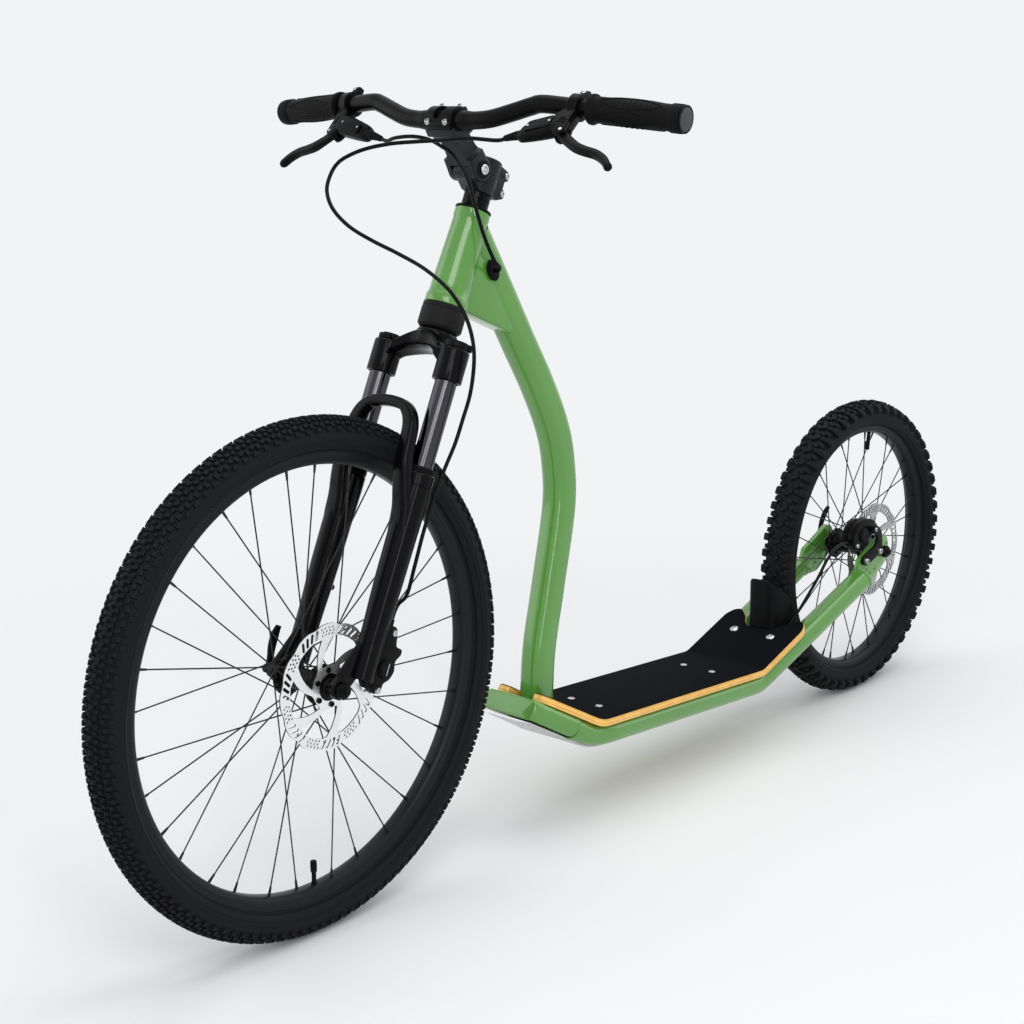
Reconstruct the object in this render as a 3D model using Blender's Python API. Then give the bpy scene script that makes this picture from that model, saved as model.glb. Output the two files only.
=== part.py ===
"""Dog scooter with a suspension fork, two disc brakes and a bent plywood deck.

Units are metres. +X points forward, +Y to the rider's left and +Z up. Places along the scooter are
measured from the rear axle; the empty "scooter_origin" levels them and moves the origin under the
middle of the scooter, on the ground. Places on the fork and the stem are measured in the steering
frame, whose Z runs up the steering axis from the lower end of the head tube.
"""
import bpy
import bmesh
from math import asin, atan2, cos, hypot, pi, radians, sin, sqrt, tan
from mathutils import Matrix, Vector

# Fits
GAP = 0.0003
RUNNING_GAP = 0.0006
WELD_DISTANCE = 0.00001

# Wheels
WHEELBASE = 1.267
FRONT_AXLE_HEIGHT = 0.336
REAR_AXLE_HEIGHT = 0.254
FRONT_TYRE_RADIUS = 0.328
REAR_TYRE_RADIUS = 0.2515
FRONT_RIM_RADIUS = 0.286
REAR_RIM_RADIUS = 0.2095
FRONT_RIM_DEPTH = 0.0178
REAR_RIM_DEPTH = 0.0120
RIM_WIDTH = 0.028
RIM_WALL = 0.0026
RIM_WELL = 0.007
RIM_TAPER = 0.80
TYRE_WIDTH = 0.053
KNOB_HEIGHT = 0.0035
FRONT_KNOB_ROWS = 20
REAR_KNOB_ROWS = 16
HUB_WIDTH = 0.100
HUB_BARREL_RADIUS = 0.0145
HUB_END_RADIUS = 0.0105
FLANGE_RADIUS = 0.0255
FLANGE_THICKNESS = 0.005
LEFT_FLANGE = 0.024
RIGHT_FLANGE = 0.034
SPOKE_COUNT = 32
SPOKE_THICKNESS = 0.0018
SPOKE_HOLE_RADIUS = 0.0230
SPOKE_STAGGER = 0.0013
RIM_DRILLING = 0.0032
SPOKE_CROSSINGS = 3
AXLE_RADIUS = 0.0048
ROTOR_RADIUS = 0.080
ROTOR_BAND = 0.015
ROTOR_HUB_RADIUS = 0.027
ROTOR_BORE = 0.0175
ROTOR_THICKNESS = 0.0018
ROTOR_PLACE = 0.0385
ROTOR_ARMS = 6
VALVE_RADIUS = 0.003
VALVE_LENGTH = 0.032

# Steering axis and head tube
HEAD_ANGLE = radians(65.0)
FORK_LENGTH = 0.501
FORK_OFFSET = 0.050
HEAD_TUBE_LENGTH = 0.128
HEAD_TUBE_TOP_RADIUS = 0.0225
HEAD_TUBE_BOTTOM_RADIUS = 0.0275
HEAD_TUBE_BORE = 0.0178
UPPER_CUP_HEIGHT = 0.005
LOWER_CUP_HEIGHT = 0.0325
LOWER_CUP_RADIUS = 0.0290
STEERER_RADIUS = 0.0143

# Fork
LEG_FORWARD = 0.021
LEG_SPREAD = 0.0575
STANCHION_RADIUS = 0.014
STANCHION_LENGTH = 0.300
CROWN_BLOCK_RADIUS = 0.0190
CROWN_BLOCK_TOP = -0.058
CROWN_BLOCK_BOTTOM = -0.101
ARCH_CLEARANCE = 0.025
LEG_TOP_RADIUS = 0.0195
LEG_FOOT_RADIUS = 0.0158
LEG_BORE_DEPTH = 0.250
LEG_FOOT = 0.018
WIPER_HEIGHT = 0.008
ARCH_FORWARD = 0.049
ARCH_HEIGHT = 0.080
ARCH_DEPTH = 0.016
ARCH_THICKNESS = 0.014
FORK_END_THICKNESS = 0.009

# Stem and handlebar
STEM_BASE_BOTTOM = 0.152
STEM_BASE_TOP = 0.198
STEM_BASE_HALF = 0.0155
STEM_PIVOT_FORWARD = 0.028
STEM_PIVOT_HEIGHT = 0.175
STEM_PIVOT_RADIUS = 0.0155
STEM_CHEEK = 0.0085
STEM_RISE = radians(31.7)
STEM_LENGTH = 0.0735
BAR_CLAMP_RADIUS = 0.0127
BAR_RADIUS = 0.0111
BAR_HALF_LENGTH = 0.337
BAR_CLAMP_HALF = 0.030
BAR_BEND_END = 0.145
BAR_RISE = 0.0210
BAR_SETBACK = 0.0165
BAR_SWEEP_BACK = radians(7.0)
BAR_SWEEP_DOWN = radians(4.8)
BAR_BORE = 0.0090
GRIP_LENGTH = 0.126
GRIP_RADIUS = 0.0165
GRIP_CAP_DEPTH = 0.004

# Brake controls
CONTROL_GAP = 0.018
CONTROL_PLACE = BAR_HALF_LENGTH - GRIP_LENGTH - CONTROL_GAP
LEFT_CONTROL_DROP = radians(39.3)
RIGHT_CONTROL_DROP = radians(52.0)
CONTROL_RING_RADIUS = 0.0165
CONTROL_RING_WIDTH = 0.013
MASTER_OFFSET = 0.034
MASTER_DEPTH = 0.028
MASTER_HEIGHT = 0.022
MASTER_LENGTH = 0.084
LEVER_PIVOT_OUT = 0.047
LEVER_THICKNESS = 0.009
HOSE_DIAMETER = 0.005

# Deck line, seen from the side
DECK_HEIGHT = 0.1303
DECK_REAR_X = 0.246
DECK_REAR_BEND_X = 0.377
DECK_FRONT_BEND_X = WHEELBASE - 0.487
DECK_NOSE_X = WHEELBASE - 0.391
DECK_SLOPE = radians(3.78)
DECK_KICK = radians(19.7)
DECK_NOSE_KICK = radians(30.0)
DECK_BEND_RADIUS = 0.045
DECK_THICKNESS = 0.010
GRIP_TAPE_THICKNESS = 0.001
GRIP_TAPE_INSET = 0.0015
DECK_HALF_WIDTH = 0.0758
DECK_TIP_HALF_WIDTH = 0.056
DECK_NOSE_HALF_WIDTH = 0.043

# Frame
RAIL_WIDTH = 0.038
RAIL_HEIGHT = 0.031
RAIL_SPREAD = 0.056
RAIL_FRONT_SPREAD = 0.047
RAIL_REAR_SPREAD = 0.062
RAIL_REAR_X = 0.082
RAIL_FRONT_X = WHEELBASE - 0.452
CROSSMEMBER_FRONT_X = WHEELBASE - 0.378
CROSSMEMBER_FRONT_WIDTH = 0.094
CROSSMEMBER_HEIGHT = 0.029
DOWN_TUBE_BASE_X = WHEELBASE - 0.429
DOWN_TUBE_TOP = 0.107
DOWN_TUBE_DEPTH = 0.046
DOWN_TUBE_WIDTH = 0.040
DOWN_TUBE_CORNER = 0.014
DOWN_TUBE_WALL = 0.003
DOWN_TUBE_FOOT_ROOM = 0.275
GUSSET_HALF_WIDTH = 0.0180
DROPOUT_THICKNESS = 0.008
BEARER_THICKNESS = 0.004
BEARER_LENGTH = 0.030
BOLT_RADIUS = 0.003
SKID_THICKNESS = 0.0025
GUARD_THICKNESS = 0.003
GUARD_TOP_Z = 0.253
GUARD_HALF_WIDTH = 0.024

# Facets
HALF_PITCH_SEGMENTS = 2
ROUND = 16
BAR_SIDES = 12

AXLE_RISE = FRONT_AXLE_HEIGHT - REAR_AXLE_HEIGHT
AXLE_SPAN = hypot(WHEELBASE, AXLE_RISE)
TYRE_STEP = FRONT_TYRE_RADIUS - REAR_TYRE_RADIUS
GROUND_LEAN = atan2(AXLE_RISE, WHEELBASE) - asin(TYRE_STEP / AXLE_SPAN)
REAR_CONTACT_X = -(sqrt(AXLE_SPAN ** 2 - TYRE_STEP ** 2) + TYRE_STEP) / 2
HEAD_LEAN = radians(90.0) - HEAD_ANGLE


def steering_base():
    """Lower end of the head tube on the steering axis, set by the front axle and the fork."""
    forward = Vector((sin(HEAD_ANGLE), 0.0, cos(HEAD_ANGLE)))
    up = Vector((-cos(HEAD_ANGLE), 0.0, sin(HEAD_ANGLE)))
    axle = Vector((WHEELBASE, 0.0, FRONT_AXLE_HEIGHT))
    return axle - forward * FORK_OFFSET + up * FORK_LENGTH


def from_steering(x, y, z):
    """Turn a place in the steering frame into one measured from the rear axle."""
    forward = Vector((sin(HEAD_ANGLE), 0.0, cos(HEAD_ANGLE)))
    up = Vector((-cos(HEAD_ANGLE), 0.0, sin(HEAD_ANGLE)))
    return steering_base() + forward * x + up * z + Vector((0.0, y, 0.0))


def clear_scene():
    """Remove the objects that a new file holds."""
    for item in list(bpy.data.objects):
        bpy.data.objects.remove(item, do_unlink=True)


def finish(name, colour, roughness, metallic=0.0):
    """Make a Principled material."""
    material = bpy.data.materials.new(name)
    material.use_nodes = True
    shader = material.node_tree.nodes["Principled BSDF"]
    shader.inputs["Base Color"].default_value = (*colour, 1.0)
    shader.inputs["Roughness"].default_value = roughness
    shader.inputs["Metallic"].default_value = metallic
    return material


GREEN = (0.12, 0.34, 0.09)
BLACK = (0.012, 0.012, 0.013)


def paint(name):
    """Gloss green frame paint."""
    return finish(name, GREEN, 0.30)


def black_metal(name):
    """Black anodised metal."""
    return finish(name, BLACK, 0.35, 0.6)


def steel(name):
    """Bright steel."""
    return finish(name, (0.62, 0.62, 0.63), 0.25, 1.0)


def rubber(name):
    """Dull black rubber."""
    return finish(name, (0.020, 0.020, 0.021), 0.85)


def plastic(name):
    """Black moulded plastic."""
    return finish(name, (0.015, 0.015, 0.016), 0.55)


def empty(name, parent, location, rotation=(0.0, 0.0, 0.0)):
    """Add an empty that carries other objects."""
    item = bpy.data.objects.new(name, None)
    bpy.context.collection.objects.link(item)
    item.parent = parent
    item.location = location
    item.rotation_euler = rotation
    return item


def put(name, mesh, material, parent, location=(0.0, 0.0, 0.0), rotation=(0.0, 0.0, 0.0), sharp=35.0):
    """Turn a bmesh into a named object with one material."""
    data = bpy.data.meshes.new(name)
    mesh.to_mesh(data)
    mesh.free()
    data.materials.append(material)
    data.shade_smooth()
    data.set_sharp_from_angle(angle=radians(sharp))
    item = bpy.data.objects.new(name, data)
    bpy.context.collection.objects.link(item)
    item.parent = parent
    item.location = location
    item.rotation_euler = rotation
    return item


def put_cutter(name, mesh, parent, location=(0.0, 0.0, 0.0), rotation=(0.0, 0.0, 0.0)):
    """Add a shape that only cuts or joins others and isn't a piece itself."""
    item = put(name, mesh, finish(name, (0.8, 0.1, 0.1), 0.5), parent, location, rotation)
    item.hide_render = True
    item.display_type = "WIRE"
    return item


def boolean(target, tool, operation):
    """Cut a piece by a tool, or join the tool to it."""
    modifier = target.modifiers.new(tool.name, "BOOLEAN")
    modifier.operation = operation
    modifier.solver = "EXACT"
    modifier.object = tool
    weld = target.modifiers.new(tool.name + "_weld", "WELD")
    weld.merge_threshold = WELD_DISTANCE


def turned(profile, steps, axis="Z", closed=True):
    """Spin a profile of (radius, height) points once round Z or Y.

    A closed profile gives a ring. An open one starts and ends on the axis.
    """
    mesh = bmesh.new()
    if axis == "Z":
        verts = [mesh.verts.new((radius, 0.0, height)) for radius, height in profile]
        direction = (0.0, 0.0, 1.0)
    else:
        verts = [mesh.verts.new((radius, height, 0.0)) for radius, height in profile]
        direction = (0.0, 1.0, 0.0)
    edges = [mesh.edges.new(pair) for pair in zip(verts, verts[1:])]
    if closed:
        edges.append(mesh.edges.new((verts[-1], verts[0])))
    bmesh.ops.spin(mesh, geom=verts + edges, cent=(0.0, 0.0, 0.0), axis=direction,
                   angle=2.0 * pi, steps=steps, use_merge=True)
    bmesh.ops.remove_doubles(mesh, verts=mesh.verts, dist=1e-6)
    bmesh.ops.recalc_face_normals(mesh, faces=mesh.faces)
    return mesh


def loft(rings, mesh=None):
    """Extrude the first ring of points through the others; both ends are filled."""
    mesh = mesh or bmesh.new()
    face = mesh.faces.new([mesh.verts.new(point) for point in rings[0]])
    for number, ring in enumerate(rings[1:]):
        result = bmesh.ops.extrude_face_region(mesh, geom=[face])
        if number > 0:
            bmesh.ops.delete(mesh, geom=[face], context="FACES_ONLY")
        face = next(item for item in result["geom"] if isinstance(item, bmesh.types.BMFace))
        for vert, point in zip(face.verts, ring):
            vert.co = point
    bmesh.ops.recalc_face_normals(mesh, faces=mesh.faces)
    return mesh


def prism(outline, low, high, plane="XZ"):
    """Extrude an outline square to its plane, from low to high."""
    if plane == "XZ":
        rings = [[(u, depth, v) for u, v in outline] for depth in (low, high)]
    else:
        rings = [[(u, v, depth) for u, v in outline] for depth in (low, high)]
    return loft(rings)


def ring_points(radius, count, start=0.0):
    """Points on a circle, as (u, v) pairs."""
    return [(radius * cos(start + 2.0 * pi * k / count), radius * sin(start + 2.0 * pi * k / count))
            for k in range(count)]


def rounded_rectangle(width, height, corner, steps):
    """Outline of a rectangle with round corners, as (u, v) pairs."""
    points = []
    for u_sign, v_sign, start in ((1, 1, 0), (-1, 1, 90), (-1, -1, 180), (1, -1, 270)):
        for k in range(steps + 1):
            angle = radians(start + 90.0 * k / steps)
            points.append((u_sign * (width / 2 - corner) + corner * cos(angle),
                           v_sign * (height / 2 - corner) + corner * sin(angle)))
    return points


def smooth_route(points, spacing):
    """Read points at an even spacing from a smooth curve through the given ones."""
    points = [Vector(point) for point in points]
    padded = [2 * points[0] - points[1], *points, 2 * points[-1] - points[-2]]
    fine = []
    for a, b, c, d in zip(padded, padded[1:], padded[2:], padded[3:]):
        for k in range(24):
            t = k / 24
            fine.append(0.5 * (2 * b + (c - a) * t + (2 * a - 5 * b + 4 * c - d) * t ** 2
                               + (3 * b - a - 3 * c + d) * t ** 3))
    fine.append(points[-1])
    lengths = [0.0]
    for a, b in zip(fine, fine[1:]):
        lengths.append(lengths[-1] + (b - a).length)
    count = max(2, round(lengths[-1] / spacing))
    route, place = [], 0
    for k in range(count + 1):
        wanted = lengths[-1] * k / count
        while place < len(lengths) - 2 and lengths[place + 1] < wanted:
            place += 1
        share = (wanted - lengths[place]) / (lengths[place + 1] - lengths[place])
        route.append(fine[place].lerp(fine[place + 1], share))
    return route


def thinned(route, longest, error=0.0004):
    """Drop the points of a route that stay within a small error of a straight line.

    Both ends keep their short first step, so that they stay square to the hose.
    """
    kept = [route[0], route[1]]
    start, last = 1, len(route) - 2
    while start < last:
        end = start + 1
        while end < last and (route[end + 1] - route[start]).length <= longest:
            along = (route[end + 1] - route[start]).normalized()
            offsets = [point - route[start] for point in route[start + 1:end + 1]]
            if max((offset - along * offset.dot(along)).length for offset in offsets) > error:
                break
            end += 1
        kept.append(route[end])
        start = end
    return kept + [route[-1]]


def sweep(route, sections, sideways=Vector((0.0, 1.0, 0.0)), mesh=None):
    """Carry a section of (u, v) points along a route.

    u lies across the route and square to the sideways direction, and v lies along that direction.
    """
    rings = []
    last = len(route) - 1
    for k, centre in enumerate(route):
        along = (route[min(k + 1, last)] - route[max(k - 1, 0)]).normalized()
        across = sideways.cross(along).normalized()
        side = along.cross(across).normalized()
        section = sections[k] if isinstance(sections[0][0], tuple) else sections
        rings.append([centre + across * u + side * v for u, v in section])
    return loft(rings, mesh)


def hose(name, route, parent):
    """Round hose along a route of closely spaced points."""
    curve = bpy.data.curves.new(name, "CURVE")
    curve.dimensions = "3D"
    curve.bevel_depth = HOSE_DIAMETER / 2
    curve.bevel_resolution = 2
    curve.use_fill_caps = True
    spline = curve.splines.new("POLY")
    spline.points.add(len(route) - 1)
    for item, point in zip(spline.points, route):
        item.co = (*point, 1.0)
    curve.materials.append(finish(name, (0.014, 0.014, 0.015), 0.45))
    item = bpy.data.objects.new(name, curve)
    bpy.context.collection.objects.link(item)
    item.parent = parent
    return item


class BentLine:
    """The deck's underside seen from the side, with its two bends rounded."""

    def __init__(self, rear_x, front_x):
        rear_bend = Vector((DECK_REAR_BEND_X, DECK_HEIGHT))
        rise = (DECK_FRONT_BEND_X - DECK_REAR_BEND_X) * tan(DECK_SLOPE)
        front_bend = Vector((DECK_FRONT_BEND_X, DECK_HEIGHT + rise))
        rear = rear_bend + Vector((rear_x - rear_bend.x, (rear_bend.x - rear_x) * tan(DECK_KICK)))
        front = front_bend + Vector((front_x - front_bend.x, (front_x - front_bend.x) * tan(DECK_NOSE_KICK)))
        self.points = [rear]
        for before, corner, after in ((rear, rear_bend, front_bend), (rear_bend, front_bend, front)):
            self.points += self.round_corner(before, corner, after)
        self.points.append(front)
        self.places = [0.0]
        for a, b in zip(self.points, self.points[1:]):
            self.places.append(self.places[-1] + (b - a).length)
        self.length = self.places[-1]

    @staticmethod
    def round_corner(before, corner, after, steps=3):
        """Points of the arc that rounds one bend."""
        into = (corner - before).normalized()
        out = (after - corner).normalized()
        turn = into.angle(out)
        reach = DECK_BEND_RADIUS * tan(turn / 2)
        start, end = corner - into * reach, corner + out * reach
        points = []
        for k in range(steps + 1):
            t = k / steps
            points.append(start * (1 - t) ** 2 + corner * 2 * t * (1 - t) + end * t ** 2)
        return points

    def at(self, place, height=0.0):
        """Point at a distance along the line and a height square to it."""
        place = min(max(place, 0.0), self.length)
        k = 0
        while k < len(self.places) - 2 and self.places[k + 1] < place:
            k += 1
        along = (self.points[k + 1] - self.points[k]).normalized()
        point = self.points[k] + along * (place - self.places[k])
        before, after = self.direction(k), self.direction(k + 1)
        share = (place - self.places[k]) / (self.places[k + 1] - self.places[k])
        normal = before.lerp(after, share).normalized()
        return point + Vector((-normal.y, normal.x)) * height

    def direction(self, k):
        """Direction of the line at one of its points."""
        last = len(self.points) - 1
        return (self.points[min(k + 1, last)] - self.points[max(k - 1, 0)]).normalized()

    def place_of(self, x):
        """Distance along the line at which it reaches x."""
        for a, b, start in zip(self.points, self.points[1:], self.places):
            if x <= b.x or b is self.points[-1]:
                return start + (x - a.x) / (b.x - a.x) * (b - a).length
        return self.length


def make_parents():
    """Empties for the origin, the steering axis, the axles, the stem pivot and the controls."""
    level = (REAR_CONTACT_X - REAR_AXLE_HEIGHT * sin(GROUND_LEAN), 0.0,
             REAR_TYRE_RADIUS - REAR_AXLE_HEIGHT * cos(GROUND_LEAN))
    parents = {"origin": empty("scooter_origin", None, level, (0.0, GROUND_LEAN, 0.0))}
    origin = parents["origin"]
    parents["steering"] = empty("steering_axis", origin, steering_base(), (0.0, -HEAD_LEAN, 0.0))
    upright = (0.0, -GROUND_LEAN, 0.0)
    front, rear = (WHEELBASE, 0.0, FRONT_AXLE_HEIGHT), (0.0, 0.0, REAR_AXLE_HEIGHT)
    parents["front_axle"] = empty("front_axle_line", origin, front, upright)
    parents["rear_axle"] = empty("rear_axle_line", origin, rear, upright)
    parents["stem"] = empty("stem_pivot_line", parents["steering"],
                            (STEM_PIVOT_FORWARD, 0.0, STEM_PIVOT_HEIGHT), (0.0, -STEM_RISE, 0.0))
    parents["bar"] = empty("bar_centre", origin, bar_centre())
    for side, name in ((1, "left"), (-1, "right")):
        point, axes = control_frame(side)
        parents[name + "_control"] = empty(name + "_control_line", parents["bar"], point,
                                           axes.to_euler())
    return parents


def bar_centre():
    """Middle of the handlebar in its clamp."""
    reach_x = STEM_PIVOT_FORWARD + STEM_LENGTH * cos(STEM_RISE)
    reach_z = STEM_PIVOT_HEIGHT + STEM_LENGTH * sin(STEM_RISE)
    return from_steering(reach_x, 0.0, reach_z)


def bar_point(side, across):
    """Point of the handlebar's straight outer part, measured from its middle."""
    beyond = across - BAR_BEND_END
    return Vector((-BAR_SETBACK - beyond * tan(BAR_SWEEP_BACK), side * across,
                   BAR_RISE - beyond * tan(BAR_SWEEP_DOWN)))


def control_drop(side):
    """Turn of a brake control about the bar, below level."""
    return LEFT_CONTROL_DROP if side > 0 else RIGHT_CONTROL_DROP


def control_frame(side):
    """Place and axes of a brake control: x towards the lever, y along the bar, z along the pivot."""
    point = bar_point(side, CONTROL_PLACE)
    along = (bar_point(1, 1.0) - bar_point(1, 0.0)).normalized()
    along = Vector((side * along.x, along.y, side * along.z))
    out = Vector((cos(control_drop(side)), 0.0, -sin(control_drop(side))))
    out = (out - along * out.dot(along)).normalized()
    pivot = out.cross(along).normalized()
    return point, Matrix((out, along, pivot)).transposed()


def tyre(name, radius, rim_radius, rows, parent):
    """Knobbly tyre; centre and shoulder knobs stand on alternate segments."""
    segments = rows * HALF_PITCH_SEGMENTS
    height = radius - rim_radius
    half = TYRE_WIDTH / 2
    bead = RIM_WIDTH / 2 - RIM_WALL - GAP
    crown = (radius - KNOB_HEIGHT) / cos(pi / segments)
    side = [(rim_radius - RIM_WELL + GAP, bead), (rim_radius + 0.0010, bead),
            (rim_radius + 0.40 * height, half), (rim_radius + 0.74 * height, 0.86 * half),
            (crown, 0.34 * half)]
    profile = side + [(r, -y) for r, y in reversed(side)]
    mesh = turned(profile, segments, "Y")
    bmesh.ops.rotate(mesh, verts=mesh.verts, cent=(0, 0, 0),
                     matrix=Matrix.Rotation(pi / segments + pi / 2, 3, "Y"))
    centre, shoulder = [], []
    for face in mesh.faces:
        middle = face.calc_center_median()
        reach = hypot(middle.x, middle.z)
        turn = int(round((atan2(middle.x, -middle.z) % (2 * pi)) / (2 * pi / segments))) % 2
        if abs(middle.y) < 0.001 and reach > rim_radius + 0.5 * height and turn == 0:
            centre.append(face)
        if 0.5 * half < abs(middle.y) < 0.8 * half and reach > rim_radius + 0.76 * height and turn == 1:
            shoulder.append(face)
    for face in centre + shoulder:
        out = face.normal.copy()
        result = bmesh.ops.extrude_discrete_faces(mesh, faces=[face])
        bmesh.ops.translate(mesh, verts=result["faces"][0].verts, vec=out * KNOB_HEIGHT)
    bmesh.ops.recalc_face_normals(mesh, faces=mesh.faces)
    return put(name, mesh, rubber(name), parent)


def rim(name, rim_radius, depth, rows, parent):
    """Hooked rim with its valve standing inwards at one place."""
    segments = rows * HALF_PITCH_SEGMENTS
    outer = RIM_WIDTH / 2
    inner = outer - RIM_WALL
    side = [(rim_radius - RIM_WELL, inner), (rim_radius, inner), (rim_radius, outer),
            (rim_radius - depth, RIM_TAPER * outer)]
    profile = side + [(r, -y) for r, y in reversed(side)]
    mesh = turned(profile, segments, "Y")
    bmesh.ops.rotate(mesh, verts=mesh.verts, cent=(0, 0, 0),
                     matrix=Matrix.Rotation(pi / segments + pi / 2, 3, "Y"))
    item = put(name, mesh, finish(name, (0.03, 0.032, 0.034), 0.4, 0.5), parent)
    seat = rim_radius - depth
    outline = [(0.0, seat + 0.002), (VALVE_RADIUS, seat + 0.002), (VALVE_RADIUS, seat - VALVE_LENGTH + 0.010),
               (VALVE_RADIUS * 1.4, seat - VALVE_LENGTH + 0.009), (VALVE_RADIUS * 1.2, seat - VALVE_LENGTH),
               (0.0, seat - VALVE_LENGTH)]
    valve = put_cutter(name + "_valve", turned(outline, 6, "Z", closed=False), parent,
                       rotation=(0.0, valve_angle(name), 0.0))
    boolean(item, valve, "UNION")
    return item


def valve_angle(name):
    """Turn of the valve about the axle, from straight up."""
    return radians(180.0) if name.startswith("front") else radians(-11.25)


def spoke(mesh, start, end):
    """Add one three-sided spoke between two points."""
    along = (end - start).normalized()
    sideways = Vector((0.0, 1.0, 0.0)).cross(along).normalized()
    sweep([start, end], ring_points(SPOKE_THICKNESS / 2 * 1.2, 3), sideways, mesh)


def rim_reach(radius, rows, angle):
    """Distance from the axle to a faceted rim's inner face at an angle from straight forward."""
    facet = 2.0 * pi / (rows * HALF_PITCH_SEGMENTS)
    off_middle = (angle + pi / 2 + facet / 2) % facet - facet / 2
    return radius * cos(facet / 2) / cos(off_middle) - 2 * GAP


def laced_hub(name, rim_radius, depth, rows, turn, parent):
    """Hub shell with both flanges, and the crossed spokes that run to the rim."""
    width = HUB_WIDTH / 2 - GAP
    barrel, end, flange = HUB_BARREL_RADIUS, HUB_END_RADIUS, FLANGE_RADIUS
    half = FLANGE_THICKNESS / 2
    bore = AXLE_RADIUS + RUNNING_GAP
    mount = ROTOR_PLACE - ROTOR_THICKNESS / 2 - GAP
    pilot = ROTOR_BORE - GAP
    profile = [(bore, -width), (end, -width), (end, -width + 0.006), (flange, -RIGHT_FLANGE - half),
               (flange, -RIGHT_FLANGE + half), (barrel, -RIGHT_FLANGE + half + 0.004),
               (barrel, LEFT_FLANGE - half - 0.004), (flange, LEFT_FLANGE - half),
               (flange, LEFT_FLANGE + half), (0.9 * flange, mount), (pilot, mount),
               (pilot, mount + ROTOR_THICKNESS + 2 * GAP), (end, mount + ROTOR_THICKNESS + 0.003),
               (end, width), (bore, width)]
    hub = put(name, turned(profile, ROUND, "Y"), black_metal(name), parent)
    mesh = bmesh.new()
    pitch = 4.0 * pi / SPOKE_COUNT
    lean = SPOKE_CROSSINGS * pitch
    for flange_place, first in ((LEFT_FLANGE, turn), (-RIGHT_FLANGE, turn + pitch / 2)):
        side = 1 if flange_place > 0 else -1
        for k in range(SPOKE_COUNT // 2):
            leading = 1 if k % 2 == 0 else -1
            at_rim = first + pitch * k
            at_hub = at_rim - leading * lean
            start = Vector((SPOKE_HOLE_RADIUS * cos(at_hub), flange_place + leading * SPOKE_STAGGER,
                            SPOKE_HOLE_RADIUS * sin(at_hub)))
            reach = rim_reach(rim_radius - depth, rows, at_rim)
            end_point = Vector((reach * cos(at_rim), side * RIM_DRILLING + leading * SPOKE_STAGGER,
                                reach * sin(at_rim)))
            spoke(mesh, start, end_point)
    tool = put_cutter(name + "_spokes", mesh, parent)
    boolean(hub, tool, "UNION")
    return hub


def rotor(name, parent):
    """Brake disc: slotted band, curved arms and hub ring, cut from sheet."""
    low = ROTOR_PLACE - ROTOR_THICKNESS / 2
    high = low + ROTOR_THICKNESS
    waves = 12
    count = 36
    outline = []
    for k in range(count):
        angle = 2.0 * pi * k / count
        radius = ROTOR_RADIUS - 0.0012 * (1.0 - cos(waves * angle)) / 2
        outline.append((radius * cos(angle), radius * sin(angle)))
    item = put(name, prism(outline, low, high), steel(name), parent)
    windows = bmesh.new()
    inner, outer = ROTOR_HUB_RADIUS, ROTOR_RADIUS - ROTOR_BAND
    step = 2.0 * pi / ROTOR_ARMS
    for k in range(ROTOR_ARMS):
        edge = []
        for turn, radii in ((0.07, (inner, outer)), (0.80, (outer, inner))):
            for share in (0.0, 0.5, 1.0):
                radius = radii[0] + (radii[1] - radii[0]) * share
                swing = 0.55 * (radius - inner) / (outer - inner)
                angle = step * (k + turn) + swing
                edge.append((radius * cos(angle), radius * sin(angle)))
            if turn < 0.5:
                for share in (0.33, 0.67):
                    angle = step * (k + 0.07 + 0.73 * share) + 0.55
                    edge.append((outer * cos(angle), outer * sin(angle)))
        rings = [[(u, depth, v) for u, v in edge] for depth in (low - 0.002, high + 0.002)]
        loft(rings, windows)
    bore = ring_points(ROTOR_BORE, ROUND)
    rings = [[(u, depth, v) for u, v in bore] for depth in (low - 0.002, high + 0.002)]
    loft(rings, windows)
    boolean(item, put_cutter(name + "_windows", windows, parent), "DIFFERENCE")
    return item


def axle(name, parent):
    """Quick-release skewer: rod, left nut and the cam housing that carries the lever."""
    end = HUB_WIDTH / 2 + max(FORK_END_THICKNESS, DROPOUT_THICKNESS) + 2 * GAP
    profile = [(0.0, end + 0.013), (0.0035, end + 0.013), (0.0045, end + 0.009), (0.0090, end + 0.008),
               (0.0100, end), (AXLE_RADIUS, end), (AXLE_RADIUS, -end),
               (0.0095, -end), (0.0090, -end - 0.007), (0.0, -end - 0.007)]
    return put(name, turned(profile, 12, "Y", closed=False), black_metal(name), parent)


def cam_place():
    """Distance of a quick-release lever's pin from the wheel's middle, towards the right."""
    return HUB_WIDTH / 2 + max(FORK_END_THICKNESS, DROPOUT_THICKNESS) + 2 * GAP + 0.007 + GAP + 0.0055


def release_lever(name, length, lean, parent):
    """Curved quick-release lever with its round cam head; its origin is on the cam pin."""
    bow = ((0.0, 0.0), (-0.0015, 0.25), (-0.004, 0.5), (-0.004, 0.78), (-0.001, 1.0))
    route = [Vector((0.0, y, share * length)) for y, share in bow]
    widths = (0.0095, 0.0100, 0.0125, 0.0135, 0.0080)
    sections = [rounded_rectangle(0.0050, width, 0.0020, 1) for width in widths]
    blade = sweep(route, sections, Vector((1.0, 0.0, 0.0)))
    item = put(name, blade, plastic(name), parent, (0.0, -cam_place(), 0.0), (0.0, lean, 0.0))
    head = turned([(0.0, 0.0055), (0.0055, 0.0055), (0.0055, -0.0055), (0.0, -0.0055)], 14, "Z", closed=False)
    bmesh.ops.rotate(head, verts=head.verts, cent=(0, 0, 0), matrix=Matrix.Rotation(pi / 2, 3, "Y"))
    tool = put_cutter(name + "_head", head, parent, (0.0, -cam_place(), 0.0), (0.0, lean, 0.0))
    boolean(item, tool, "UNION")
    return item


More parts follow.
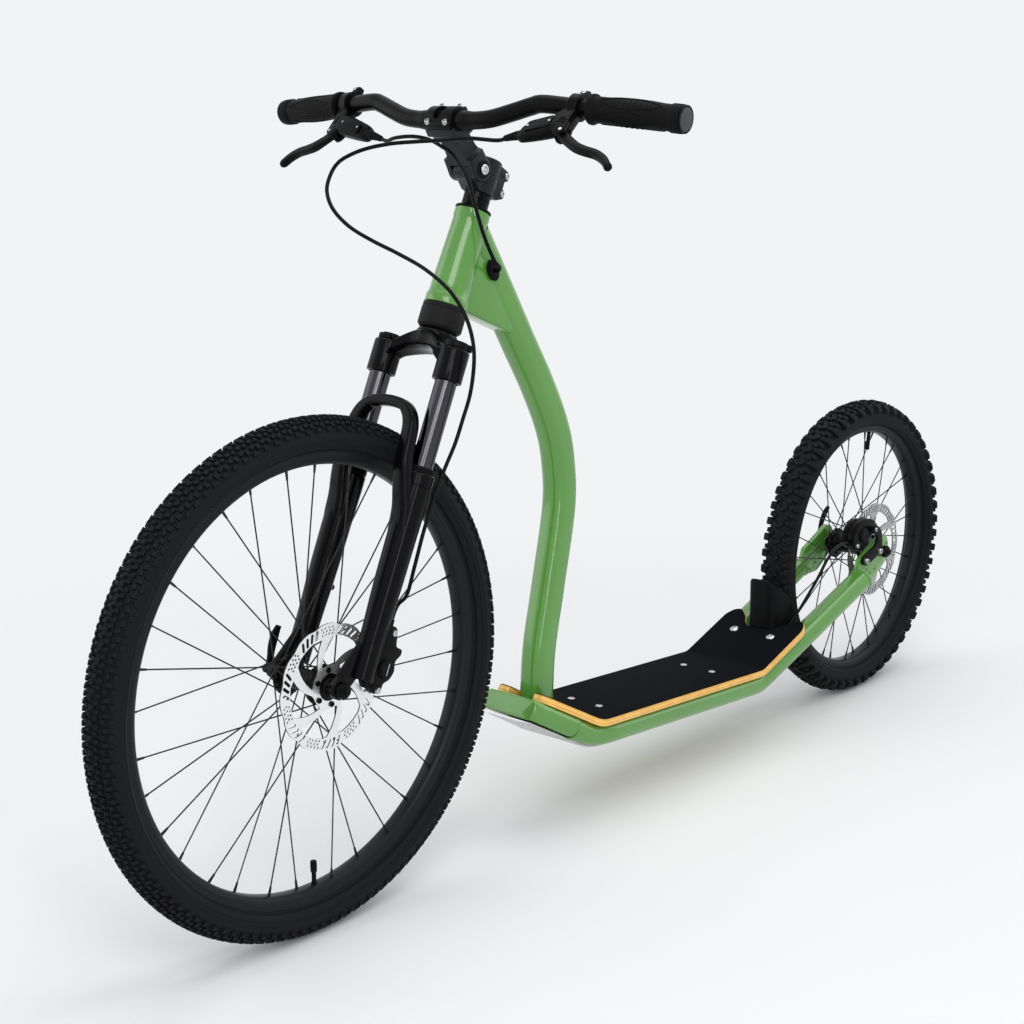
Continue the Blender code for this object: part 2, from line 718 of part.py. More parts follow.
def head_tube(parent):
    """Tapered head tube with a collar at each end."""
    top, length = HEAD_TUBE_TOP_RADIUS, HEAD_TUBE_LENGTH
    bottom, bore = HEAD_TUBE_BOTTOM_RADIUS, HEAD_TUBE_BORE
    profile = [(bore, 0.0), (bottom + 0.0005, 0.0), (bottom + 0.0005, 0.012), (bottom - 0.0005, 0.014),
               (top, length - 0.012), (top + 0.0005, length - 0.010), (top + 0.0005, length), (bore, length)]
    return put("head_tube", turned(profile, ROUND), paint("head_tube"), parent)


def head_tube_cutter(parent):
    """The room that the head tube takes out of the tubes welded to it."""
    top, bottom = HEAD_TUBE_TOP_RADIUS + 0.0005 + GAP, HEAD_TUBE_BOTTOM_RADIUS + 0.0005 + GAP
    length = HEAD_TUBE_LENGTH
    profile = [(0.0, -0.060), (bottom, -0.060), (bottom, 0.0), (bottom, 0.012), (top, length - 0.012),
               (top, length + 0.060), (0.0, length + 0.060)]
    return put_cutter("head_tube_room", turned(profile, ROUND, closed=False), parent)


def headset(parent):
    """Thin upper cup and tall lower cup."""
    bore = STEERER_RADIUS + RUNNING_GAP
    start = HEAD_TUBE_LENGTH + GAP
    radius = HEAD_TUBE_TOP_RADIUS + 0.0010
    profile = [(bore, start), (radius, start), (radius, start + 0.003),
               (radius - 0.003, start + UPPER_CUP_HEIGHT), (bore, start + UPPER_CUP_HEIGHT)]
    put("upper_headset_cup", turned(profile, ROUND), black_metal("upper_headset_cup"), parent)
    low = -LOWER_CUP_HEIGHT
    profile = [(bore, low), (LOWER_CUP_RADIUS - 0.004, low), (LOWER_CUP_RADIUS, low + 0.004),
               (LOWER_CUP_RADIUS, -0.006), (HEAD_TUBE_BOTTOM_RADIUS + 0.0005, -GAP), (bore, -GAP)]
    name = "lower_headset_cup"
    put(name, turned(profile, ROUND), finish(name, (0.02, 0.02, 0.02), 0.6), parent)


def nose_height(x):
    """Height of the deck's underside on the nose."""
    rise = (DECK_FRONT_BEND_X - DECK_REAR_BEND_X) * tan(DECK_SLOPE)
    return DECK_HEIGHT + rise + (x - DECK_FRONT_BEND_X) * tan(DECK_NOSE_KICK)


# Share of the way from the down tube's foot to its top, and the bow there as a share of that length
DOWN_TUBE_BOW = ((0.11, 0.030), (0.23, 0.082), (0.38, 0.146), (0.47, 0.162),
                 (0.55, 0.158), (0.65, 0.130), (0.75, 0.092), (0.87, 0.048))
# Shares of the way up the down tube at which the hose inside it runs along the middle
TUBE_SHARES = (0.849, 0.658, 0.438, 0.247, 0.068)


def down_tube_route(spacing):
    """Centre line of the bowed down tube, from the crossmember to the steering axis."""
    foot = Vector((DOWN_TUBE_BASE_X, 0.0, nose_height(DOWN_TUBE_BASE_X)))
    top = from_steering(0.0, 0.0, DOWN_TUBE_TOP)
    chord = top - foot
    back = Vector((chord.z, 0.0, -chord.x)).normalized()
    reach = chord.length
    points = [foot] + [foot + chord * share - back * reach * bow for share, bow in DOWN_TUBE_BOW] + [top]
    return smooth_route(points, spacing)


def down_tube_shape(grow, steps):
    """The down tube's solid, made larger all round by a margin, its foot cut along the crossmember."""
    section = rounded_rectangle(DOWN_TUBE_DEPTH + 2 * grow, DOWN_TUBE_WIDTH + 2 * grow,
                                DOWN_TUBE_CORNER + grow, steps)
    route = down_tube_route(0.050)
    rings = []
    last = len(route) - 1
    for k, centre in enumerate(route):
        along = (route[min(k + 1, last)] - route[max(k - 1, 0)]).normalized()
        across = Vector((0.0, 1.0, 0.0)).cross(along).normalized()
        rings.append([centre + across * u + Vector((0.0, v, 0.0)) for u, v in section])
    drop = GAP if grow >= 0.0 else 0.004
    for point in rings[0]:
        point.z = nose_height(point.x) - (drop if grow < 0.0 else 0.0)
    return loft(rings)


def down_tube(parent, head_room):
    """Hollow bowed down tube with a hole for the rear hose."""
    item = put("down_tube", down_tube_shape(0.0, 2), paint("down_tube"), parent)
    boolean(item, head_room, "DIFFERENCE")
    boolean(item, put_cutter("down_tube_bore", down_tube_shape(-DOWN_TUBE_WALL, 1), parent), "DIFFERENCE")
    hole = turned([(0.0, 0.0), (0.0045, 0.0), (0.0045, 0.012), (0.0, 0.012)], 10, "Y", closed=False)
    place = grommet_place()
    tool = put_cutter("hose_hole", hole, parent, (place.x, DOWN_TUBE_WIDTH / 2 - 0.008, place.z))
    boolean(item, tool, "DIFFERENCE")


def grommet_place():
    """Middle of the grommet on the left face of the down tube."""
    route = down_tube_route(0.010)
    top = from_steering(0.0, 0.0, DOWN_TUBE_TOP)
    centre = min(route, key=lambda point: abs((point - top).length - 0.062))
    return Vector((centre.x + 0.008, DOWN_TUBE_WIDTH / 2, centre.z - 0.004))


def grommet(parent):
    """Oval rubber grommet round the rear hose."""
    place = grommet_place()
    lean = radians(28.0)
    outline = []
    for u, v in ring_points(1.0, 14):
        outline.append((0.0085 * u * cos(lean) + 0.0125 * v * sin(lean),
                        -0.0085 * u * sin(lean) + 0.0125 * v * cos(lean)))
    item = put("hose_grommet", prism(outline, GAP, 0.0040), rubber("hose_grommet"), parent, place)
    bore = turned([(0.0, -0.002), (HOSE_DIAMETER / 2 + 0.0008, -0.002), (HOSE_DIAMETER / 2 + 0.0008, 0.006),
                   (0.0, 0.006)], 10, "Y", closed=False)
    boolean(item, put_cutter("grommet_bore", bore, parent, place), "DIFFERENCE")


def neck_gusset(parent, head_room):
    """Boxed gusset that fills the corner between the head tube and the down tube."""
    route = down_tube_route(0.010)
    foot_z = from_steering(0.0, 0.0, 0.0).z - 0.053
    inside = min(route, key=lambda point: abs(point.z - foot_z))
    upper = min(route, key=lambda point: abs(point.z - foot_z - 0.075))
    low = from_steering(0.0, 0.0, 0.001)
    high = from_steering(0.0, 0.0, 0.085)
    outline = [(low.x, low.z), (high.x, high.z), (upper.x, upper.z), (inside.x, inside.z)]
    solid = prism(outline, -GUSSET_HALF_WIDTH, GUSSET_HALF_WIDTH)
    item = put("neck_gusset", solid, paint("neck_gusset"), parent)
    boolean(item, head_room, "DIFFERENCE")
    boolean(item, put_cutter("down_tube_room", down_tube_shape(GAP, 2), parent), "DIFFERENCE")


def rail_spread(x):
    """Distance of a side rail's centre line from the middle of the scooter."""
    if x < DECK_REAR_BEND_X:
        share = (DECK_REAR_BEND_X - x) / (DECK_REAR_BEND_X - RAIL_REAR_X)
        return RAIL_SPREAD + (RAIL_REAR_SPREAD - RAIL_SPREAD) * share
    if x > DECK_FRONT_BEND_X - 0.03:
        share = (x - DECK_FRONT_BEND_X + 0.03) / (RAIL_FRONT_X - DECK_FRONT_BEND_X + 0.03)
        return RAIL_SPREAD + (RAIL_FRONT_SPREAD - RAIL_SPREAD) * min(share, 1.0)
    return RAIL_SPREAD


def rail_shape(side, grow=0.0):
    """Solid of a side rail, made larger all round by a margin."""
    line = BentLine(RAIL_REAR_X, RAIL_FRONT_X)
    depth = GAP + RAIL_HEIGHT / 2
    section = rounded_rectangle(RAIL_HEIGHT + 2 * grow, RAIL_WIDTH + 2 * grow, 0.0140 + grow, 2)
    rings = []
    for place in line.places:
        centre = line.at(place, -depth)
        top = line.at(place, 0.0)
        up = (top - centre).normalized()
        spread = rail_spread(top.x)
        rings.append([(centre.x + up.x * u, side * (spread + v), centre.y + up.y * u) for u, v in section])
    return loft(rings)


def side_rail(name, side, parent):
    """Oval rail under the deck edge that sweeps up as a stay to the rear dropout."""
    return put(name, rail_shape(side), paint(name), parent)


def crossmember(parent):
    """Wide flattened box at the front that joins the rails and carries the down tube."""
    line = BentLine(RAIL_REAR_X, CROSSMEMBER_FRONT_X)
    start = line.place_of(RAIL_FRONT_X) + GAP
    end = line.length
    rear_width = 2 * RAIL_FRONT_SPREAD + RAIL_WIDTH
    depth = GAP + CROSSMEMBER_HEIGHT / 2
    rings = []
    for share, shrink in ((0.0, 0.0), (0.5, 0.0), (0.97, 0.0), (1.0, 0.0022)):
        place = start + (end - start) * share
        centre, top = line.at(place, -depth), line.at(place, 0.0)
        up = (top - centre).normalized()
        width = rear_width + (CROSSMEMBER_FRONT_WIDTH - rear_width) * share - 2 * shrink
        section = rounded_rectangle(CROSSMEMBER_HEIGHT - 2 * shrink, width, 0.0125 - shrink, 2)
        rings.append([(centre.x + up.x * u, v, centre.y + up.y * u) for u, v in section])
    item = put("front_crossmember", loft(rings), paint("front_crossmember"), parent)
    route = [point for point in rear_hose_route() if point.z < DOWN_TUBE_FOOT_ROOM]
    route = [point for point in route if point.x > RAIL_FRONT_X - 0.045]
    channel = sweep(route, ring_points(HOSE_DIAMETER / 2 + 0.0015, 8))
    boolean(item, put_cutter("hose_channel", channel, parent), "DIFFERENCE")


def deck_outline(line, inset):
    """Flat outline of the deck as (distance along it, half width) for its left half, rear to front."""
    bend = line.place_of(DECK_FRONT_BEND_X)
    notch = line.place_of(guard_front() + GAP)
    slot_back = line.place_of(DOWN_TUBE_BASE_X - DOWN_TUBE_DEPTH / 2 - 0.0025)
    slot_half = DOWN_TUBE_WIDTH / 2 + 0.002
    half, tip, nose, end = DECK_HALF_WIDTH, DECK_TIP_HALF_WIDTH, DECK_NOSE_HALF_WIDTH, line.length
    points = [(notch + inset, 0.0), (notch + inset, GUARD_HALF_WIDTH - 0.006),
              (notch - 0.010 + inset, GUARD_HALF_WIDTH + 0.006), (notch - 0.026 + inset, tip - 0.016),
              (0.005 + inset, tip - 0.006), (inset, tip), (0.003 + inset, tip + 0.010),
              (0.012 + inset, half - 0.004 - inset / 2), (0.024, half - inset),
              (bend - 0.016, half - inset), (bend - 0.004, half - 0.0015 - inset),
              (bend + 0.008, half - 0.006 - inset),
              (end - 0.014, nose + 0.006 - inset), (end - 0.004 - inset, nose - inset),
              (end - inset, nose - 0.007), (end - inset, slot_half + 0.004 + inset),
              (end - 0.004 - inset, slot_half + inset), (slot_back + 0.008, slot_half + inset),
              (slot_back - inset, slot_half - 0.008), (slot_back - inset, 0.0)]
    return points


def bent_plate(line, inset, low, high):
    """Bend a flat blank of the deck's outline round the line, between two heights above it."""
    half = deck_outline(line, inset)
    outline = half + [(s, -y) for s, y in reversed(half[1:-1])]
    mesh = prism(outline, low, high, "XY")
    for place in line.places[1:-1]:
        bmesh.ops.bisect_plane(mesh, geom=mesh.verts[:] + mesh.edges[:] + mesh.faces[:],
                               plane_co=(place, 0.0, 0.0), plane_no=(1.0, 0.0, 0.0), dist=1e-5)
    for vert in mesh.verts:
        point = line.at(vert.co.x, vert.co.z)
        vert.co = (point.x, vert.co.y, point.y)
    bmesh.ops.recalc_face_normals(mesh, faces=mesh.faces)
    return mesh


def deck(parent):
    """Plywood board, grip sheet on it, and the holes for the bolts."""
    line = BentLine(DECK_REAR_X, DECK_NOSE_X)
    board = put("deck_board", bent_plate(line, 0.0, 0.0, DECK_THICKNESS),
                finish("deck_board", (0.72, 0.42, 0.12), 0.5), parent)
    start = DECK_THICKNESS + GAP
    sheet = put("grip_sheet", bent_plate(line, GRIP_TAPE_INSET, start, start + GRIP_TAPE_THICKNESS),
                finish("grip_sheet", (0.01, 0.012, 0.015), 0.95), parent)
    for item, wide in ((board, False), (sheet, True)):
        holes = bmesh.new()
        for x, spread, head in BEARERS:
            section = ring_points(BOLT_RADIUS + 2 * GAP, 6)
            if wide:
                section = ring_points((head + 2 * GAP) / cos(pi / 6), 6)
            for side in (1, -1):
                base, top = line.at(line.place_of(x), -0.002), line.at(line.place_of(x), 0.020)
                route = [Vector((base.x, side * spread, base.y)), Vector((top.x, side * spread, top.y))]
                sweep(route, section, mesh=holes)
        boolean(item, put_cutter("bolt_holes", holes, parent), "DIFFERENCE")


# Place of each deck bearer, spread of its two bolts, and radius of the bolt heads
BEARERS = ((DECK_FRONT_BEND_X - 0.050, 0.026, 0.0052), (DECK_REAR_BEND_X + 0.075, 0.027, 0.0052),
           (DECK_REAR_X + 0.053, 0.0350, 0.0072))
BEARER_NAMES = ("deck_bearer_front", "deck_bearer_middle", "deck_bearer_rear")


def bearer(name, x, spread, head, parent):
    """Plate between the rails under the deck, with the two bolts that hold the deck to it."""
    line = BentLine(DECK_REAR_X, DECK_NOSE_X)
    place = line.place_of(x)
    half = rail_spread(x)
    low, high = -GAP - BEARER_THICKNESS, -GAP
    corners = [line.at(place + s, h) for s, h in ((-BEARER_LENGTH / 2, low), (BEARER_LENGTH / 2, low),
                                                   (BEARER_LENGTH / 2, high), (-BEARER_LENGTH / 2, high))]
    item = put(name, prism([(c.x, c.y) for c in corners], -half, half), paint(name), parent)
    for side, label in ((1, "_left"), (-1, "_right")):
        boolean(item, put_cutter(name + label + "_rail_room", rail_shape(side, GAP), parent), "DIFFERENCE")
    bolts = bmesh.new()
    base, top = line.at(place, 0.0), line.at(place, 1.0)
    up = Vector((top.x - base.x, 0.0, top.y - base.y))
    seat = DECK_THICKNESS + GAP
    head_top = seat + GRIP_TAPE_THICKNESS + 0.0025
    profile = [(0.0, low - 0.006), (0.005, low - 0.006), (0.005, low + 0.001), (BOLT_RADIUS, low + 0.001),
               (BOLT_RADIUS, seat), (head, seat), (head, seat + GRIP_TAPE_THICKNESS), (0.7 * head, head_top),
               (0.0, head_top)]
    turn = Vector((0.0, 0.0, 1.0)).rotation_difference(up).to_matrix()
    for side in (1, -1):
        bolt = turned(profile, 6, "Z", closed=False)
        bmesh.ops.rotate(bolt, verts=bolt.verts, cent=(0, 0, 0), matrix=turn)
        bmesh.ops.translate(bolt, verts=bolt.verts, vec=(base.x, side * spread, base.y))
        data = bpy.data.meshes.new(name)
        bolt.to_mesh(data)
        bolt.free()
        bolts.from_mesh(data)
    boolean(item, put_cutter(name + "_bolts", bolts, parent), "UNION")


def skid_strip(parent):
    """Thin guard strip under the front bend of the frame."""
    line = BentLine(RAIL_REAR_X, CROSSMEMBER_FRONT_X - 0.006)
    first = line.place_of(DECK_FRONT_BEND_X - 0.050)
    top = -GAP - RAIL_HEIGHT - GAP
    rings = []
    wide, narrow = RAIL_SPREAD + 0.004, CROSSMEMBER_FRONT_WIDTH / 2 - 0.004
    for place in [first] + [other for other in line.places if other > first]:
        upper, lower = line.at(place, top), line.at(place, top - SKID_THICKNESS)
        half = wide + (narrow - wide) * (place - first) / (line.length - first)
        rings.append([(lower.x, -half, lower.y), (upper.x, -half, upper.y),
                      (upper.x, half, upper.y), (lower.x, half, lower.y)])
    put("skid_strip", loft(rings), finish("skid_strip", (0.55, 0.55, 0.56), 0.3, 0.8), parent)


def dropout_outline():
    """Outline of a rear dropout plate, seen from the side."""
    line = BentLine(RAIL_REAR_X, RAIL_FRONT_X)
    depth = GAP + RAIL_HEIGHT / 2
    axle_z = REAR_AXLE_HEIGHT
    end = [line.at(0.0, -depth + h) for h in (-0.014, 0.015)]
    along = (line.at(0.05) - line.at(0.0)).normalized()
    end = [point - along * GAP for point in end]
    lower, upper = (end[0].x, end[0].y), (end[1].x, end[1].y)
    return [lower, upper, (0.074, axle_z + 0.001), (0.058, axle_z + 0.007), (0.024, axle_z + 0.022),
            (0.008, axle_z + 0.030),
            (-0.008, axle_z + 0.028), (-0.017, axle_z + 0.014), (-0.018, axle_z - 0.004),
            (-0.012, axle_z - 0.018), (0.008, axle_z - 0.030), (0.034, axle_z - 0.046)]


def dropout(name, side, parent):
    """Plate at the end of a stay that holds the rear axle, drilled with small round holes."""
    inner = HUB_WIDTH / 2 + GAP
    low, high = sorted((side * inner, side * (inner + DROPOUT_THICKNESS)))
    item = put(name, prism(dropout_outline(), low, high), paint(name), parent)
    holes = bmesh.new()
    spots = [(0.0, 0.0, AXLE_RADIUS + GAP), (0.012, 0.018, 0.0022), (-0.010, 0.012, 0.0022),
             (0.052, -0.022, 0.0022), (0.040, -0.030, 0.0022), (0.058, -0.038, 0.0022)]
    for x, z, radius in spots:
        count = 12 if radius > 0.004 else 6
        rings = [[(x + u, depth, REAR_AXLE_HEIGHT + z + v) for u, v in ring_points(radius, count)]
                 for depth in (low - 0.002, high + 0.002)]
        loft(rings, holes)
    boolean(item, put_cutter(name + "_holes", holes, parent), "DIFFERENCE")


def guard_front():
    """Place of the front face of the wheel guard, just behind the rear bearer."""
    line = BentLine(DECK_REAR_X, DECK_NOSE_X)
    place = line.place_of(BEARERS[2][0]) - BEARER_LENGTH / 2
    return line.at(place, -GAP - BEARER_THICKNESS).x - GAP


def wheel_guard(parent):
    """Upright plastic guard before the rear tyre, with a wing on each side."""
    front = guard_front()
    outside = [(front - 0.058, 0.0325), (front - 0.030, 0.0295), (front - 0.006, GUARD_HALF_WIDTH),
               (front, GUARD_HALF_WIDTH - 0.006)]
    path = outside + [(x, -y) for x, y in reversed(outside)]
    inside = [(x - GUARD_THICKNESS if abs(y) < GUARD_HALF_WIDTH - 0.001 else x - 0.4 * GUARD_THICKNESS,
               y - 0.8 * GUARD_THICKNESS * (1 if y > 0 else -1) if abs(y) >= GUARD_HALF_WIDTH - 0.001 else y)
              for x, y in path]
    outline = path + list(reversed(inside))
    foot = 0.150
    rings = []
    for height in (foot, 0.200, 0.225, GUARD_TOP_Z):
        rings.append([])
        for x, y in outline:
            back = (front - x) / 0.058
            z = foot + (height - foot) * (1.0 - 0.52 * back)
            rings[-1].append((x, y, z + (0.020 * back if height == foot else 0.0)))
    put("wheel_guard", loft(rings), plastic("wheel_guard"), parent)


def rear_caliper(parent):
    """Rear caliper above the left dropout, with the foot that bolts it there."""
    axle_z = REAR_AXLE_HEIGHT
    body = [(0.010, axle_z + 0.046), (0.014, axle_z + 0.040), (0.030, axle_z + 0.034), (0.044, axle_z + 0.022),
            (0.056, axle_z + 0.012), (0.074, axle_z + 0.014), (0.085, axle_z + 0.024), (0.087, axle_z + 0.038),
            (0.080, axle_z + 0.050), (0.066, axle_z + 0.060), (0.048, axle_z + 0.064), (0.026, axle_z + 0.060)]
    item = put("rear_caliper", prism(body, CALIPER_INNER, CALIPER_OUTER), black_metal("rear_caliper"), parent)
    outer = HUB_WIDTH / 2 + GAP + DROPOUT_THICKNESS + GAP
    foot = [(0.014, axle_z + 0.003), (0.024, axle_z - 0.002), (0.060, axle_z - 0.013), (0.073, axle_z - 0.008),
            (0.074, axle_z + 0.003), (0.064, axle_z + 0.007), (0.034, axle_z + 0.016), (0.027, axle_z + 0.026),
            (0.031, axle_z + 0.036), (0.044, axle_z + 0.040), (0.040, axle_z + 0.051), (0.025, axle_z + 0.050),
            (0.014, axle_z + 0.038), (0.011, axle_z + 0.018)]
    tools = [put_cutter("rear_caliper_foot", prism(foot, outer, outer + 0.005), parent)]
    bridge = [(0.027, axle_z + 0.0395), (0.041, axle_z + 0.0405), (0.039, axle_z + 0.0490),
              (0.026, axle_z + 0.0485)]
    solid = prism(bridge, CALIPER_OUTER - 0.003, outer + 0.003)
    tools.append(put_cutter("rear_caliper_bridge", solid, parent))
    for k, (bolt_x, bolt_z) in enumerate(((0.023, 0.006), (0.066, -0.003))):
        head = turned([(0.0, 0.0), (0.0055, 0.0), (0.0055, 0.006), (0.0045, 0.008), (0.0, 0.008)], 8, "Y",
                      closed=False)
        tools.append(put_cutter("rear_caliper_bolt_%d" % k, head, parent,
                                (bolt_x, outer + 0.003, axle_z + bolt_z)))
    for tool in tools:
        boolean(item, tool, "UNION")
    boolean(item, disc_room(parent, "rear_disc_room", (0.0, 0.0, axle_z)), "DIFFERENCE")


# Outline of the front caliper behind the left fork leg, as (forward, height over the axle)
FRONT_CALIPER_OUTLINE = ((-0.0095, 0.094), (-0.0240, 0.092), (-0.0280, 0.081), (-0.0310, 0.069),
                         (-0.0430, 0.068), (-0.0440, 0.061), (-0.0360, 0.051), (-0.0400, 0.039),
                         (-0.0350, 0.027), (-0.0260, 0.021), (-0.0260, 0.009), (-0.0140, 0.005),
                         (-0.0075, 0.013), (-0.0043, 0.019), (-0.0043, 0.035), (0.0005, 0.039),
                         (0.0005, 0.065), (-0.0043, 0.071), (-0.0043, 0.091))
CALIPER_PADS = ((0.072, 0.091), (0.020, 0.034))
CALIPER_FACE = -0.0043
HOSE_END_X = -0.0185
HOSE_END_Y = 0.0440
HOSE_END_HEIGHT = 0.101
CALIPER_INNER = ROTOR_PLACE - 0.0125
CALIPER_OUTER = ROTOR_PLACE + 0.0145


def disc_room(parent, name, location):
    """The slot that a brake disc needs in its caliper."""
    half = ROTOR_THICKNESS / 2 + RUNNING_GAP
    reach = ROTOR_RADIUS + 0.0025
    disc = turned([(0.0, ROTOR_PLACE - half), (reach, ROTOR_PLACE - half), (reach, ROTOR_PLACE + half),
                   (0.0, ROTOR_PLACE + half)], 40, "Y", closed=False)
    return put_cutter(name, disc, parent, location)


def front_caliper(parent):
    """Front caliper behind the left fork leg, with its round piston cap and hose nipple."""
    outline = [(x, height - FORK_LENGTH) for x, height in FRONT_CALIPER_OUTLINE]
    item = put("front_caliper", prism(outline, CALIPER_INNER, CALIPER_OUTER),
               black_metal("front_caliper"), parent)
    cap = turned([(0.0, 0.0), (0.0125, 0.0), (0.0125, 0.0045), (0.0110, 0.006), (0.0, 0.006)], ROUND, "Y",
                 closed=False)
    cap_place = (-0.0215, CALIPER_OUTER - 0.001, 0.039 - FORK_LENGTH)
    boolean(item, put_cutter("front_caliper_cap", cap, parent, cap_place), "UNION")
    nipple = turned([(0.0, -0.015), (0.0036, -0.015), (0.0036, 0.0), (0.0, 0.0)], 8, closed=False)
    nipple_place = (HOSE_END_X, HOSE_END_Y, HOSE_END_HEIGHT - FORK_LENGTH)
    boolean(item, put_cutter("front_caliper_nipple", nipple, parent, nipple_place), "UNION")
    boolean(item, disc_room(parent, "front_disc_room", (FORK_OFFSET, 0.0, -FORK_LENGTH)), "DIFFERENCE")


def crown(parent):
    """Steerer, crown bridge and the two blocks that hold the stanchions."""
    top = STEM_BASE_TOP - 0.003
    boss_top = -LOWER_CUP_HEIGHT - GAP
    profile = [(0.0, -0.066), (0.0200, -0.066), (0.0265, -0.058), (0.0275, boss_top - 0.006),
               (0.0240, boss_top), (STEERER_RADIUS, boss_top), (STEERER_RADIUS, top), (0.0, top)]
    gloss = finish("fork_crown", BLACK, 0.25, 0.3)
    item = put("fork_crown", turned(profile, ROUND, closed=False), gloss, parent)
    sections = []
    for share in (-0.93, -0.68, -0.42, -0.13, 0.13, 0.42, 0.68, 0.93):
        y = share * LEG_SPREAD
        bend = min(1.0, abs(share) / 0.66) ** 2
        x = LEG_FORWARD * bend + 0.004 * (1 - bend)
        high = -0.046 + (CROWN_BLOCK_TOP - 0.002 + 0.046) * bend
        low = -0.072 + (CROWN_BLOCK_BOTTOM + 0.006 + 0.072) * abs(share) ** 2.5
        depth = 0.036 - 0.008 * abs(share)
        outline = rounded_rectangle(depth, high - low, 0.008, 1)
        sections.append([(x + u, y, (high + low) / 2 + v) for u, v in outline])
    boolean(item, put_cutter("crown_bridge", loft(sections), parent), "UNION")
    for side, label in ((1, "left"), (-1, "right")):
        radius, low, high = CROWN_BLOCK_RADIUS, CROWN_BLOCK_BOTTOM, CROWN_BLOCK_TOP
        block = turned([(0.0, low), (radius - 0.002, low), (radius, low + 0.003), (radius, high - 0.003),
                        (radius - 0.002, high), (0.0, high)], ROUND, closed=False)
        place = (LEG_FORWARD, side * LEG_SPREAD, 0.0)
        boolean(item, put_cutter(label + "_crown_block", block, parent, place), "UNION")
    radius, low, high = STANCHION_RADIUS + GAP, CROWN_BLOCK_BOTTOM - 0.004, CROWN_BLOCK_TOP - 0.006
    for side, label in ((1, "left"), (-1, "right")):
        bore = turned([(0.0, low), (radius, low), (radius, high), (0.0, high)], ROUND, closed=False)
        place = (LEG_FORWARD, side * LEG_SPREAD, 0.0)
        boolean(item, put_cutter(label + "_crown_bore", bore, parent, place), "DIFFERENCE")


def stanchion(name, side, parent):
    """Chromed tube between a crown block and the lower leg."""
    high = CROWN_BLOCK_TOP - 0.006 - GAP
    low = high - STANCHION_LENGTH
    radius = STANCHION_RADIUS
    profile = [(0.0, low), (radius - 0.001, low), (radius, low + 0.001), (radius, high), (0.0, high)]
    chrome = finish(name, (0.78, 0.79, 0.82), 0.06, 1.0)
    return put(name, turned(profile, ROUND, closed=False), chrome, parent,
               (LEG_FORWARD, side * LEG_SPREAD, 0.0))


def leg_top():
    """Height of the upper end of the lower legs in the steering frame: the arch clears the tyre."""
    tyre_top = FRONT_TYRE_RADIUS - FORK_LENGTH
    return tyre_top + ARCH_CLEARANCE + ARCH_THICKNESS - ARCH_HEIGHT


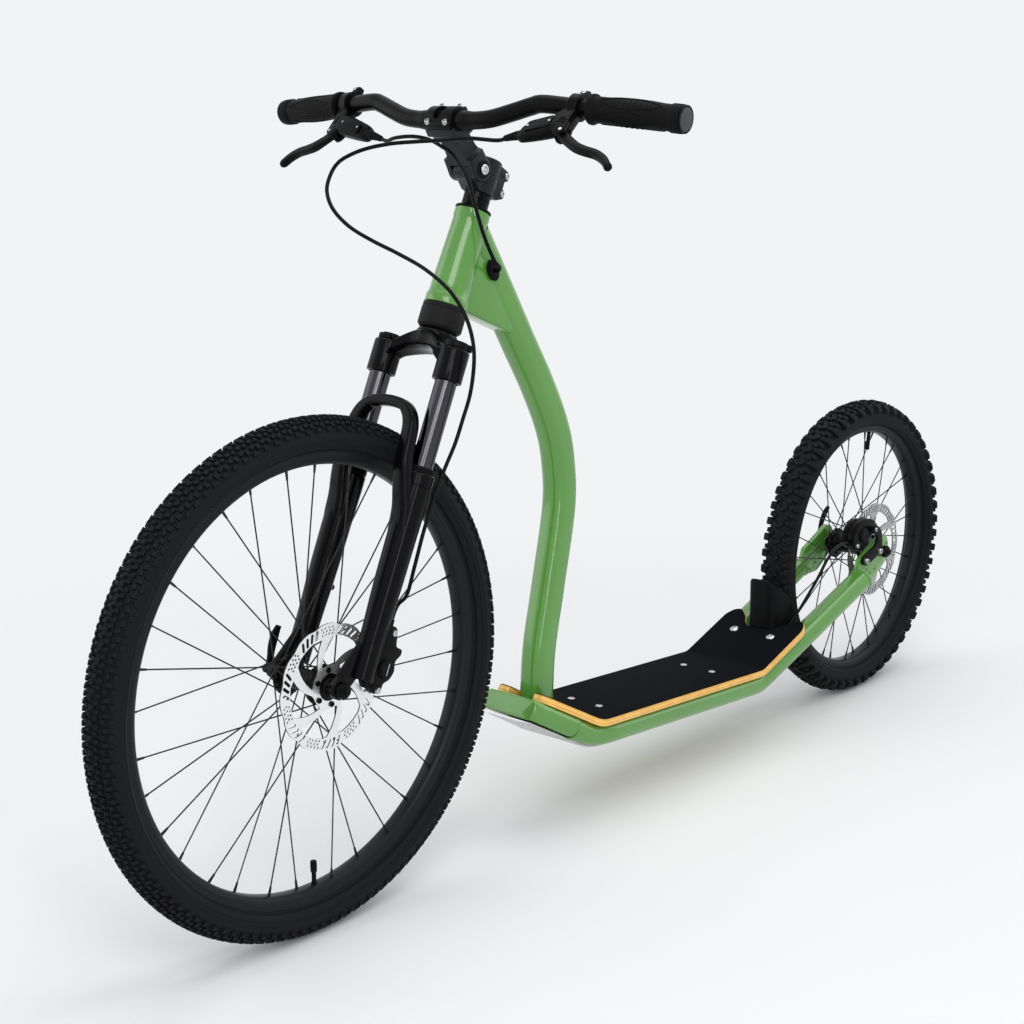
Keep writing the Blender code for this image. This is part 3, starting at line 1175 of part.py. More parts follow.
def lowers(parent):
    """Cast lower legs with the arch that joins them and the ends that hold the axle."""
    top, foot = leg_top(), LEG_FOOT - FORK_LENGTH
    item = None
    for side, label in ((1, "left"), (-1, "right")):
        wide, slim = LEG_TOP_RADIUS, LEG_FOOT_RADIUS
        profile = [(0.0, foot), (slim - 0.004, foot), (slim, foot + 0.006), (slim, foot + 0.055),
                   (0.0180, foot + 0.120), (wide, top - 0.030), (wide, top), (0.0, top)]
        leg = turned(profile, ROUND, closed=False)
        place = (LEG_FORWARD, side * LEG_SPREAD, 0.0)
        if item is None:
            gloss = finish("fork_lowers", (0.010, 0.011, 0.014), 0.3, 0.1)
            item = put("fork_lowers", leg, gloss, parent, place)
        else:
            boolean(item, put_cutter(label + "_leg", leg, parent, place), "UNION")
    middle = leg_top() + ARCH_HEIGHT - ARCH_THICKNESS / 2
    half_route = [(LEG_SPREAD - 0.001, LEG_FORWARD + 0.008, top - 0.040),
                  (LEG_SPREAD - 0.004, ARCH_FORWARD - 0.003, top - 0.014),
                  (LEG_SPREAD - 0.007, ARCH_FORWARD, top + 0.014),
                  (LEG_SPREAD - 0.011, ARCH_FORWARD, middle - 0.026),
                  (LEG_SPREAD - 0.024, ARCH_FORWARD, middle - 0.006), (0.014, ARCH_FORWARD, middle)]
    route = [Vector((x, y, z)) for y, x, z in half_route]
    route += [Vector((x, -y, z)) for y, x, z in reversed(half_route)]
    thickness = [0.020, 0.020, 0.018, 0.016, ARCH_THICKNESS, ARCH_THICKNESS]
    thickness += list(reversed(thickness))
    sections = [rounded_rectangle(width, ARCH_DEPTH, 0.0050, 1) for width in thickness]
    arch = sweep(route, sections, Vector((1.0, 0.0, 0.0)))
    boolean(item, put_cutter("fork_arch", arch, parent), "UNION")
    axle_x, axle_z = FORK_OFFSET, -FORK_LENGTH
    outline = [(LEG_FORWARD - 0.008, foot + 0.030), (LEG_FORWARD + 0.012, foot + 0.052),
               (axle_x + 0.009, axle_z + 0.014), (axle_x + 0.013, axle_z + 0.002),
               (axle_x + 0.009, axle_z - 0.010), (axle_x - 0.004, axle_z - 0.013),
               (LEG_FORWARD + 0.006, foot + 0.004)]
    inner = HUB_WIDTH / 2 + GAP
    for side, label in ((1, "left"), (-1, "right")):
        low, high = sorted((side * inner, side * (inner + FORK_END_THICKNESS)))
        boolean(item, put_cutter(label + "_fork_end", prism(outline, low, high), parent), "UNION")
    back = CALIPER_FACE + GAP
    for k, (low, high) in enumerate(CALIPER_PADS):
        low, high = low - FORK_LENGTH, high - FORK_LENGTH
        pad = [(back, low), (LEG_FORWARD, low), (LEG_FORWARD, high), (back, high)]
        boolean(item, put_cutter("caliper_pad_%d" % k, prism(pad, 0.0445, 0.0525), parent), "UNION")
    holes = bmesh.new()
    bore = ring_points(STANCHION_RADIUS + RUNNING_GAP, ROUND)
    for side in (1, -1):
        depth = LEG_BORE_DEPTH
        rings = [[(LEG_FORWARD + u, side * LEG_SPREAD + v, z) for u, v in bore]
                 for z in (top - depth, top + 0.004)]
        loft(rings, holes)
    boolean(item, put_cutter("leg_bores", holes, parent), "DIFFERENCE")
    bore = bmesh.new()
    section = ring_points(AXLE_RADIUS + GAP, 12)
    rings = [[(axle_x + u, y, axle_z + v) for u, v in section] for y in (-0.08, 0.08)]
    loft(rings, bore)
    boolean(item, put_cutter("fork_end_holes", bore, parent), "DIFFERENCE")


def wiper(name, side, parent):
    """Rubber wiper ring on top of a lower leg."""
    bore = STANCHION_RADIUS + GAP
    low = leg_top() + GAP
    profile = [(bore, low), (LEG_TOP_RADIUS - 0.003, low), (LEG_TOP_RADIUS - 0.003, low + 0.003),
               (bore + 0.0018, low + WIPER_HEIGHT), (bore, low + WIPER_HEIGHT)]
    return put(name, turned(profile, ROUND), rubber(name), parent, (LEG_FORWARD, side * LEG_SPREAD, 0.0))


def preload_dial(parent):
    """Round dial with a finger tab on top of the left leg."""
    low = CROWN_BLOCK_TOP + GAP
    outline = []
    for k in range(ROUND):
        angle = 2 * pi * k / ROUND
        radius = 0.0148 + (0.0055 if k in (0, 1) else 0.0)
        outline.append((radius * cos(angle), radius * sin(angle)))
    mesh = prism(outline, low, low + 0.009, "XY")
    place = (LEG_FORWARD, LEG_SPREAD, 0.0)
    put("preload_dial", mesh, plastic("preload_dial"), parent, place, (0.0, 0.0, radians(125)))


def lockout_knob(parent):
    """Notched knob on top of the right leg."""
    low = CROWN_BLOCK_TOP + GAP
    notches = 8
    outline = []
    for k in range(notches * 3):
        angle = 2 * pi * k / (notches * 3)
        radius = 0.0158 - (0.0022 if k % 3 == 0 else 0.0)
        outline.append((radius * cos(angle), radius * sin(angle)))
    rings = [[(u * scale, v * scale, low + height) for u, v in outline]
             for scale, height in ((1.0, 0.0), (1.0, 0.0065), (0.88, 0.0085))]
    put("lockout_knob", loft(rings), plastic("lockout_knob"), parent, (LEG_FORWARD, -LEG_SPREAD, 0.0))


def spacer(parent):
    """Round spacer between the headset and the stem."""
    low = HEAD_TUBE_LENGTH + GAP + UPPER_CUP_HEIGHT + GAP
    bore, radius = STEERER_RADIUS + GAP, 0.0175
    profile = [(bore, low), (radius, low), (radius, STEM_BASE_BOTTOM - GAP), (bore, STEM_BASE_BOTTOM - GAP)]
    put("steerer_spacer", turned(profile, ROUND), black_metal("steerer_spacer"), parent)


def stem_base(parent):
    """Lower half of the adjustable stem, clamped on the steerer, with the pivot boss."""
    low, high, x, z = STEM_BASE_BOTTOM, STEM_BASE_TOP, STEM_PIVOT_FORWARD, STEM_PIVOT_HEIGHT
    boss = [(x + u, z + v) for u, v in ring_points(STEM_PIVOT_RADIUS, 16, radians(-78.75))]
    front = [point for point in boss if point[0] > x - 0.006]
    outline = [(-0.031, low + 0.004), (-0.026, low)] + [(0.016, low)] + front
    outline += [(0.006, high), (-0.020, high), (-0.031, high - 0.010)]
    item = put("stem_base", prism(outline, -STEM_BASE_HALF, STEM_BASE_HALF),
               finish("stem_base", (0.05, 0.06, 0.065), 0.4, 0.7), parent)
    body = turned([(0.0, low), (0.0195, low), (0.0195, high - 0.002), (0.0180, high), (0.0, high)], ROUND,
                  closed=False)
    boolean(item, put_cutter("stem_clamp", body, parent), "UNION")
    radius = STEERER_RADIUS + GAP
    bore = turned([(0.0, low - 0.004), (radius, low - 0.004), (radius, high + 0.004), (0.0, high + 0.004)],
                  ROUND, closed=False)
    boolean(item, put_cutter("stem_bore", bore, parent), "DIFFERENCE")
    boolean(item, put_cutter("stem_pin_hole", stem_pin_room(), parent, (x, 0.0, z)), "DIFFERENCE")


def stem_pin_room():
    """The room of the bolt on which the stem tilts."""
    radius = 0.0040 + GAP
    return turned([(0.0, -0.03), (radius, -0.03), (radius, 0.03), (0.0, 0.03)], 12, "Y", closed=False)


def bar_room():
    """The room of the handlebar in its clamp."""
    radius = BAR_CLAMP_RADIUS + GAP
    return turned([(0.0, -0.04), (radius, -0.04), (radius, 0.04), (0.0, 0.04)], BAR_SIDES, "Y", closed=False)


def stem_bolt(parent):
    """Bolt on which the stem tilts."""
    end = STEM_BASE_HALF + GAP + STEM_CHEEK + GAP
    profile = [(0.0, end + 0.003), (0.0070, end + 0.003), (0.0080, end + 0.001), (0.0080, end), (0.0040, end),
               (0.0040, -end), (0.0080, -end), (0.0080, -end - 0.003), (0.0, -end - 0.003)]
    put("stem_pivot_bolt", turned(profile, 12, "Y", closed=False), steel("stem_pivot_bolt"), parent,
        (STEM_PIVOT_FORWARD, 0.0, STEM_PIVOT_HEIGHT))


def stem_arm(parent):
    """Upper half of the stem: two cheeks on the pivot and a half-round seat for the bar."""
    outer = STEM_BASE_HALF + GAP + STEM_CHEEK
    reach = STEM_LENGTH
    ring = ring_points(STEM_PIVOT_RADIUS, 20, radians(9.0))
    back = [point for point in ring if point[0] < 0.006]
    end = reach - 0.0004
    outline = back + [(0.024, -0.0130), (reach - 0.015, -0.0120), (reach - 0.009, -0.0205), (end, -0.0205),
                      (end, 0.0205), (reach - 0.012, 0.0205), (reach - 0.024, 0.0135), (0.024, 0.0150)]
    grey = finish("stem_arm", (0.045, 0.055, 0.06), 0.4, 0.7)
    item = put("stem_arm", prism(outline, -outer, outer), grey, parent)
    half = STEM_BASE_HALF + GAP
    room = turned([(0.0, -half), (0.0205, -half), (0.0205, half), (0.0, half)], ROUND, "Y", closed=False)
    boolean(item, put_cutter("stem_fork_room", room, parent), "DIFFERENCE")
    boolean(item, put_cutter("bar_seat", bar_room(), parent, (reach, 0.0, 0.0)), "DIFFERENCE")
    boolean(item, put_cutter("arm_pin_hole", stem_pin_room(), parent), "DIFFERENCE")


def stem_faceplate(parent):
    """Front half of the bar clamp with its four bolt bosses."""
    outer = STEM_BASE_HALF + GAP + STEM_CHEEK - 0.002
    arc = [(0.0175 * cos(radians(a)), 0.0175 * sin(radians(a))) for a in range(-60, 61, 20)]
    outline = [(GAP, -0.0205), (0.008, -0.0205)] + arc + [(0.008, 0.0205), (GAP, 0.0205)]
    outline = [(STEM_LENGTH + u, v) for u, v in outline]
    item = put("stem_faceplate", prism(outline, -outer, outer), black_metal("stem_faceplate"), parent)
    boolean(item, put_cutter("faceplate_seat", bar_room(), parent, (STEM_LENGTH, 0.0, 0.0)), "DIFFERENCE")
    bolts = bmesh.new()
    for v in (-0.0165, 0.0165):
        for y in (-0.015, 0.015):
            rings = [[(STEM_LENGTH + depth, y + a, v + b) for a, b in ring_points(0.0038, 6)]
                     for depth in (0.005, 0.0125)]
            loft(rings, bolts)
    boolean(item, put_cutter("faceplate_bolts", bolts, parent), "UNION")


def bar_route():
    """Centre line of the whole handlebar, from its right end to its left."""
    half = [Vector((0.0, 0.0, 0.0)), Vector((0.0, BAR_CLAMP_HALF, 0.0))]
    for share, across in ((0.12, 0.34), (0.50, 0.62), (0.88, 0.86)):
        y = BAR_CLAMP_HALF + (BAR_BEND_END - BAR_CLAMP_HALF) * across
        half.append(Vector((-BAR_SETBACK * share, y, BAR_RISE * share)))
    half.append(bar_point(1, BAR_BEND_END))
    half.append(bar_point(1, CONTROL_PLACE))
    half.append(bar_point(1, BAR_HALF_LENGTH))
    left = half[1:]
    return [Vector((p.x, -p.y, p.z)) for p in reversed(left)] + left


def handlebar(parent):
    """Riser bar, thicker in the clamp, with an open end for each plug."""
    route = bar_route()
    sections = []
    for point in route:
        radius = BAR_CLAMP_RADIUS if abs(point.y) < BAR_CLAMP_HALF + 0.001 else BAR_RADIUS
        sections.append(ring_points(radius, BAR_SIDES))
    item = put("handlebar", sweep(route, sections, Vector((1.0, 0.0, 0.0))), black_metal("handlebar"), parent)
    for side, label in ((1, "left"), (-1, "right")):
        start, end = bar_point(side, BAR_HALF_LENGTH - 0.020), bar_point(side, BAR_HALF_LENGTH + 0.01)
        plug = sweep([start, end], ring_points(BAR_BORE, BAR_SIDES), Vector((1.0, 0.0, 0.0)))
        boolean(item, put_cutter(label + "_bar_bore", plug, parent), "DIFFERENCE")


def bar_turn(side):
    """Rotation that lays local Z along the bar's outer part, outwards, with the facets in line."""
    out = (bar_point(side, 1.0) - bar_point(side, 0.0)).normalized()
    across = Vector((1.0, 0.0, 0.0)).cross(out).normalized()
    return Matrix((across.cross(out), out.cross(across.cross(out)), out)).transposed().to_euler()


def grip(side, label, parent):
    """Rubber grip with raised ends and shallow rings."""
    length = GRIP_LENGTH
    wide, bore = GRIP_RADIUS, BAR_RADIUS + GAP
    profile = [(bore, 0.0), (wide + 0.0015, 0.0), (wide + 0.0020, 0.006), (wide - 0.0010, 0.010)]
    for k in range(3):
        start = 0.022 + k * 0.030
        profile += [(wide - 0.0012, start), (wide + 0.0006 + 0.0003 * k, start + 0.018)]
    profile += [(wide + 0.0005, length), (bore, length)]
    along = (bar_point(side, 1.0) - bar_point(side, 0.0)).normalized()
    start = bar_point(side, BAR_HALF_LENGTH) - along * length
    put(label + "_grip", turned(profile, BAR_SIDES), rubber(label + "_grip"), parent, start, bar_turn(side))


def end_cap(side, label, parent):
    """Plug in the end of the bar."""
    profile = [(0.0, GRIP_CAP_DEPTH), (0.0150, GRIP_CAP_DEPTH), (0.0160, GAP),
               (BAR_BORE - GAP, GAP), (BAR_BORE - GAP, -0.015), (0.0, -0.015)]
    name = label + "_end_cap"
    put(name, turned(profile, BAR_SIDES, closed=False), finish(name, (0.06, 0.07, 0.075), 0.5),
        parent, bar_point(side, BAR_HALF_LENGTH), bar_turn(side))


def lever_pivot(side):
    """Lever pin in the control's frame."""
    return Vector((LEVER_PIVOT_OUT, side * 0.004, 0.0))


def master_line(side, inward):
    """Centre of the master cylinder at a distance inwards along the bar, in the control's frame."""
    beyond = max(inward - 0.010, 0.0)
    return Vector((MASTER_OFFSET + 0.215 * beyond, side * -inward, -0.205 * beyond))


def master(side, label, parent):
    """Brake master cylinder with its bar clamp, lever yoke and hose nut."""
    name = label + "_master_cylinder"
    rings = []
    for inward, scale in ((0.004, 0.80), (0.010, 1.0), (0.040, 1.0), (0.053, 0.86), (0.064, 0.52)):
        outline = rounded_rectangle(MASTER_DEPTH * scale, MASTER_HEIGHT * scale, 0.006 * scale, 2)
        centre = master_line(side, inward)
        rings.append([(centre.x + u, centre.y, centre.z + v) for u, v in outline])
    item = put(name, loft(rings), finish(name, (0.013, 0.013, 0.014), 0.35, 0.2), parent)
    ring = [(0.0, CONTROL_RING_WIDTH / 2), (CONTROL_RING_RADIUS, CONTROL_RING_WIDTH / 2),
            (CONTROL_RING_RADIUS, -CONTROL_RING_WIDTH / 2), (0.0, -CONTROL_RING_WIDTH / 2)]
    boolean(item, put_cutter(name + "_ring", turned(ring, ROUND, "Y", closed=False), parent), "UNION")
    yoke = [(0.010, side * -0.006), (0.030, side * -0.016), (0.050, side * -0.008), (0.054, side * 0.004),
            (0.048, side * 0.011), (0.020, side * 0.0065), (0.010, side * 0.0065)]
    boolean(item, put_cutter(name + "_yoke", prism(yoke, -0.0095, 0.0095, "XY"), parent), "UNION")
    nut = sweep([master_line(side, 0.060), master_line(side, MASTER_LENGTH)], ring_points(0.0048, 6),
                Vector((1.0, 0.0, 0.0)))
    boolean(item, put_cutter(name + "_nut", nut, parent), "UNION")
    section = ring_points(BAR_RADIUS + GAP, BAR_SIDES, -control_drop(side))
    bar = sweep([Vector((0.0, -0.03, 0.0)), Vector((0.0, 0.03, 0.0))], section, Vector((1.0, 0.0, 0.0)))
    boolean(item, put_cutter(name + "_bore", bar, parent), "DIFFERENCE")
    half = LEVER_THICKNESS / 2 + GAP
    pivot = lever_pivot(side)
    slot = [(0.0305, side * 0.030), (0.0305, side * -0.010), (0.075, side * -0.010), (0.075, side * 0.030)]
    boolean(item, put_cutter(name + "_slot", prism(slot, -half, half, "XY"), parent), "DIFFERENCE")
    pin = sweep([pivot + Vector((0, 0, -0.0085)), pivot + Vector((0, 0, 0.0085))], ring_points(0.0022, 8))
    boolean(item, put_cutter(name + "_pin", pin, parent), "UNION")


def brake_lever(side, label, parent):
    """Two-finger brake lever; its origin is on the pin."""
    pivot = lever_pivot(side)
    route = [(0.000, 0.000), (0.010, 0.015), (0.018, 0.030), (0.022, 0.045), (0.025, 0.060),
             (0.032, 0.074), (0.043, 0.086)]
    widths = (0.0120, 0.0115, 0.0095, 0.0088, 0.0088, 0.0092, 0.0080)
    points = [Vector((x, side * y, 0.0)) for x, y in route]
    sections = [rounded_rectangle(LEVER_THICKNESS if k < 2 else 0.0105, width, 0.0030, 1)
                for k, width in enumerate(widths)]
    name = label + "_brake_lever"
    mesh = sweep(points, sections, Vector((1.0, 0.0, 0.0)))
    item = put(name, mesh, finish(name, (0.012, 0.012, 0.013), 0.3, 0.4), parent, pivot)
    half = Vector((0.0, 0.0, LEVER_THICKNESS / 2))
    eye = sweep([-half, half], ring_points(0.0066, 10))
    boolean(item, put_cutter(name + "_eye", eye, parent, pivot), "UNION")
    bore = sweep([Vector((0, 0, -0.02)), Vector((0, 0, 0.02))], ring_points(0.0022 + GAP, 8))
    boolean(item, put_cutter(name + "_bore", bore, parent, pivot), "DIFFERENCE")


def hose_start(side):
    """First two points of a hose, straight out of its master cylinder's nut."""
    point, axes = control_frame(side)
    reaches = (MASTER_LENGTH + 2 * GAP, MASTER_LENGTH + 0.010)
    return [bar_centre() + point + axes @ master_line(side, reach) for reach in reaches]


# Route of the front hose as (forward, sideways, up) in the steering frame, and below it with the height
# as a share of the fork's length
FRONT_HOSE_LOOP = ((0.108, 0.062, 0.184), (0.117, 0.030, 0.177), (0.127, -0.005, 0.170),
                   (0.138, -0.035, 0.162), (0.148, -0.062, 0.151), (0.155, -0.081, 0.139),
                   (0.160, -0.093, 0.126), (0.161, -0.099, 0.109), (0.159, -0.099, 0.089),
                   (0.151, -0.088, 0.069), (0.139, -0.064, 0.052), (0.124, -0.034, 0.041),
                   (0.105, 0.000, 0.032), (0.085, 0.030, 0.022), (0.064, 0.055, 0.007))
FRONT_HOSE_DROP = ((0.048, 0.071, 0.021), (0.037, 0.083, 0.060), (0.026, 0.090, 0.106),
                   (0.017, 0.092, 0.156), (0.008, 0.090, 0.219), (0.005, 0.087, 0.282),
                   (0.003, 0.084, 0.344), (0.004, 0.080, 0.409), (0.005, 0.077, 0.483),
                   (0.003, 0.074, 0.569), (-0.002, 0.071, 0.661))


def front_hose_points():
    """Route of the front hose: across before the stem, round the right side and down the left leg."""
    middle = [from_steering(x, y, z) for x, y, z in FRONT_HOSE_LOOP]
    middle += [from_steering(x, y, -share * FORK_LENGTH) for x, y, share in FRONT_HOSE_DROP]
    end = HOSE_END_HEIGHT - FORK_LENGTH
    finish_points = [from_steering(HOSE_END_X, HOSE_END_Y + 0.0125, end + 0.034),
                     from_steering(HOSE_END_X, HOSE_END_Y + 0.0030, end + 0.020),
                     from_steering(HOSE_END_X, HOSE_END_Y + 0.0003, end + 0.008),
                     from_steering(HOSE_END_X, HOSE_END_Y, end + 2 * GAP)]
    return hose_start(1) + middle + finish_points


# Route of the rear hose above the frame as (forward, sideways, up) in the steering frame
REAR_HOSE_HEAD = ((0.092, -0.080, 0.188), (0.089, -0.055, 0.192), (0.084, -0.030, 0.191),
                  (0.080, -0.008, 0.184), (0.074, 0.014, 0.173), (0.058, 0.031, 0.151),
                  (0.033, 0.037, 0.119), (0.004, 0.037, 0.093), (-0.022, 0.039, 0.073))


def rear_hose_head_points():
    """Route of the rear hose from its master cylinder to the grommet."""
    place = grommet_place()
    mouth = Vector((place.x, DOWN_TUBE_WIDTH / 2 + 0.0040 + 2 * GAP, place.z))
    middle = [from_steering(x, y, z) for x, y, z in REAR_HOSE_HEAD]
    turn_in = mouth + Vector((0.0050, 0.0125, 0.0060))
    last = mouth + Vector((0.0, 0.006, 0.0))
    return hose_start(-1) + middle + [turn_in, last, mouth]


def rear_hose_points():
    """Route of the rear hose inside the frame, under the deck and up to the rear caliper."""
    place = grommet_place()
    mouth = Vector((place.x, DOWN_TUBE_WIDTH / 2 + 0.0040, place.z))
    tube = down_tube_route(0.010)
    below = [tube[round(share * (len(tube) - 1))] for share in TUBE_SHARES]
    line = BentLine(DECK_REAR_X, CROSSMEMBER_FRONT_X)
    points = [mouth, Vector((place.x, 0.017, place.z)), Vector((place.x - 0.002, 0.009, place.z - 0.006))]
    points += below
    points.append(Vector((DOWN_TUBE_BASE_X - 0.001, 0.0, nose_height(DOWN_TUBE_BASE_X) + 0.012)))
    for place_x, depth in ((DOWN_TUBE_BASE_X - 0.006, 0.007), (DOWN_TUBE_BASE_X - 0.018, 0.0135),
                           (RAIL_FRONT_X - 0.004, 0.0155), (RAIL_FRONT_X - 0.020, 0.0150)):
        at = line.at(line.place_of(place_x), -depth)
        points.append(Vector((at.x, 0.0, at.y)))
    for share, depth in ((0.93, 0.013), (0.64, 0.010), (0.35, 0.010), (0.056, 0.010), (-0.066, 0.012)):
        place_x = DECK_REAR_BEND_X + (DECK_FRONT_BEND_X - DECK_REAR_BEND_X) * share
        at = line.at(line.place_of(place_x), -depth)
        points.append(Vector((at.x, 0.0, at.y)))
    tail = [(0.316, 0.008, 0.1430), (0.292, 0.021, 0.1435), (0.272, 0.0325, 0.1515), (0.258, 0.0360, 0.1660),
            (0.247, 0.0380, 0.1830), (0.230, 0.0430, 0.2010), (0.207, 0.0470, 0.2260), (0.186, 0.0490, 0.2470),
            (0.160, 0.0470, 0.2680), (0.134, 0.0455, 0.2815), (0.112, 0.0445, 0.2858)]
    points += [Vector(point) for point in tail]
    end = Vector((0.0876, 0.044, REAR_AXLE_HEIGHT + 0.0320))
    points += [end + Vector((0.012, 0.0002, 0.0)), end]
    return points


def rear_hose_route():
    """Points of the hose inside and under the frame."""
    return thinned(smooth_route(rear_hose_points(), 0.004), 0.055, 0.0010)


def hoses(parents):
    """The two brake hoses, each split where it crosses from one moving part to the next."""
    origin = parents["origin"]
    route = thinned(smooth_route(front_hose_points(), 0.004), 0.022, 0.0005)
    split = round(len(route) * 0.50)
    cut = (route[split + 1] - route[split]).normalized() * 2 * GAP
    hose("front_hose_upper", route[:split + 1], origin)
    hose("front_hose_lower", [route[split] + cut] + route[split + 1:], origin)
    route = thinned(smooth_route(rear_hose_head_points(), 0.004), 0.018)
    split = round(len(route) * 0.55)
    cut = (route[split + 1] - route[split]).normalized() * 2 * GAP
    hose("rear_hose_upper", route[:split + 1], origin)
    hose("rear_hose_lower", [route[split] + cut] + route[split + 1:], origin)
    hose("rear_hose_run", rear_hose_route(), origin)


def build_wheels(parents):
    """Both wheels with their discs, axles and quick-release levers."""
    front, rear = parents["front_axle"], parents["rear_axle"]
    tyre("front_tyre", FRONT_TYRE_RADIUS, FRONT_RIM_RADIUS, FRONT_KNOB_ROWS, front)
    tyre("rear_tyre", REAR_TYRE_RADIUS, REAR_RIM_RADIUS, REAR_KNOB_ROWS, rear)
    rim("front_rim", FRONT_RIM_RADIUS, FRONT_RIM_DEPTH, FRONT_KNOB_ROWS, front)
    rim("rear_rim", REAR_RIM_RADIUS, REAR_RIM_DEPTH, REAR_KNOB_ROWS, rear)
    laced_hub("front_hub", FRONT_RIM_RADIUS, FRONT_RIM_DEPTH, FRONT_KNOB_ROWS, pi / SPOKE_COUNT, front)
    laced_hub("rear_hub", REAR_RIM_RADIUS, REAR_RIM_DEPTH, REAR_KNOB_ROWS, pi / SPOKE_COUNT, rear)
    rotor("front_rotor", front)
    rotor("rear_rotor", rear)
    axle("front_axle", front)
    axle("rear_axle", rear)
    release_lever("front_release_lever", 0.056, radians(-23.0), front)
    release_lever("rear_release_lever", 0.064, radians(-35.0), rear)


def build_frame(parents):
    """Welded frame, deck and the parts fixed to them."""
    origin, steering = parents["origin"], parents["steering"]
    head_tube(steering)
    headset(steering)
    room = head_tube_cutter(steering)
    down_tube(origin, room)
    neck_gusset(origin, room)
    grommet(origin)
    crossmember(origin)
    for side, label in ((1, "left"), (-1, "right")):
        side_rail(label + "_rail", side, origin)
        dropout(label + "_dropout", side, origin)
    deck(origin)
    for name, (x, spread, head) in zip(BEARER_NAMES, BEARERS):
        bearer(name, x, spread, head, origin)
    skid_strip(origin)
    wheel_guard(origin)
    rear_caliper(origin)


def build_fork(parents):
    """Suspension fork."""
    steering = parents["steering"]
    crown(steering)
    lowers(steering)
    for side, label in ((1, "left"), (-1, "right")):
        stanchion(label + "_stanchion", side, steering)
        wiper(label + "_wiper", side, steering)
    preload_dial(steering)
    lockout_knob(steering)
    front_caliper(steering)


def build_controls(parents):
    """Stem, handlebar and brake controls."""
    steering, stem, bar = parents["steering"], parents["stem"], parents["bar"]
    spacer(steering)
    stem_base(steering)
    stem_bolt(steering)
    stem_arm(stem)
    stem_faceplate(stem)
    handlebar(bar)
    for side, label in ((1, "left"), (-1, "right")):
        grip(side, label, bar)
        end_cap(side, label, bar)
        master(side, label, parents[label + "_control"])
        brake_lever(side, label, parents[label + "_control"])


def main():
    """Build the whole scooter."""
    clear_scene()
    parents = make_parents()
    build_wheels(parents)
    build_frame(parents)
    build_fork(parents)
    build_controls(parents)
    hoses(parents)


main()
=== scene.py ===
"""Looks of the dog scooter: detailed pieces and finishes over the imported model, a plain studio and a camera.

Lengths are metres, but those given to pairs() and triples() are millimetres. Places along the scooter are
measured from the rear axle in the scooter's own frame. Places on the fork and stem are measured in the
steering frame, whose Z runs up the steering axis.
"""
import logging
from dataclasses import dataclass, field
from enum import Enum
from math import asin, atan2, cos, hypot, pi, radians, sin, sqrt, tan
from typing import Iterable, Sequence

import bmesh
import bpy
from bmesh.types import BMEdge, BMesh, BMFace, BMVert
from bpy.types import ID, Material, Mesh, Node, NodeSocket, NodeTree, Object
from mathutils import Matrix, Vector


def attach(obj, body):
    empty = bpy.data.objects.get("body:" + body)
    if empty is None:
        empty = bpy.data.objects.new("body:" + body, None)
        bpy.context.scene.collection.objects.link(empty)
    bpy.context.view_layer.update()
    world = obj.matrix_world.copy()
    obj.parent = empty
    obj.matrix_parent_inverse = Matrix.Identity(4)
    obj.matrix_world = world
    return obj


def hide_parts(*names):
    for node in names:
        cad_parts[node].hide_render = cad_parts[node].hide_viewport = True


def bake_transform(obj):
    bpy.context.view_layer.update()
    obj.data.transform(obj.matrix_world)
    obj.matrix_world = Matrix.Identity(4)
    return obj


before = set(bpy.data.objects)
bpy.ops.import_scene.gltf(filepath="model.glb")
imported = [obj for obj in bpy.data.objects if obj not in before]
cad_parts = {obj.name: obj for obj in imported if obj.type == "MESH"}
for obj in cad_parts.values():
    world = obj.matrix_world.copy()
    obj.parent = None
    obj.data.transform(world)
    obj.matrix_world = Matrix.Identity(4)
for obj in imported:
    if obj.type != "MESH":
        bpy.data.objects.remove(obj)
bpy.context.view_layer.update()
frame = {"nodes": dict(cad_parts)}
LOG = logging.getLogger("dog_scooter")

Point = Sequence[float]
Outline = list[tuple[float, float]]

X_AXIS, Y_AXIS, Z_AXIS = Vector((1.0, 0, 0)), Vector((0, 1.0, 0)), Vector((0, 0, 1.0))
STANDING = Matrix(((0, 0, 1, 0), (0, 1, 0, 0), (1, 0, 0, 0), (0, 0, 0, 1)))
SIDES = ((1, "left"), (-1, "right"))
BACKDROP = (0.880, 0.895, 0.910, 1.0)
BROAD_NOISE = 9.0
PLY_WAVES = 2.0
SHARP = 32.0
GAP = 0.0003
CLEAR = 0.002


class Grain(Enum):
    """How a finish's small relief is laid."""

    NONE = "none"
    ORANGE_PEEL = "orange peel"
    CAST = "cast"
    MOULDED = "moulded"
    GRIT = "grit"
    BRUSHED_RING = "brushed ring"
    PLIES = "plies"


@dataclass(frozen=True)
class Graph:
    """The nodes of a material or of the world, each made and joined in one step."""

    tree: NodeTree

    def add(self, kind: str, inputs: dict[str | int, object], **settings: object) -> Node:
        """Add a node and fill its inputs.

        Args:
            kind: the node's type, without the start that all of them share.
            inputs: what each input takes, as in fill().
            settings: the node's own attributes.

        Returns:
            The new node.
        """
        node = self.tree.nodes.new("ShaderNode" + kind)
        for name, value in settings.items():
            setattr(node, name, value)
        self.fill(node, inputs)
        return node

    def fill(self, node: Node, inputs: dict[str | int, object]) -> None:
        """Fill a node's inputs.

        Args:
            node: the node.
            inputs: a value for each input, or the socket that it is joined to.
        """
        for name, value in inputs.items():
            if isinstance(value, NodeSocket):
                self.tree.links.new(value, node.inputs[name])
            else:
                node.inputs[name].default_value = value


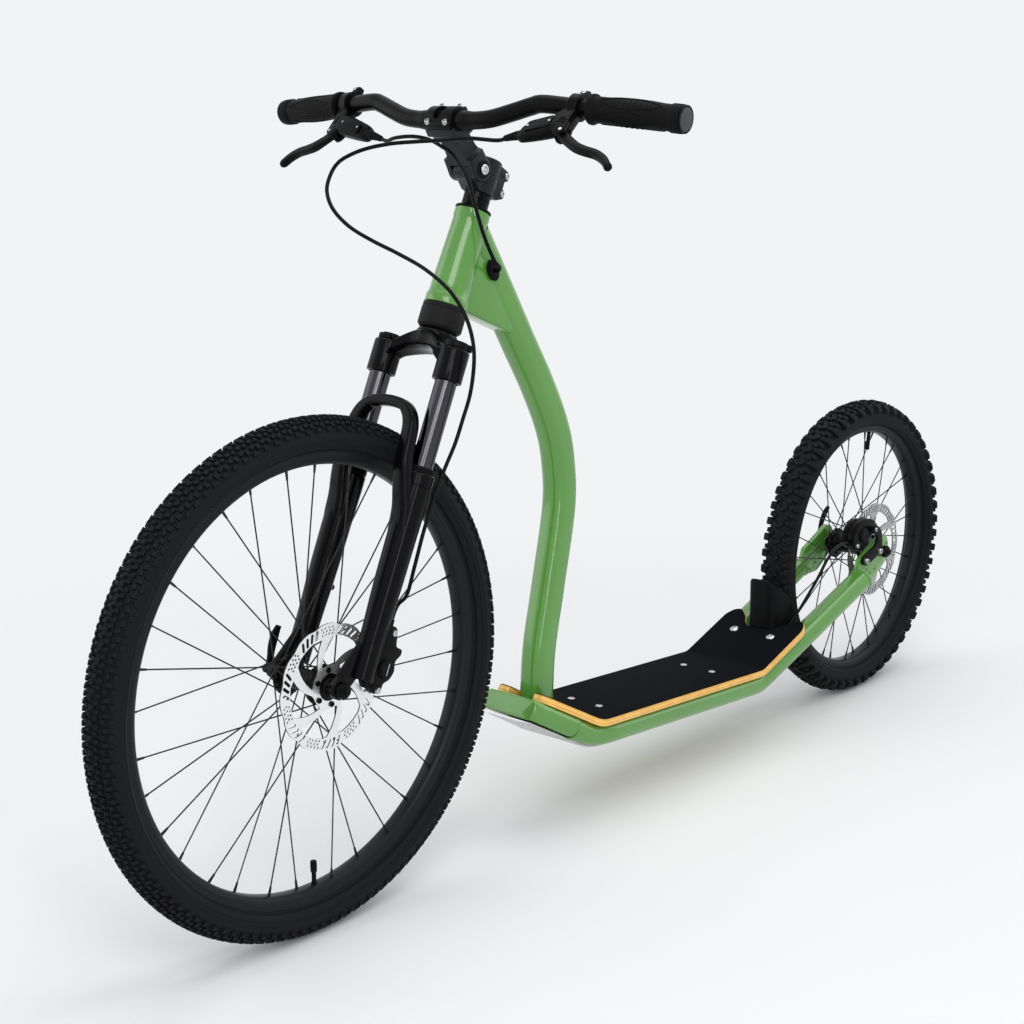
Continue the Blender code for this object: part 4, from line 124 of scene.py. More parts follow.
@dataclass(frozen=True)
class Finish:
    """A surface: its colour, its gloss, and the small variation that a real one has."""

    name: str
    colour: tuple[float, float, float]
    roughness: float
    metallic: float = 0.0
    coat: float = 0.0
    grain: Grain = Grain.NONE
    scale: float = 400.0
    relief: float = 5e-5
    mottle: float = 0.06
    second: tuple[float, float, float] | None = None
    specular: float = 0.5

    def material(self) -> Material:
        """Return this finish's material, made the first time that it is asked for.

        Returns:
            The material, with colour, roughness and relief from its nodes.
        """
        made = bpy.data.materials.get(self.name)
        if made is None:
            made = bpy.data.materials.new(self.name)
            made.use_nodes = True
            made.diffuse_color = (*self.colour, 1.0)
            self._dress(Graph(made.node_tree))
        return made

    def _dress(self, graph: Graph) -> None:
        """Give a material this finish's colour, gloss and relief.

        Args:
            graph: the material's nodes.
        """
        shader = graph.tree.nodes["Principled BSDF"]
        place = graph.add("TexCoord", {}).outputs["Object"]
        broad, fine = (graph.add("TexNoise",
                                 {"Vector": place, "Scale": scale, "Detail": detail}).outputs["Fac"]
                       for scale, detail in ((BROAD_NOISE, 3.0), (self.scale, 2.0)))
        swing = 0.12 * self.roughness + 0.01
        source = fine if self.grain in (Grain.CAST, Grain.GRIT) else broad
        gloss = graph.add("MapRange", {"Value": source, "From Min": 0.3, "From Max": 0.7,
                                       "To Min": max(0.02, self.roughness - swing),
                                       "To Max": min(1.0, self.roughness + swing)})
        graph.fill(shader, {"Metallic": self.metallic, "Coat Weight": self.coat, "Coat Roughness": 0.06,
                            "Specular IOR Level": self.specular, "Roughness": gloss.outputs["Result"],
                            "Base Color": self._colour(graph, broad, fine)})
        if self.grain in (Grain.NONE, Grain.PLIES):
            return
        if self.grain is Grain.GRIT:
            fine = graph.add("TexVoronoi", {"Vector": place, "Scale": self.scale}).outputs["Distance"]
        bump = graph.add("Bump", {"Strength": 0.6, "Distance": self.relief, "Height": fine})
        graph.fill(shader, {"Normal": bump.outputs["Normal"]})

    def _colour(self, graph: Graph, broad: NodeSocket, fine: NodeSocket) -> NodeSocket:
        """Make a colour that varies a little over the surface.

        Args:
            graph: the material's nodes.
            broad: slow noise over the surface.
            fine: noise at the grain's size.

        Returns:
            The colour's socket.
        """
        source = fine if self.grain in (Grain.GRIT, Grain.BRUSHED_RING) else broad
        if self.grain is Grain.PLIES:
            source = self._plies(graph, fine)
        ramp = graph.add("ValToRGB", {"Fac": source})
        low, high = ramp.color_ramp.elements
        low.position, high.position = 0.3, 0.7
        other = self.second or tuple(min(1.0, part * (1.0 + self.mottle)) for part in self.colour)
        first = self.colour if self.second else tuple(part * (1.0 - self.mottle) for part in self.colour)
        low.color, high.color = (*first, 1.0), (*other, 1.0)
        return ramp.outputs["Color"]

    @staticmethod
    def _plies(graph: Graph, fine: NodeSocket) -> NodeSocket:
        """Make a value that steps from ply to ply through the board's thickness.

        Args:
            graph: the material's nodes.
            fine: noise that breaks the steps a little.

        Returns:
            The value's socket.
        """
        layer = graph.add("Attribute", {}, attribute_name="layer").outputs["Fac"]
        spread = graph.add("Math", {0: layer, 1: 2 * pi * PLY_WAVES}, operation="MULTIPLY").outputs[0]
        wave = graph.add("Math", {0: spread}, operation="SINE").outputs[0]
        return graph.add("Math", {0: wave, 1: 0.24, 2: fine}, operation="MULTIPLY_ADD").outputs[0]


GREEN_PAINT = Finish("green_powder_coat", (0.086, 0.276, 0.036), 0.24, coat=0.75, grain=Grain.ORANGE_PEEL,
                     scale=260, mottle=0.05, specular=0.4)
WELD_PAINT = Finish("green_paint_on_weld", (0.082, 0.264, 0.036), 0.3, coat=0.7, grain=Grain.CAST, scale=500,
                    specular=0.4)
FORK_BLACK = Finish("fork_gloss_black", (0.0024, 0.0024, 0.0031), 0.15, grain=Grain.ORANGE_PEEL, scale=220,
                    relief=3e-5, specular=0.1)
SATIN_BLACK = Finish("satin_black_alloy", (0.003, 0.003, 0.0034), 0.32, grain=Grain.CAST, scale=900,
                     relief=2e-5, specular=0.08)
MATT_BLACK = Finish("matt_black_alloy", (0.0085, 0.0085, 0.009), 0.58, grain=Grain.CAST, scale=1100,
                    relief=3e-5, specular=0.14)
RIM_BLACK = Finish("rim_anodised_black", (0.012, 0.0128, 0.0134), 0.36, metallic=0.3, grain=Grain.CAST,
                   scale=1500, relief=1e-5, specular=0.14)
TYRE_RUBBER = Finish("tyre_rubber", (0.0074, 0.0077, 0.0086), 0.62, grain=Grain.MOULDED, scale=1300,
                     relief=6e-5, mottle=0.16, specular=0.1)
GRIP_RUBBER = Finish("grip_rubber", (0.004, 0.004, 0.0044), 0.6, grain=Grain.MOULDED, scale=1600,
                     specular=0.08)
HOSE_BLACK = Finish("hose_jacket", (0.0028, 0.0028, 0.0031), 0.28, grain=Grain.MOULDED, scale=900,
                    relief=1e-5, specular=0.1)
PLASTIC = Finish("moulded_black_plastic", (0.0042, 0.0044, 0.005), 0.44, grain=Grain.MOULDED, scale=1400,
                 specular=0.08)
GRIT_SHEET = Finish("grit_sheet", (0.0022, 0.0028, 0.0038), 0.92, grain=Grain.GRIT, scale=1500, relief=0.0004,
                    second=(0.0054, 0.0066, 0.0084), specular=0.04)
PLYWOOD = Finish("plywood_edge", (0.78, 0.4, 0.075), 0.42, coat=0.35, grain=Grain.PLIES, scale=60,
                 second=(0.93, 0.56, 0.13))
CHROME = Finish("hard_chrome", (0.062, 0.059, 0.066), 0.09, metallic=1.0, mottle=0.01)
POLISHED_STEEL = Finish("ground_disc_steel", (0.83, 0.83, 0.83), 0.27, metallic=0.85,
                        grain=Grain.BRUSHED_RING, scale=700, relief=1e-5, mottle=0.05)
WORN_STEEL = Finish("used_disc_steel", (0.42, 0.42, 0.42), 0.34, metallic=0.9, grain=Grain.BRUSHED_RING,
                    scale=700, relief=1e-5, mottle=0.08)
# Darker finish for every cut edge of a disc: painted shade on the walls of its holes, slots and windows and on
# its rims.
DISC_EDGE_SHADE = Finish("disc_edge_painted_shade", (0.045, 0.045, 0.046), 0.5, metallic=0.7, grain=Grain.CAST, scale=900,
                   relief=1e-5)
BOLT_STEEL = Finish("bolt_steel", (0.55, 0.55, 0.56), 0.28, metallic=1.0, grain=Grain.CAST, scale=900,
                    relief=1e-5)
STEM_GREY = Finish("stem_grey_anodised", (0.0092, 0.0132, 0.0162), 0.34, metallic=0.3, grain=Grain.CAST,
                   scale=900, relief=2e-5, specular=0.25)
STRIP_METAL = Finish("skid_strip_alloy", (0.5, 0.5, 0.51), 0.32, metallic=0.9, grain=Grain.BRUSHED_RING,
                     scale=300, relief=2e-5)
CAP_GREY = Finish("end_cap_grey", (0.024, 0.03, 0.035), 0.42, metallic=0.3, grain=Grain.MOULDED, scale=900,
                  relief=3e-5)
SPOKE_BLACK = Finish("spoke_black", (0.006, 0.0055, 0.0055), 0.34, metallic=0.4, grain=Grain.CAST, scale=900,
                     relief=1e-5)


def polar(radius: float, angle: float) -> tuple[float, float]:
    """Return the (u, v) point at a radius and an angle."""
    return radius * cos(angle), radius * sin(angle)


def at(x: float, y: float, z: float) -> Matrix:
    """Return a shift."""
    return Matrix.Translation((x, y, z))


def turned(angle: float, axis: str = "Y") -> Matrix:
    """Return a turn about an axis."""
    return Matrix.Rotation(angle, 4, axis)


def scaled(first: float, second: float) -> Matrix:
    """Return a matrix that scales X and Y."""
    return Matrix.Diagonal((first, second, 1.0, 1.0))


def axes(x: Vector, y: Vector, z: Vector) -> Matrix:
    """Return the turn that lays X, Y and Z along three directions."""
    return Matrix((x, y, z)).transposed().to_4x4()


def pairs(*values: float, out: float = 0.0, up: float = 0.0) -> Outline:
    """Return points in metres from coordinates in millimetres.

    Args:
        values: both coordinates of each point in turn, in millimetres.
        out: metres added to each first coordinate.
        up: metres added to each second coordinate.

    Returns:
        The points.
    """
    return [(out + u / 1000, up + v / 1000) for u, v in zip(values[::2], values[1::2])]


def triples(*values: float) -> list[tuple[float, float, float]]:
    """Return (x, y, z) points in metres from coordinates in millimetres, given in turn."""
    return [(x / 1000, y / 1000, z / 1000) for x, y, z in zip(values[::3], values[1::3], values[2::3])]


def clamped(value: float) -> float:
    """Return a value kept between 0 and 1."""
    return min(1.0, max(0.0, value))


def between(values: Sequence[float], share: float) -> float:
    """Read a row of evenly spaced values at any place.

    Args:
        values: the values.
        share: how far through the row to read, from 0 to 1.

    Returns:
        The value there, on the straight line between its neighbours.
    """
    place = share * (len(values) - 1)
    low = min(int(place), len(values) - 2)
    return values[low] + (values[low + 1] - values[low]) * (place - low)


def eased(first: Vector, corner: Vector, last: Vector, steps: int) -> list[Vector]:
    """Round a corner.

    Args:
        first: where the round starts.
        corner: the sharp corner.
        last: where the round ends.
        steps: facets of the round.

    Returns:
        The points of the curve, both ends included.
    """
    shares = [k / steps for k in range(steps + 1)]
    return [first * (1 - t) ** 2 + corner * 2 * t * (1 - t) + last * t ** 2 for t in shares]


def ring(radius: float, count: int, start: float = 0.0) -> Outline:
    """Return the corners of a regular polygon as (u, v) pairs."""
    return [polar(radius, start + 2 * pi * k / count) for k in range(count)]


def rounded(width: float, height: float, corner: float, steps: int = 4) -> Outline:
    """Return the outline of a rectangle with round corners as (u, v) pairs.

    Args:
        width: its full width.
        height: its full height.
        corner: the radius of its corners.
        steps: facets of a corner.

    Returns:
        The outline.
    """
    points = []
    for u_sign, v_sign, start in ((1, 1, 0), (-1, 1, 90), (-1, -1, 180), (1, -1, 270)):
        for k in range(steps + 1):
            angle = radians(start + 90.0 * k / steps)
            u, v = polar(corner, angle)
            points.append((u_sign * (width / 2 - corner) + u, v_sign * (height / 2 - corner) + v))
    return points


def tidy(mesh: BMesh) -> BMesh:
    """Merge doubled corners, turn every face outwards, and return the mesh.

    Args:
        mesh: the mesh.

    Returns:
        The same mesh.
    """
    bmesh.ops.remove_doubles(mesh, verts=mesh.verts, dist=1e-6)
    bmesh.ops.recalc_face_normals(mesh, faces=mesh.faces)
    return mesh


def picked(geometry: Iterable[object], kind: type) -> list:
    """Return the items of one kind, such as the corners, of an operator's result."""
    return [item for item in geometry if isinstance(item, kind)]


def bevelled(mesh: BMesh, edges: Sequence[BMEdge], offset: float, segments: int) -> None:
    """Round some of a mesh's edges.

    Args:
        mesh: the mesh.
        edges: the edges to round.
        offset: the bevel's width.
        segments: its facets.
    """
    bmesh.ops.bevel(mesh, geom=edges, offset=offset, offset_type="OFFSET", segments=segments, profile=0.5,
                    affect="EDGES", clamp_overlap=True, material=-1)


def rims(mesh: BMesh, sharp: float) -> list[BMEdge]:
    """Return a mesh's edges that turn by more than an angle."""
    return [edge for edge in mesh.edges if len(edge.link_faces) == 2 and edge.calc_face_angle() > sharp]


def baked(name: str, mesh: BMesh) -> Mesh:
    """Store a mesh as the scene's own data, and free it.

    Args:
        name: the data's name.
        mesh: the mesh, which is used up.

    Returns:
        The data.
    """
    data = bpy.data.meshes.new(name)
    mesh.to_mesh(data)
    mesh.free()
    return data


def linked(name: str, data: ID) -> Object:
    """Return a new object of the scene that shows some data.

    Args:
        name: the object's name.
        data: what it shows.

    Returns:
        The object.
    """
    new = bpy.data.objects.new(name, data)
    bpy.context.scene.collection.objects.link(new)
    return new


def spun(profile: Iterable[Point], steps: int = 48, axis: str = "Y", ring_shaped: bool = True,
         mesh: BMesh | None = None, place: Matrix | None = None) -> BMesh:
    """Spin a profile about an axis.

    Args:
        profile: (radius, distance along the axis) pairs.
        steps: facets in the full turn.
        axis: "Y" or "Z".
        ring_shaped: join the profile's last point to its first, as a ring needs.
        mesh: a mesh to add to, or None for a new one.
        place: where the shape goes.

    Returns:
        The mesh, closed and facing outwards.
    """
    part = bmesh.new()
    along = Y_AXIS if axis == "Y" else Z_AXIS
    verts = [part.verts.new(Vector((r, 0, 0)) + along * a) for r, a in profile]
    edges = [part.edges.new(pair) for pair in zip(verts, verts[1:])]
    if ring_shaped:
        edges.append(part.edges.new((verts[-1], verts[0])))
    bmesh.ops.spin(part, geom=verts + edges, cent=(0, 0, 0), axis=along, angle=2 * pi, steps=steps,
                   use_merge=True)
    return merged(mesh, tidy(part), place)


def merged(target: BMesh | None, part: BMesh, place: Matrix | None = None) -> BMesh:
    """Add one mesh to another at a place, and return the whole.

    Args:
        target: the mesh to add to, or None to keep the part alone.
        part: the mesh that is added and freed.
        place: where the part goes.

    Returns:
        The mesh that holds both.
    """
    if place is not None:
        bmesh.ops.transform(part, matrix=place, verts=part.verts)
        if place.determinant() < 0:
            bmesh.ops.reverse_faces(part, faces=part.faces)
    if target is None:
        return part
    data = baked("joined", part)
    target.from_mesh(data)
    bpy.data.meshes.remove(data)
    return target


def drawn(section: Outline, stations: Sequence[Matrix]) -> BMesh:
    """Draw a section through a row of stations by extruding it from each to the next.

    Args:
        section: the outline in a station's own X and Y.
        stations: places of the section, each an invertible matrix.

    Returns:
        A closed mesh.
    """
    mesh = bmesh.new()
    face = mesh.faces.new([mesh.verts.new(stations[0] @ Vector((u, v, 0))) for u, v in section])
    for before, after in zip(stations, stations[1:]):
        first = before is stations[0]
        moved = bmesh.ops.extrude_face_region(mesh, geom=[face], use_keep_orig=first)
        bmesh.ops.transform(mesh, matrix=after @ before.inverted(), verts=picked(moved["geom"], BMVert))
        if not first and face.is_valid:
            bmesh.ops.delete(mesh, geom=[face], context="FACES_ONLY")
        face = picked(moved["geom"], BMFace)[0]
    return tidy(mesh)


def stations(route: Sequence[Vector], sizes: Sequence[tuple[float, float]] | None = None,
             sideways: Vector = Y_AXIS) -> list[Matrix]:
    """Return places square to a route, whose Y lies along the sideways direction.

    Args:
        route: the centre line.
        sizes: the section's scale across and sideways at each point, or None for 1.
        sideways: the direction that each section keeps.

    Returns:
        One matrix for each point of the route.
    """
    places = []
    last = len(route) - 1
    for k, centre in enumerate(route):
        along = (route[min(k + 1, last)] - route[max(k - 1, 0)]).normalized()
        across = sideways.cross(along).normalized()
        side = along.cross(across).normalized()
        wide, high = sizes[k] if sizes else (1.0, 1.0)
        places.append(Matrix.Translation(centre) @ axes(across * wide, side * high, along))
    return places


def smooth(points: Iterable[Point], spacing: float) -> list[Vector]:
    """Return evenly spaced points on a smooth curve through the given ones.

    Args:
        points: points that the curve passes through.
        spacing: the distance between the new points.

    Returns:
        The new points, with both ends among them.
    """
    given = [Vector(point) for point in points]
    padded = [2 * given[0] - given[1], *given, 2 * given[-1] - given[-2]]
    fine = []
    for a, b, c, d in zip(padded, padded[1:], padded[2:], padded[3:]):
        for k in range(24):
            t = k / 24
            fine.append(0.5 * (2 * b + (c - a) * t + (2 * a - 5 * b + 4 * c - d) * t ** 2
                               + (3 * b - a - 3 * c + d) * t ** 3))
    fine.append(given[-1])
    lengths = [0.0]
    for a, b in zip(fine, fine[1:]):
        lengths.append(lengths[-1] + (b - a).length)
    count = max(2, round(lengths[-1] / spacing))
    route, place = [], 0
    for k in range(count + 1):
        wanted = lengths[-1] * k / count
        while place < len(lengths) - 2 and lengths[place + 1] < wanted:
            place += 1
        share = (wanted - lengths[place]) / (lengths[place + 1] - lengths[place])
        route.append(fine[place].lerp(fine[place + 1], share))
    return route


def plate(outline: Outline, low: float, high: float, edge: float = 0.0, steps: int = 2,
          plane: str = "XZ") -> BMesh:
    """Cut a flat plate and round its rims.

    Args:
        outline: the plate's corners in the plane.
        low: one face's distance from the plane.
        high: the other face's distance.
        edge: width of the rims' bevel, 0 for none.
        steps: segments of the bevel.
        plane: "XZ" for a plate square to Y, "XY" for one square to Z.

    Returns:
        A closed mesh.
    """
    mesh = bmesh.new()
    spread = (lambda u, v: (u, low, v)) if plane == "XZ" else (lambda u, v: (u, v, low))
    face = mesh.faces.new([mesh.verts.new(spread(u, v)) for u, v in outline])
    moved = bmesh.ops.extrude_face_region(mesh, geom=[face], use_keep_orig=True)
    shift = (Y_AXIS if plane == "XZ" else Z_AXIS) * (high - low)
    bmesh.ops.translate(mesh, verts=picked(moved["geom"], BMVert), vec=shift)
    tidy(mesh)
    if edge > 0.0:
        bevelled(mesh, rims(mesh, 1.2), edge, steps)
    return mesh


def block(size: Point, place: Matrix, edge: float = 0.0) -> BMesh:
    """Make a box with bevelled edges.

    Args:
        size: its lengths along X, Y and Z.
        place: where it goes.
        edge: the bevel's width, 0 for none.

    Returns:
        A closed mesh.
    """
    mesh = bmesh.new()
    bmesh.ops.create_cube(mesh, size=1.0, matrix=Matrix.Diagonal((*size, 1.0)))
    if edge > 0.0:
        bevelled(mesh, mesh.edges[:], edge, 2)
    bmesh.ops.transform(mesh, matrix=place, verts=mesh.verts)
    return mesh


def ball(mesh: BMesh, radius: float, centre: Vector, around: int, along: int) -> None:
    """Add a ball to a mesh.

    Args:
        mesh: the mesh to add to.
        radius: the ball's size.
        centre: where it goes.
        around: its facets round the equator.
        along: its facets from pole to pole.
    """
    part = bmesh.new()
    bmesh.ops.create_uvsphere(part, u_segments=around, v_segments=along, radius=radius)
    merged(mesh, part, Matrix.Translation(centre))


def rod(start: Vector, end: Vector, radius: float, sides: int = 8, mesh: BMesh | None = None,
        far_radius: float | None = None) -> BMesh:
    """Add a straight round rod between two points.

    Args:
        start: its first end.
        end: its other end.
        radius: its radius.
        sides: facets in the full turn.
        mesh: a mesh to add to, or None for a new one.
        far_radius: the radius at the other end, where it tapers.

    Returns:
        The mesh with the rod in it.
    """
    part = bmesh.new()
    along = end - start
    turn = Z_AXIS.rotation_difference(along.normalized()).to_matrix().to_4x4()
    bmesh.ops.create_cone(part, cap_ends=True, segments=sides, radius1=radius,
                          radius2=radius if far_radius is None else far_radius, depth=along.length,
                          matrix=Matrix.Translation((start + end) / 2) @ turn)
    return merged(mesh, part)


def hex_bolt(mesh: BMesh | None, place: Matrix, head: float, height: float) -> BMesh:
    """Add a round socket-head bolt whose head rises along the place's Z.

    Args:
        mesh: the mesh to add to, or None for a new one.
        place: where the head's foot goes.
        head: the head's radius.
        height: its height.

    Returns:
        The mesh with the bolt in it.
    """
    profile = [(0.0, 0.0), (head, 0.0), (head, 0.75 * height), (0.88 * head, height), (0.56 * head, height),
               (0.52 * head, 0.45 * height), (0.0, 0.45 * height)]
    return spun(profile, 20, "Z", False, mesh, place)


def shown(name: str, mesh: BMesh, finish: Finish, body: str | None, replaced: Sequence[str] = (),
          place: Matrix | None = None, sharp: float = SHARP) -> Object:
    """Make a finished piece from a mesh.

    Args:
        name: the piece's name.
        mesh: its form, which is used up.
        finish: its surface.
        body: the body of the model that it rides on, or nothing for a piece that runs between two and rides on
            neither.
        replaced: nodes of the model that it stands for.
        place: where the mesh's own frame is.
        sharp: edges steeper than this, in degrees, stay crisp.

    Returns:
        The new object, at the origin.
    """
    if place is not None:
        bmesh.ops.transform(mesh, matrix=place, verts=mesh.verts)
    data = baked(name, mesh)
    data.shade_smooth()
    data.set_sharp_from_angle(angle=radians(sharp))
    data.materials.append(finish.material())
    piece = linked(name, data)
    if body is not None:
        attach(piece, body)
    if replaced:
        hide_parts(*replaced)
    return piece


def cut(piece: Object, rooms: BMesh) -> None:
    """Take a mesh's room out of a piece, for good.

    Args:
        piece: the piece that is cut.
        rooms: the closed forms that are taken away, which are used up.
    """
    data = baked("room", rooms)
    tool = linked("room", data)
    modifier = piece.modifiers.new("room", "BOOLEAN")
    modifier.object, modifier.operation, modifier.solver = tool, "DIFFERENCE", "EXACT"
    bpy.context.view_layer.update()
    result = bpy.data.meshes.new_from_object(piece.evaluated_get(bpy.context.evaluated_depsgraph_get()))
    piece.modifiers.clear()
    old, piece.data = piece.data, result
    result.name = piece.name
    bpy.data.meshes.remove(old)
    bpy.data.objects.remove(tool)
    bpy.data.meshes.remove(data)
    result.set_sharp_from_angle(angle=radians(SHARP))


class Assembly:
    """A sub-assembly whose pieces ride on one body and lie in one frame, where nothing else is said."""

    body: str
    home: Matrix

    def show(self, name: str, mesh: BMesh, finish: Finish, *replaced: str, body: str | None = None,
             place: Matrix | None = None, sharp: float = SHARP) -> Object:
        """Make a finished piece as shown() does, on this assembly's body and in its frame.

        Args:
            name: the piece's name.
            mesh: its form, which is used up.
            finish: its surface.
            replaced: nodes of the model that it stands for.
            body: another body that it rides on.
            place: another frame that its mesh is in.
            sharp: edges steeper than this, in degrees, stay crisp.

        Returns:
            The new object, at the origin.
        """
        return shown(name, mesh, finish, body or self.body, replaced, place or self.home, sharp)


@dataclass
class Layout:
    """Where the scooter's own frames lie in the model's frame."""

    wheelbase: float = 1.267
    front_axle_height: float = 0.336
    rear_axle_height: float = 0.254
    front_radius: float = 0.328
    rear_radius: float = 0.2515
    head_angle: float = radians(65.0)
    fork_length: float = 0.501
    fork_offset: float = 0.05
    pivot_forward: float = 0.028
    pivot_height: float = 0.175
    stem_rise: float = radians(31.7)
    stem_length: float = 0.0735

    def __post_init__(self) -> None:
        """Work out each frame from the sizes."""
        rise = self.front_axle_height - self.rear_axle_height
        span, step = hypot(self.wheelbase, rise), self.front_radius - self.rear_radius
        lean = atan2(rise, self.wheelbase) - asin(step / span)
        x = -(sqrt(span ** 2 - step ** 2) + step) / 2 - self.rear_axle_height * sin(lean)
        z = self.rear_radius - self.rear_axle_height * cos(lean)
        self.scooter = at(x, 0, z) @ turned(lean)
        self.level = turned(-lean)
        forward = Vector((sin(self.head_angle), 0, cos(self.head_angle)))
        up = Vector((-cos(self.head_angle), 0, sin(self.head_angle)))
        axle = Vector((self.wheelbase, 0, self.front_axle_height))
        base = axle - forward * self.fork_offset + up * self.fork_length
        turn = turned(self.head_angle - radians(90.0))
        self.steering = self.scooter @ Matrix.Translation(base) @ turn
        pivot = at(self.pivot_forward, 0, self.pivot_height)
        self.stem = self.steering @ pivot @ turned(-self.stem_rise)
        self.front_axle = self.scooter @ Matrix.Translation(axle) @ self.level
        self.rear_axle = self.scooter @ at(0, 0, self.rear_axle_height) @ self.level
        middle = self.stem @ Vector((self.stem_length, 0, 0))
        self.bar = Matrix.Translation(middle) @ self.scooter.to_3x3().to_4x4()

    def on_steering(self, x: float, y: float, z: float) -> Vector:
        """Return a point of the steering frame in the scooter's own frame."""
        return self.scooter.inverted() @ self.steering @ Vector((x, y, z))


class Tread(Enum):
    """Block pattern of a tyre."""

    DENSE = "small dense blocks"
    ARROW = "large arrow blocks"


TREADS = {
    # Spacing of the rows, then share of it, lean, turn, width, length, added height and stagger of each pair.
    Tread.DENSE: (0.0175, ((0.00, 8, 0, 7.6, 5.4, 0, 0), (0.50, 0, 0, 6.8, 4.2, 0, 0),
                           (0.28, 22, 12, 5.6, 5.2, 0, 0), (0.76, 26, -10, 5.2, 5.0, 0, 0),
                           (0.10, 41, 0, 5.0, 6.4, 0.1, 0.5), (0.55, 47, 8, 6.8, 5.8, 0.35, 0.5),
                           (0.05, 60, 0, 5.6, 7.2, 0.2, 0.5))),
    Tread.ARROW: (0.0275, ((0.00, 9, 36, 13.5, 6.4, 0.8, 0), (0.48, 22, -30, 10.0, 6.4, 0.6, 0),
                           (0.14, 35, 20, 9.0, 8.0, 1.2, 0), (0.64, 42, -12, 8.6, 7.6, 1.4, 0),
                           (0.18, 49, 0, 8.6, 12.5, 2.8, 0), (0.18, 62, 0, 8.4, 13.0, 4.0, 0))),
}


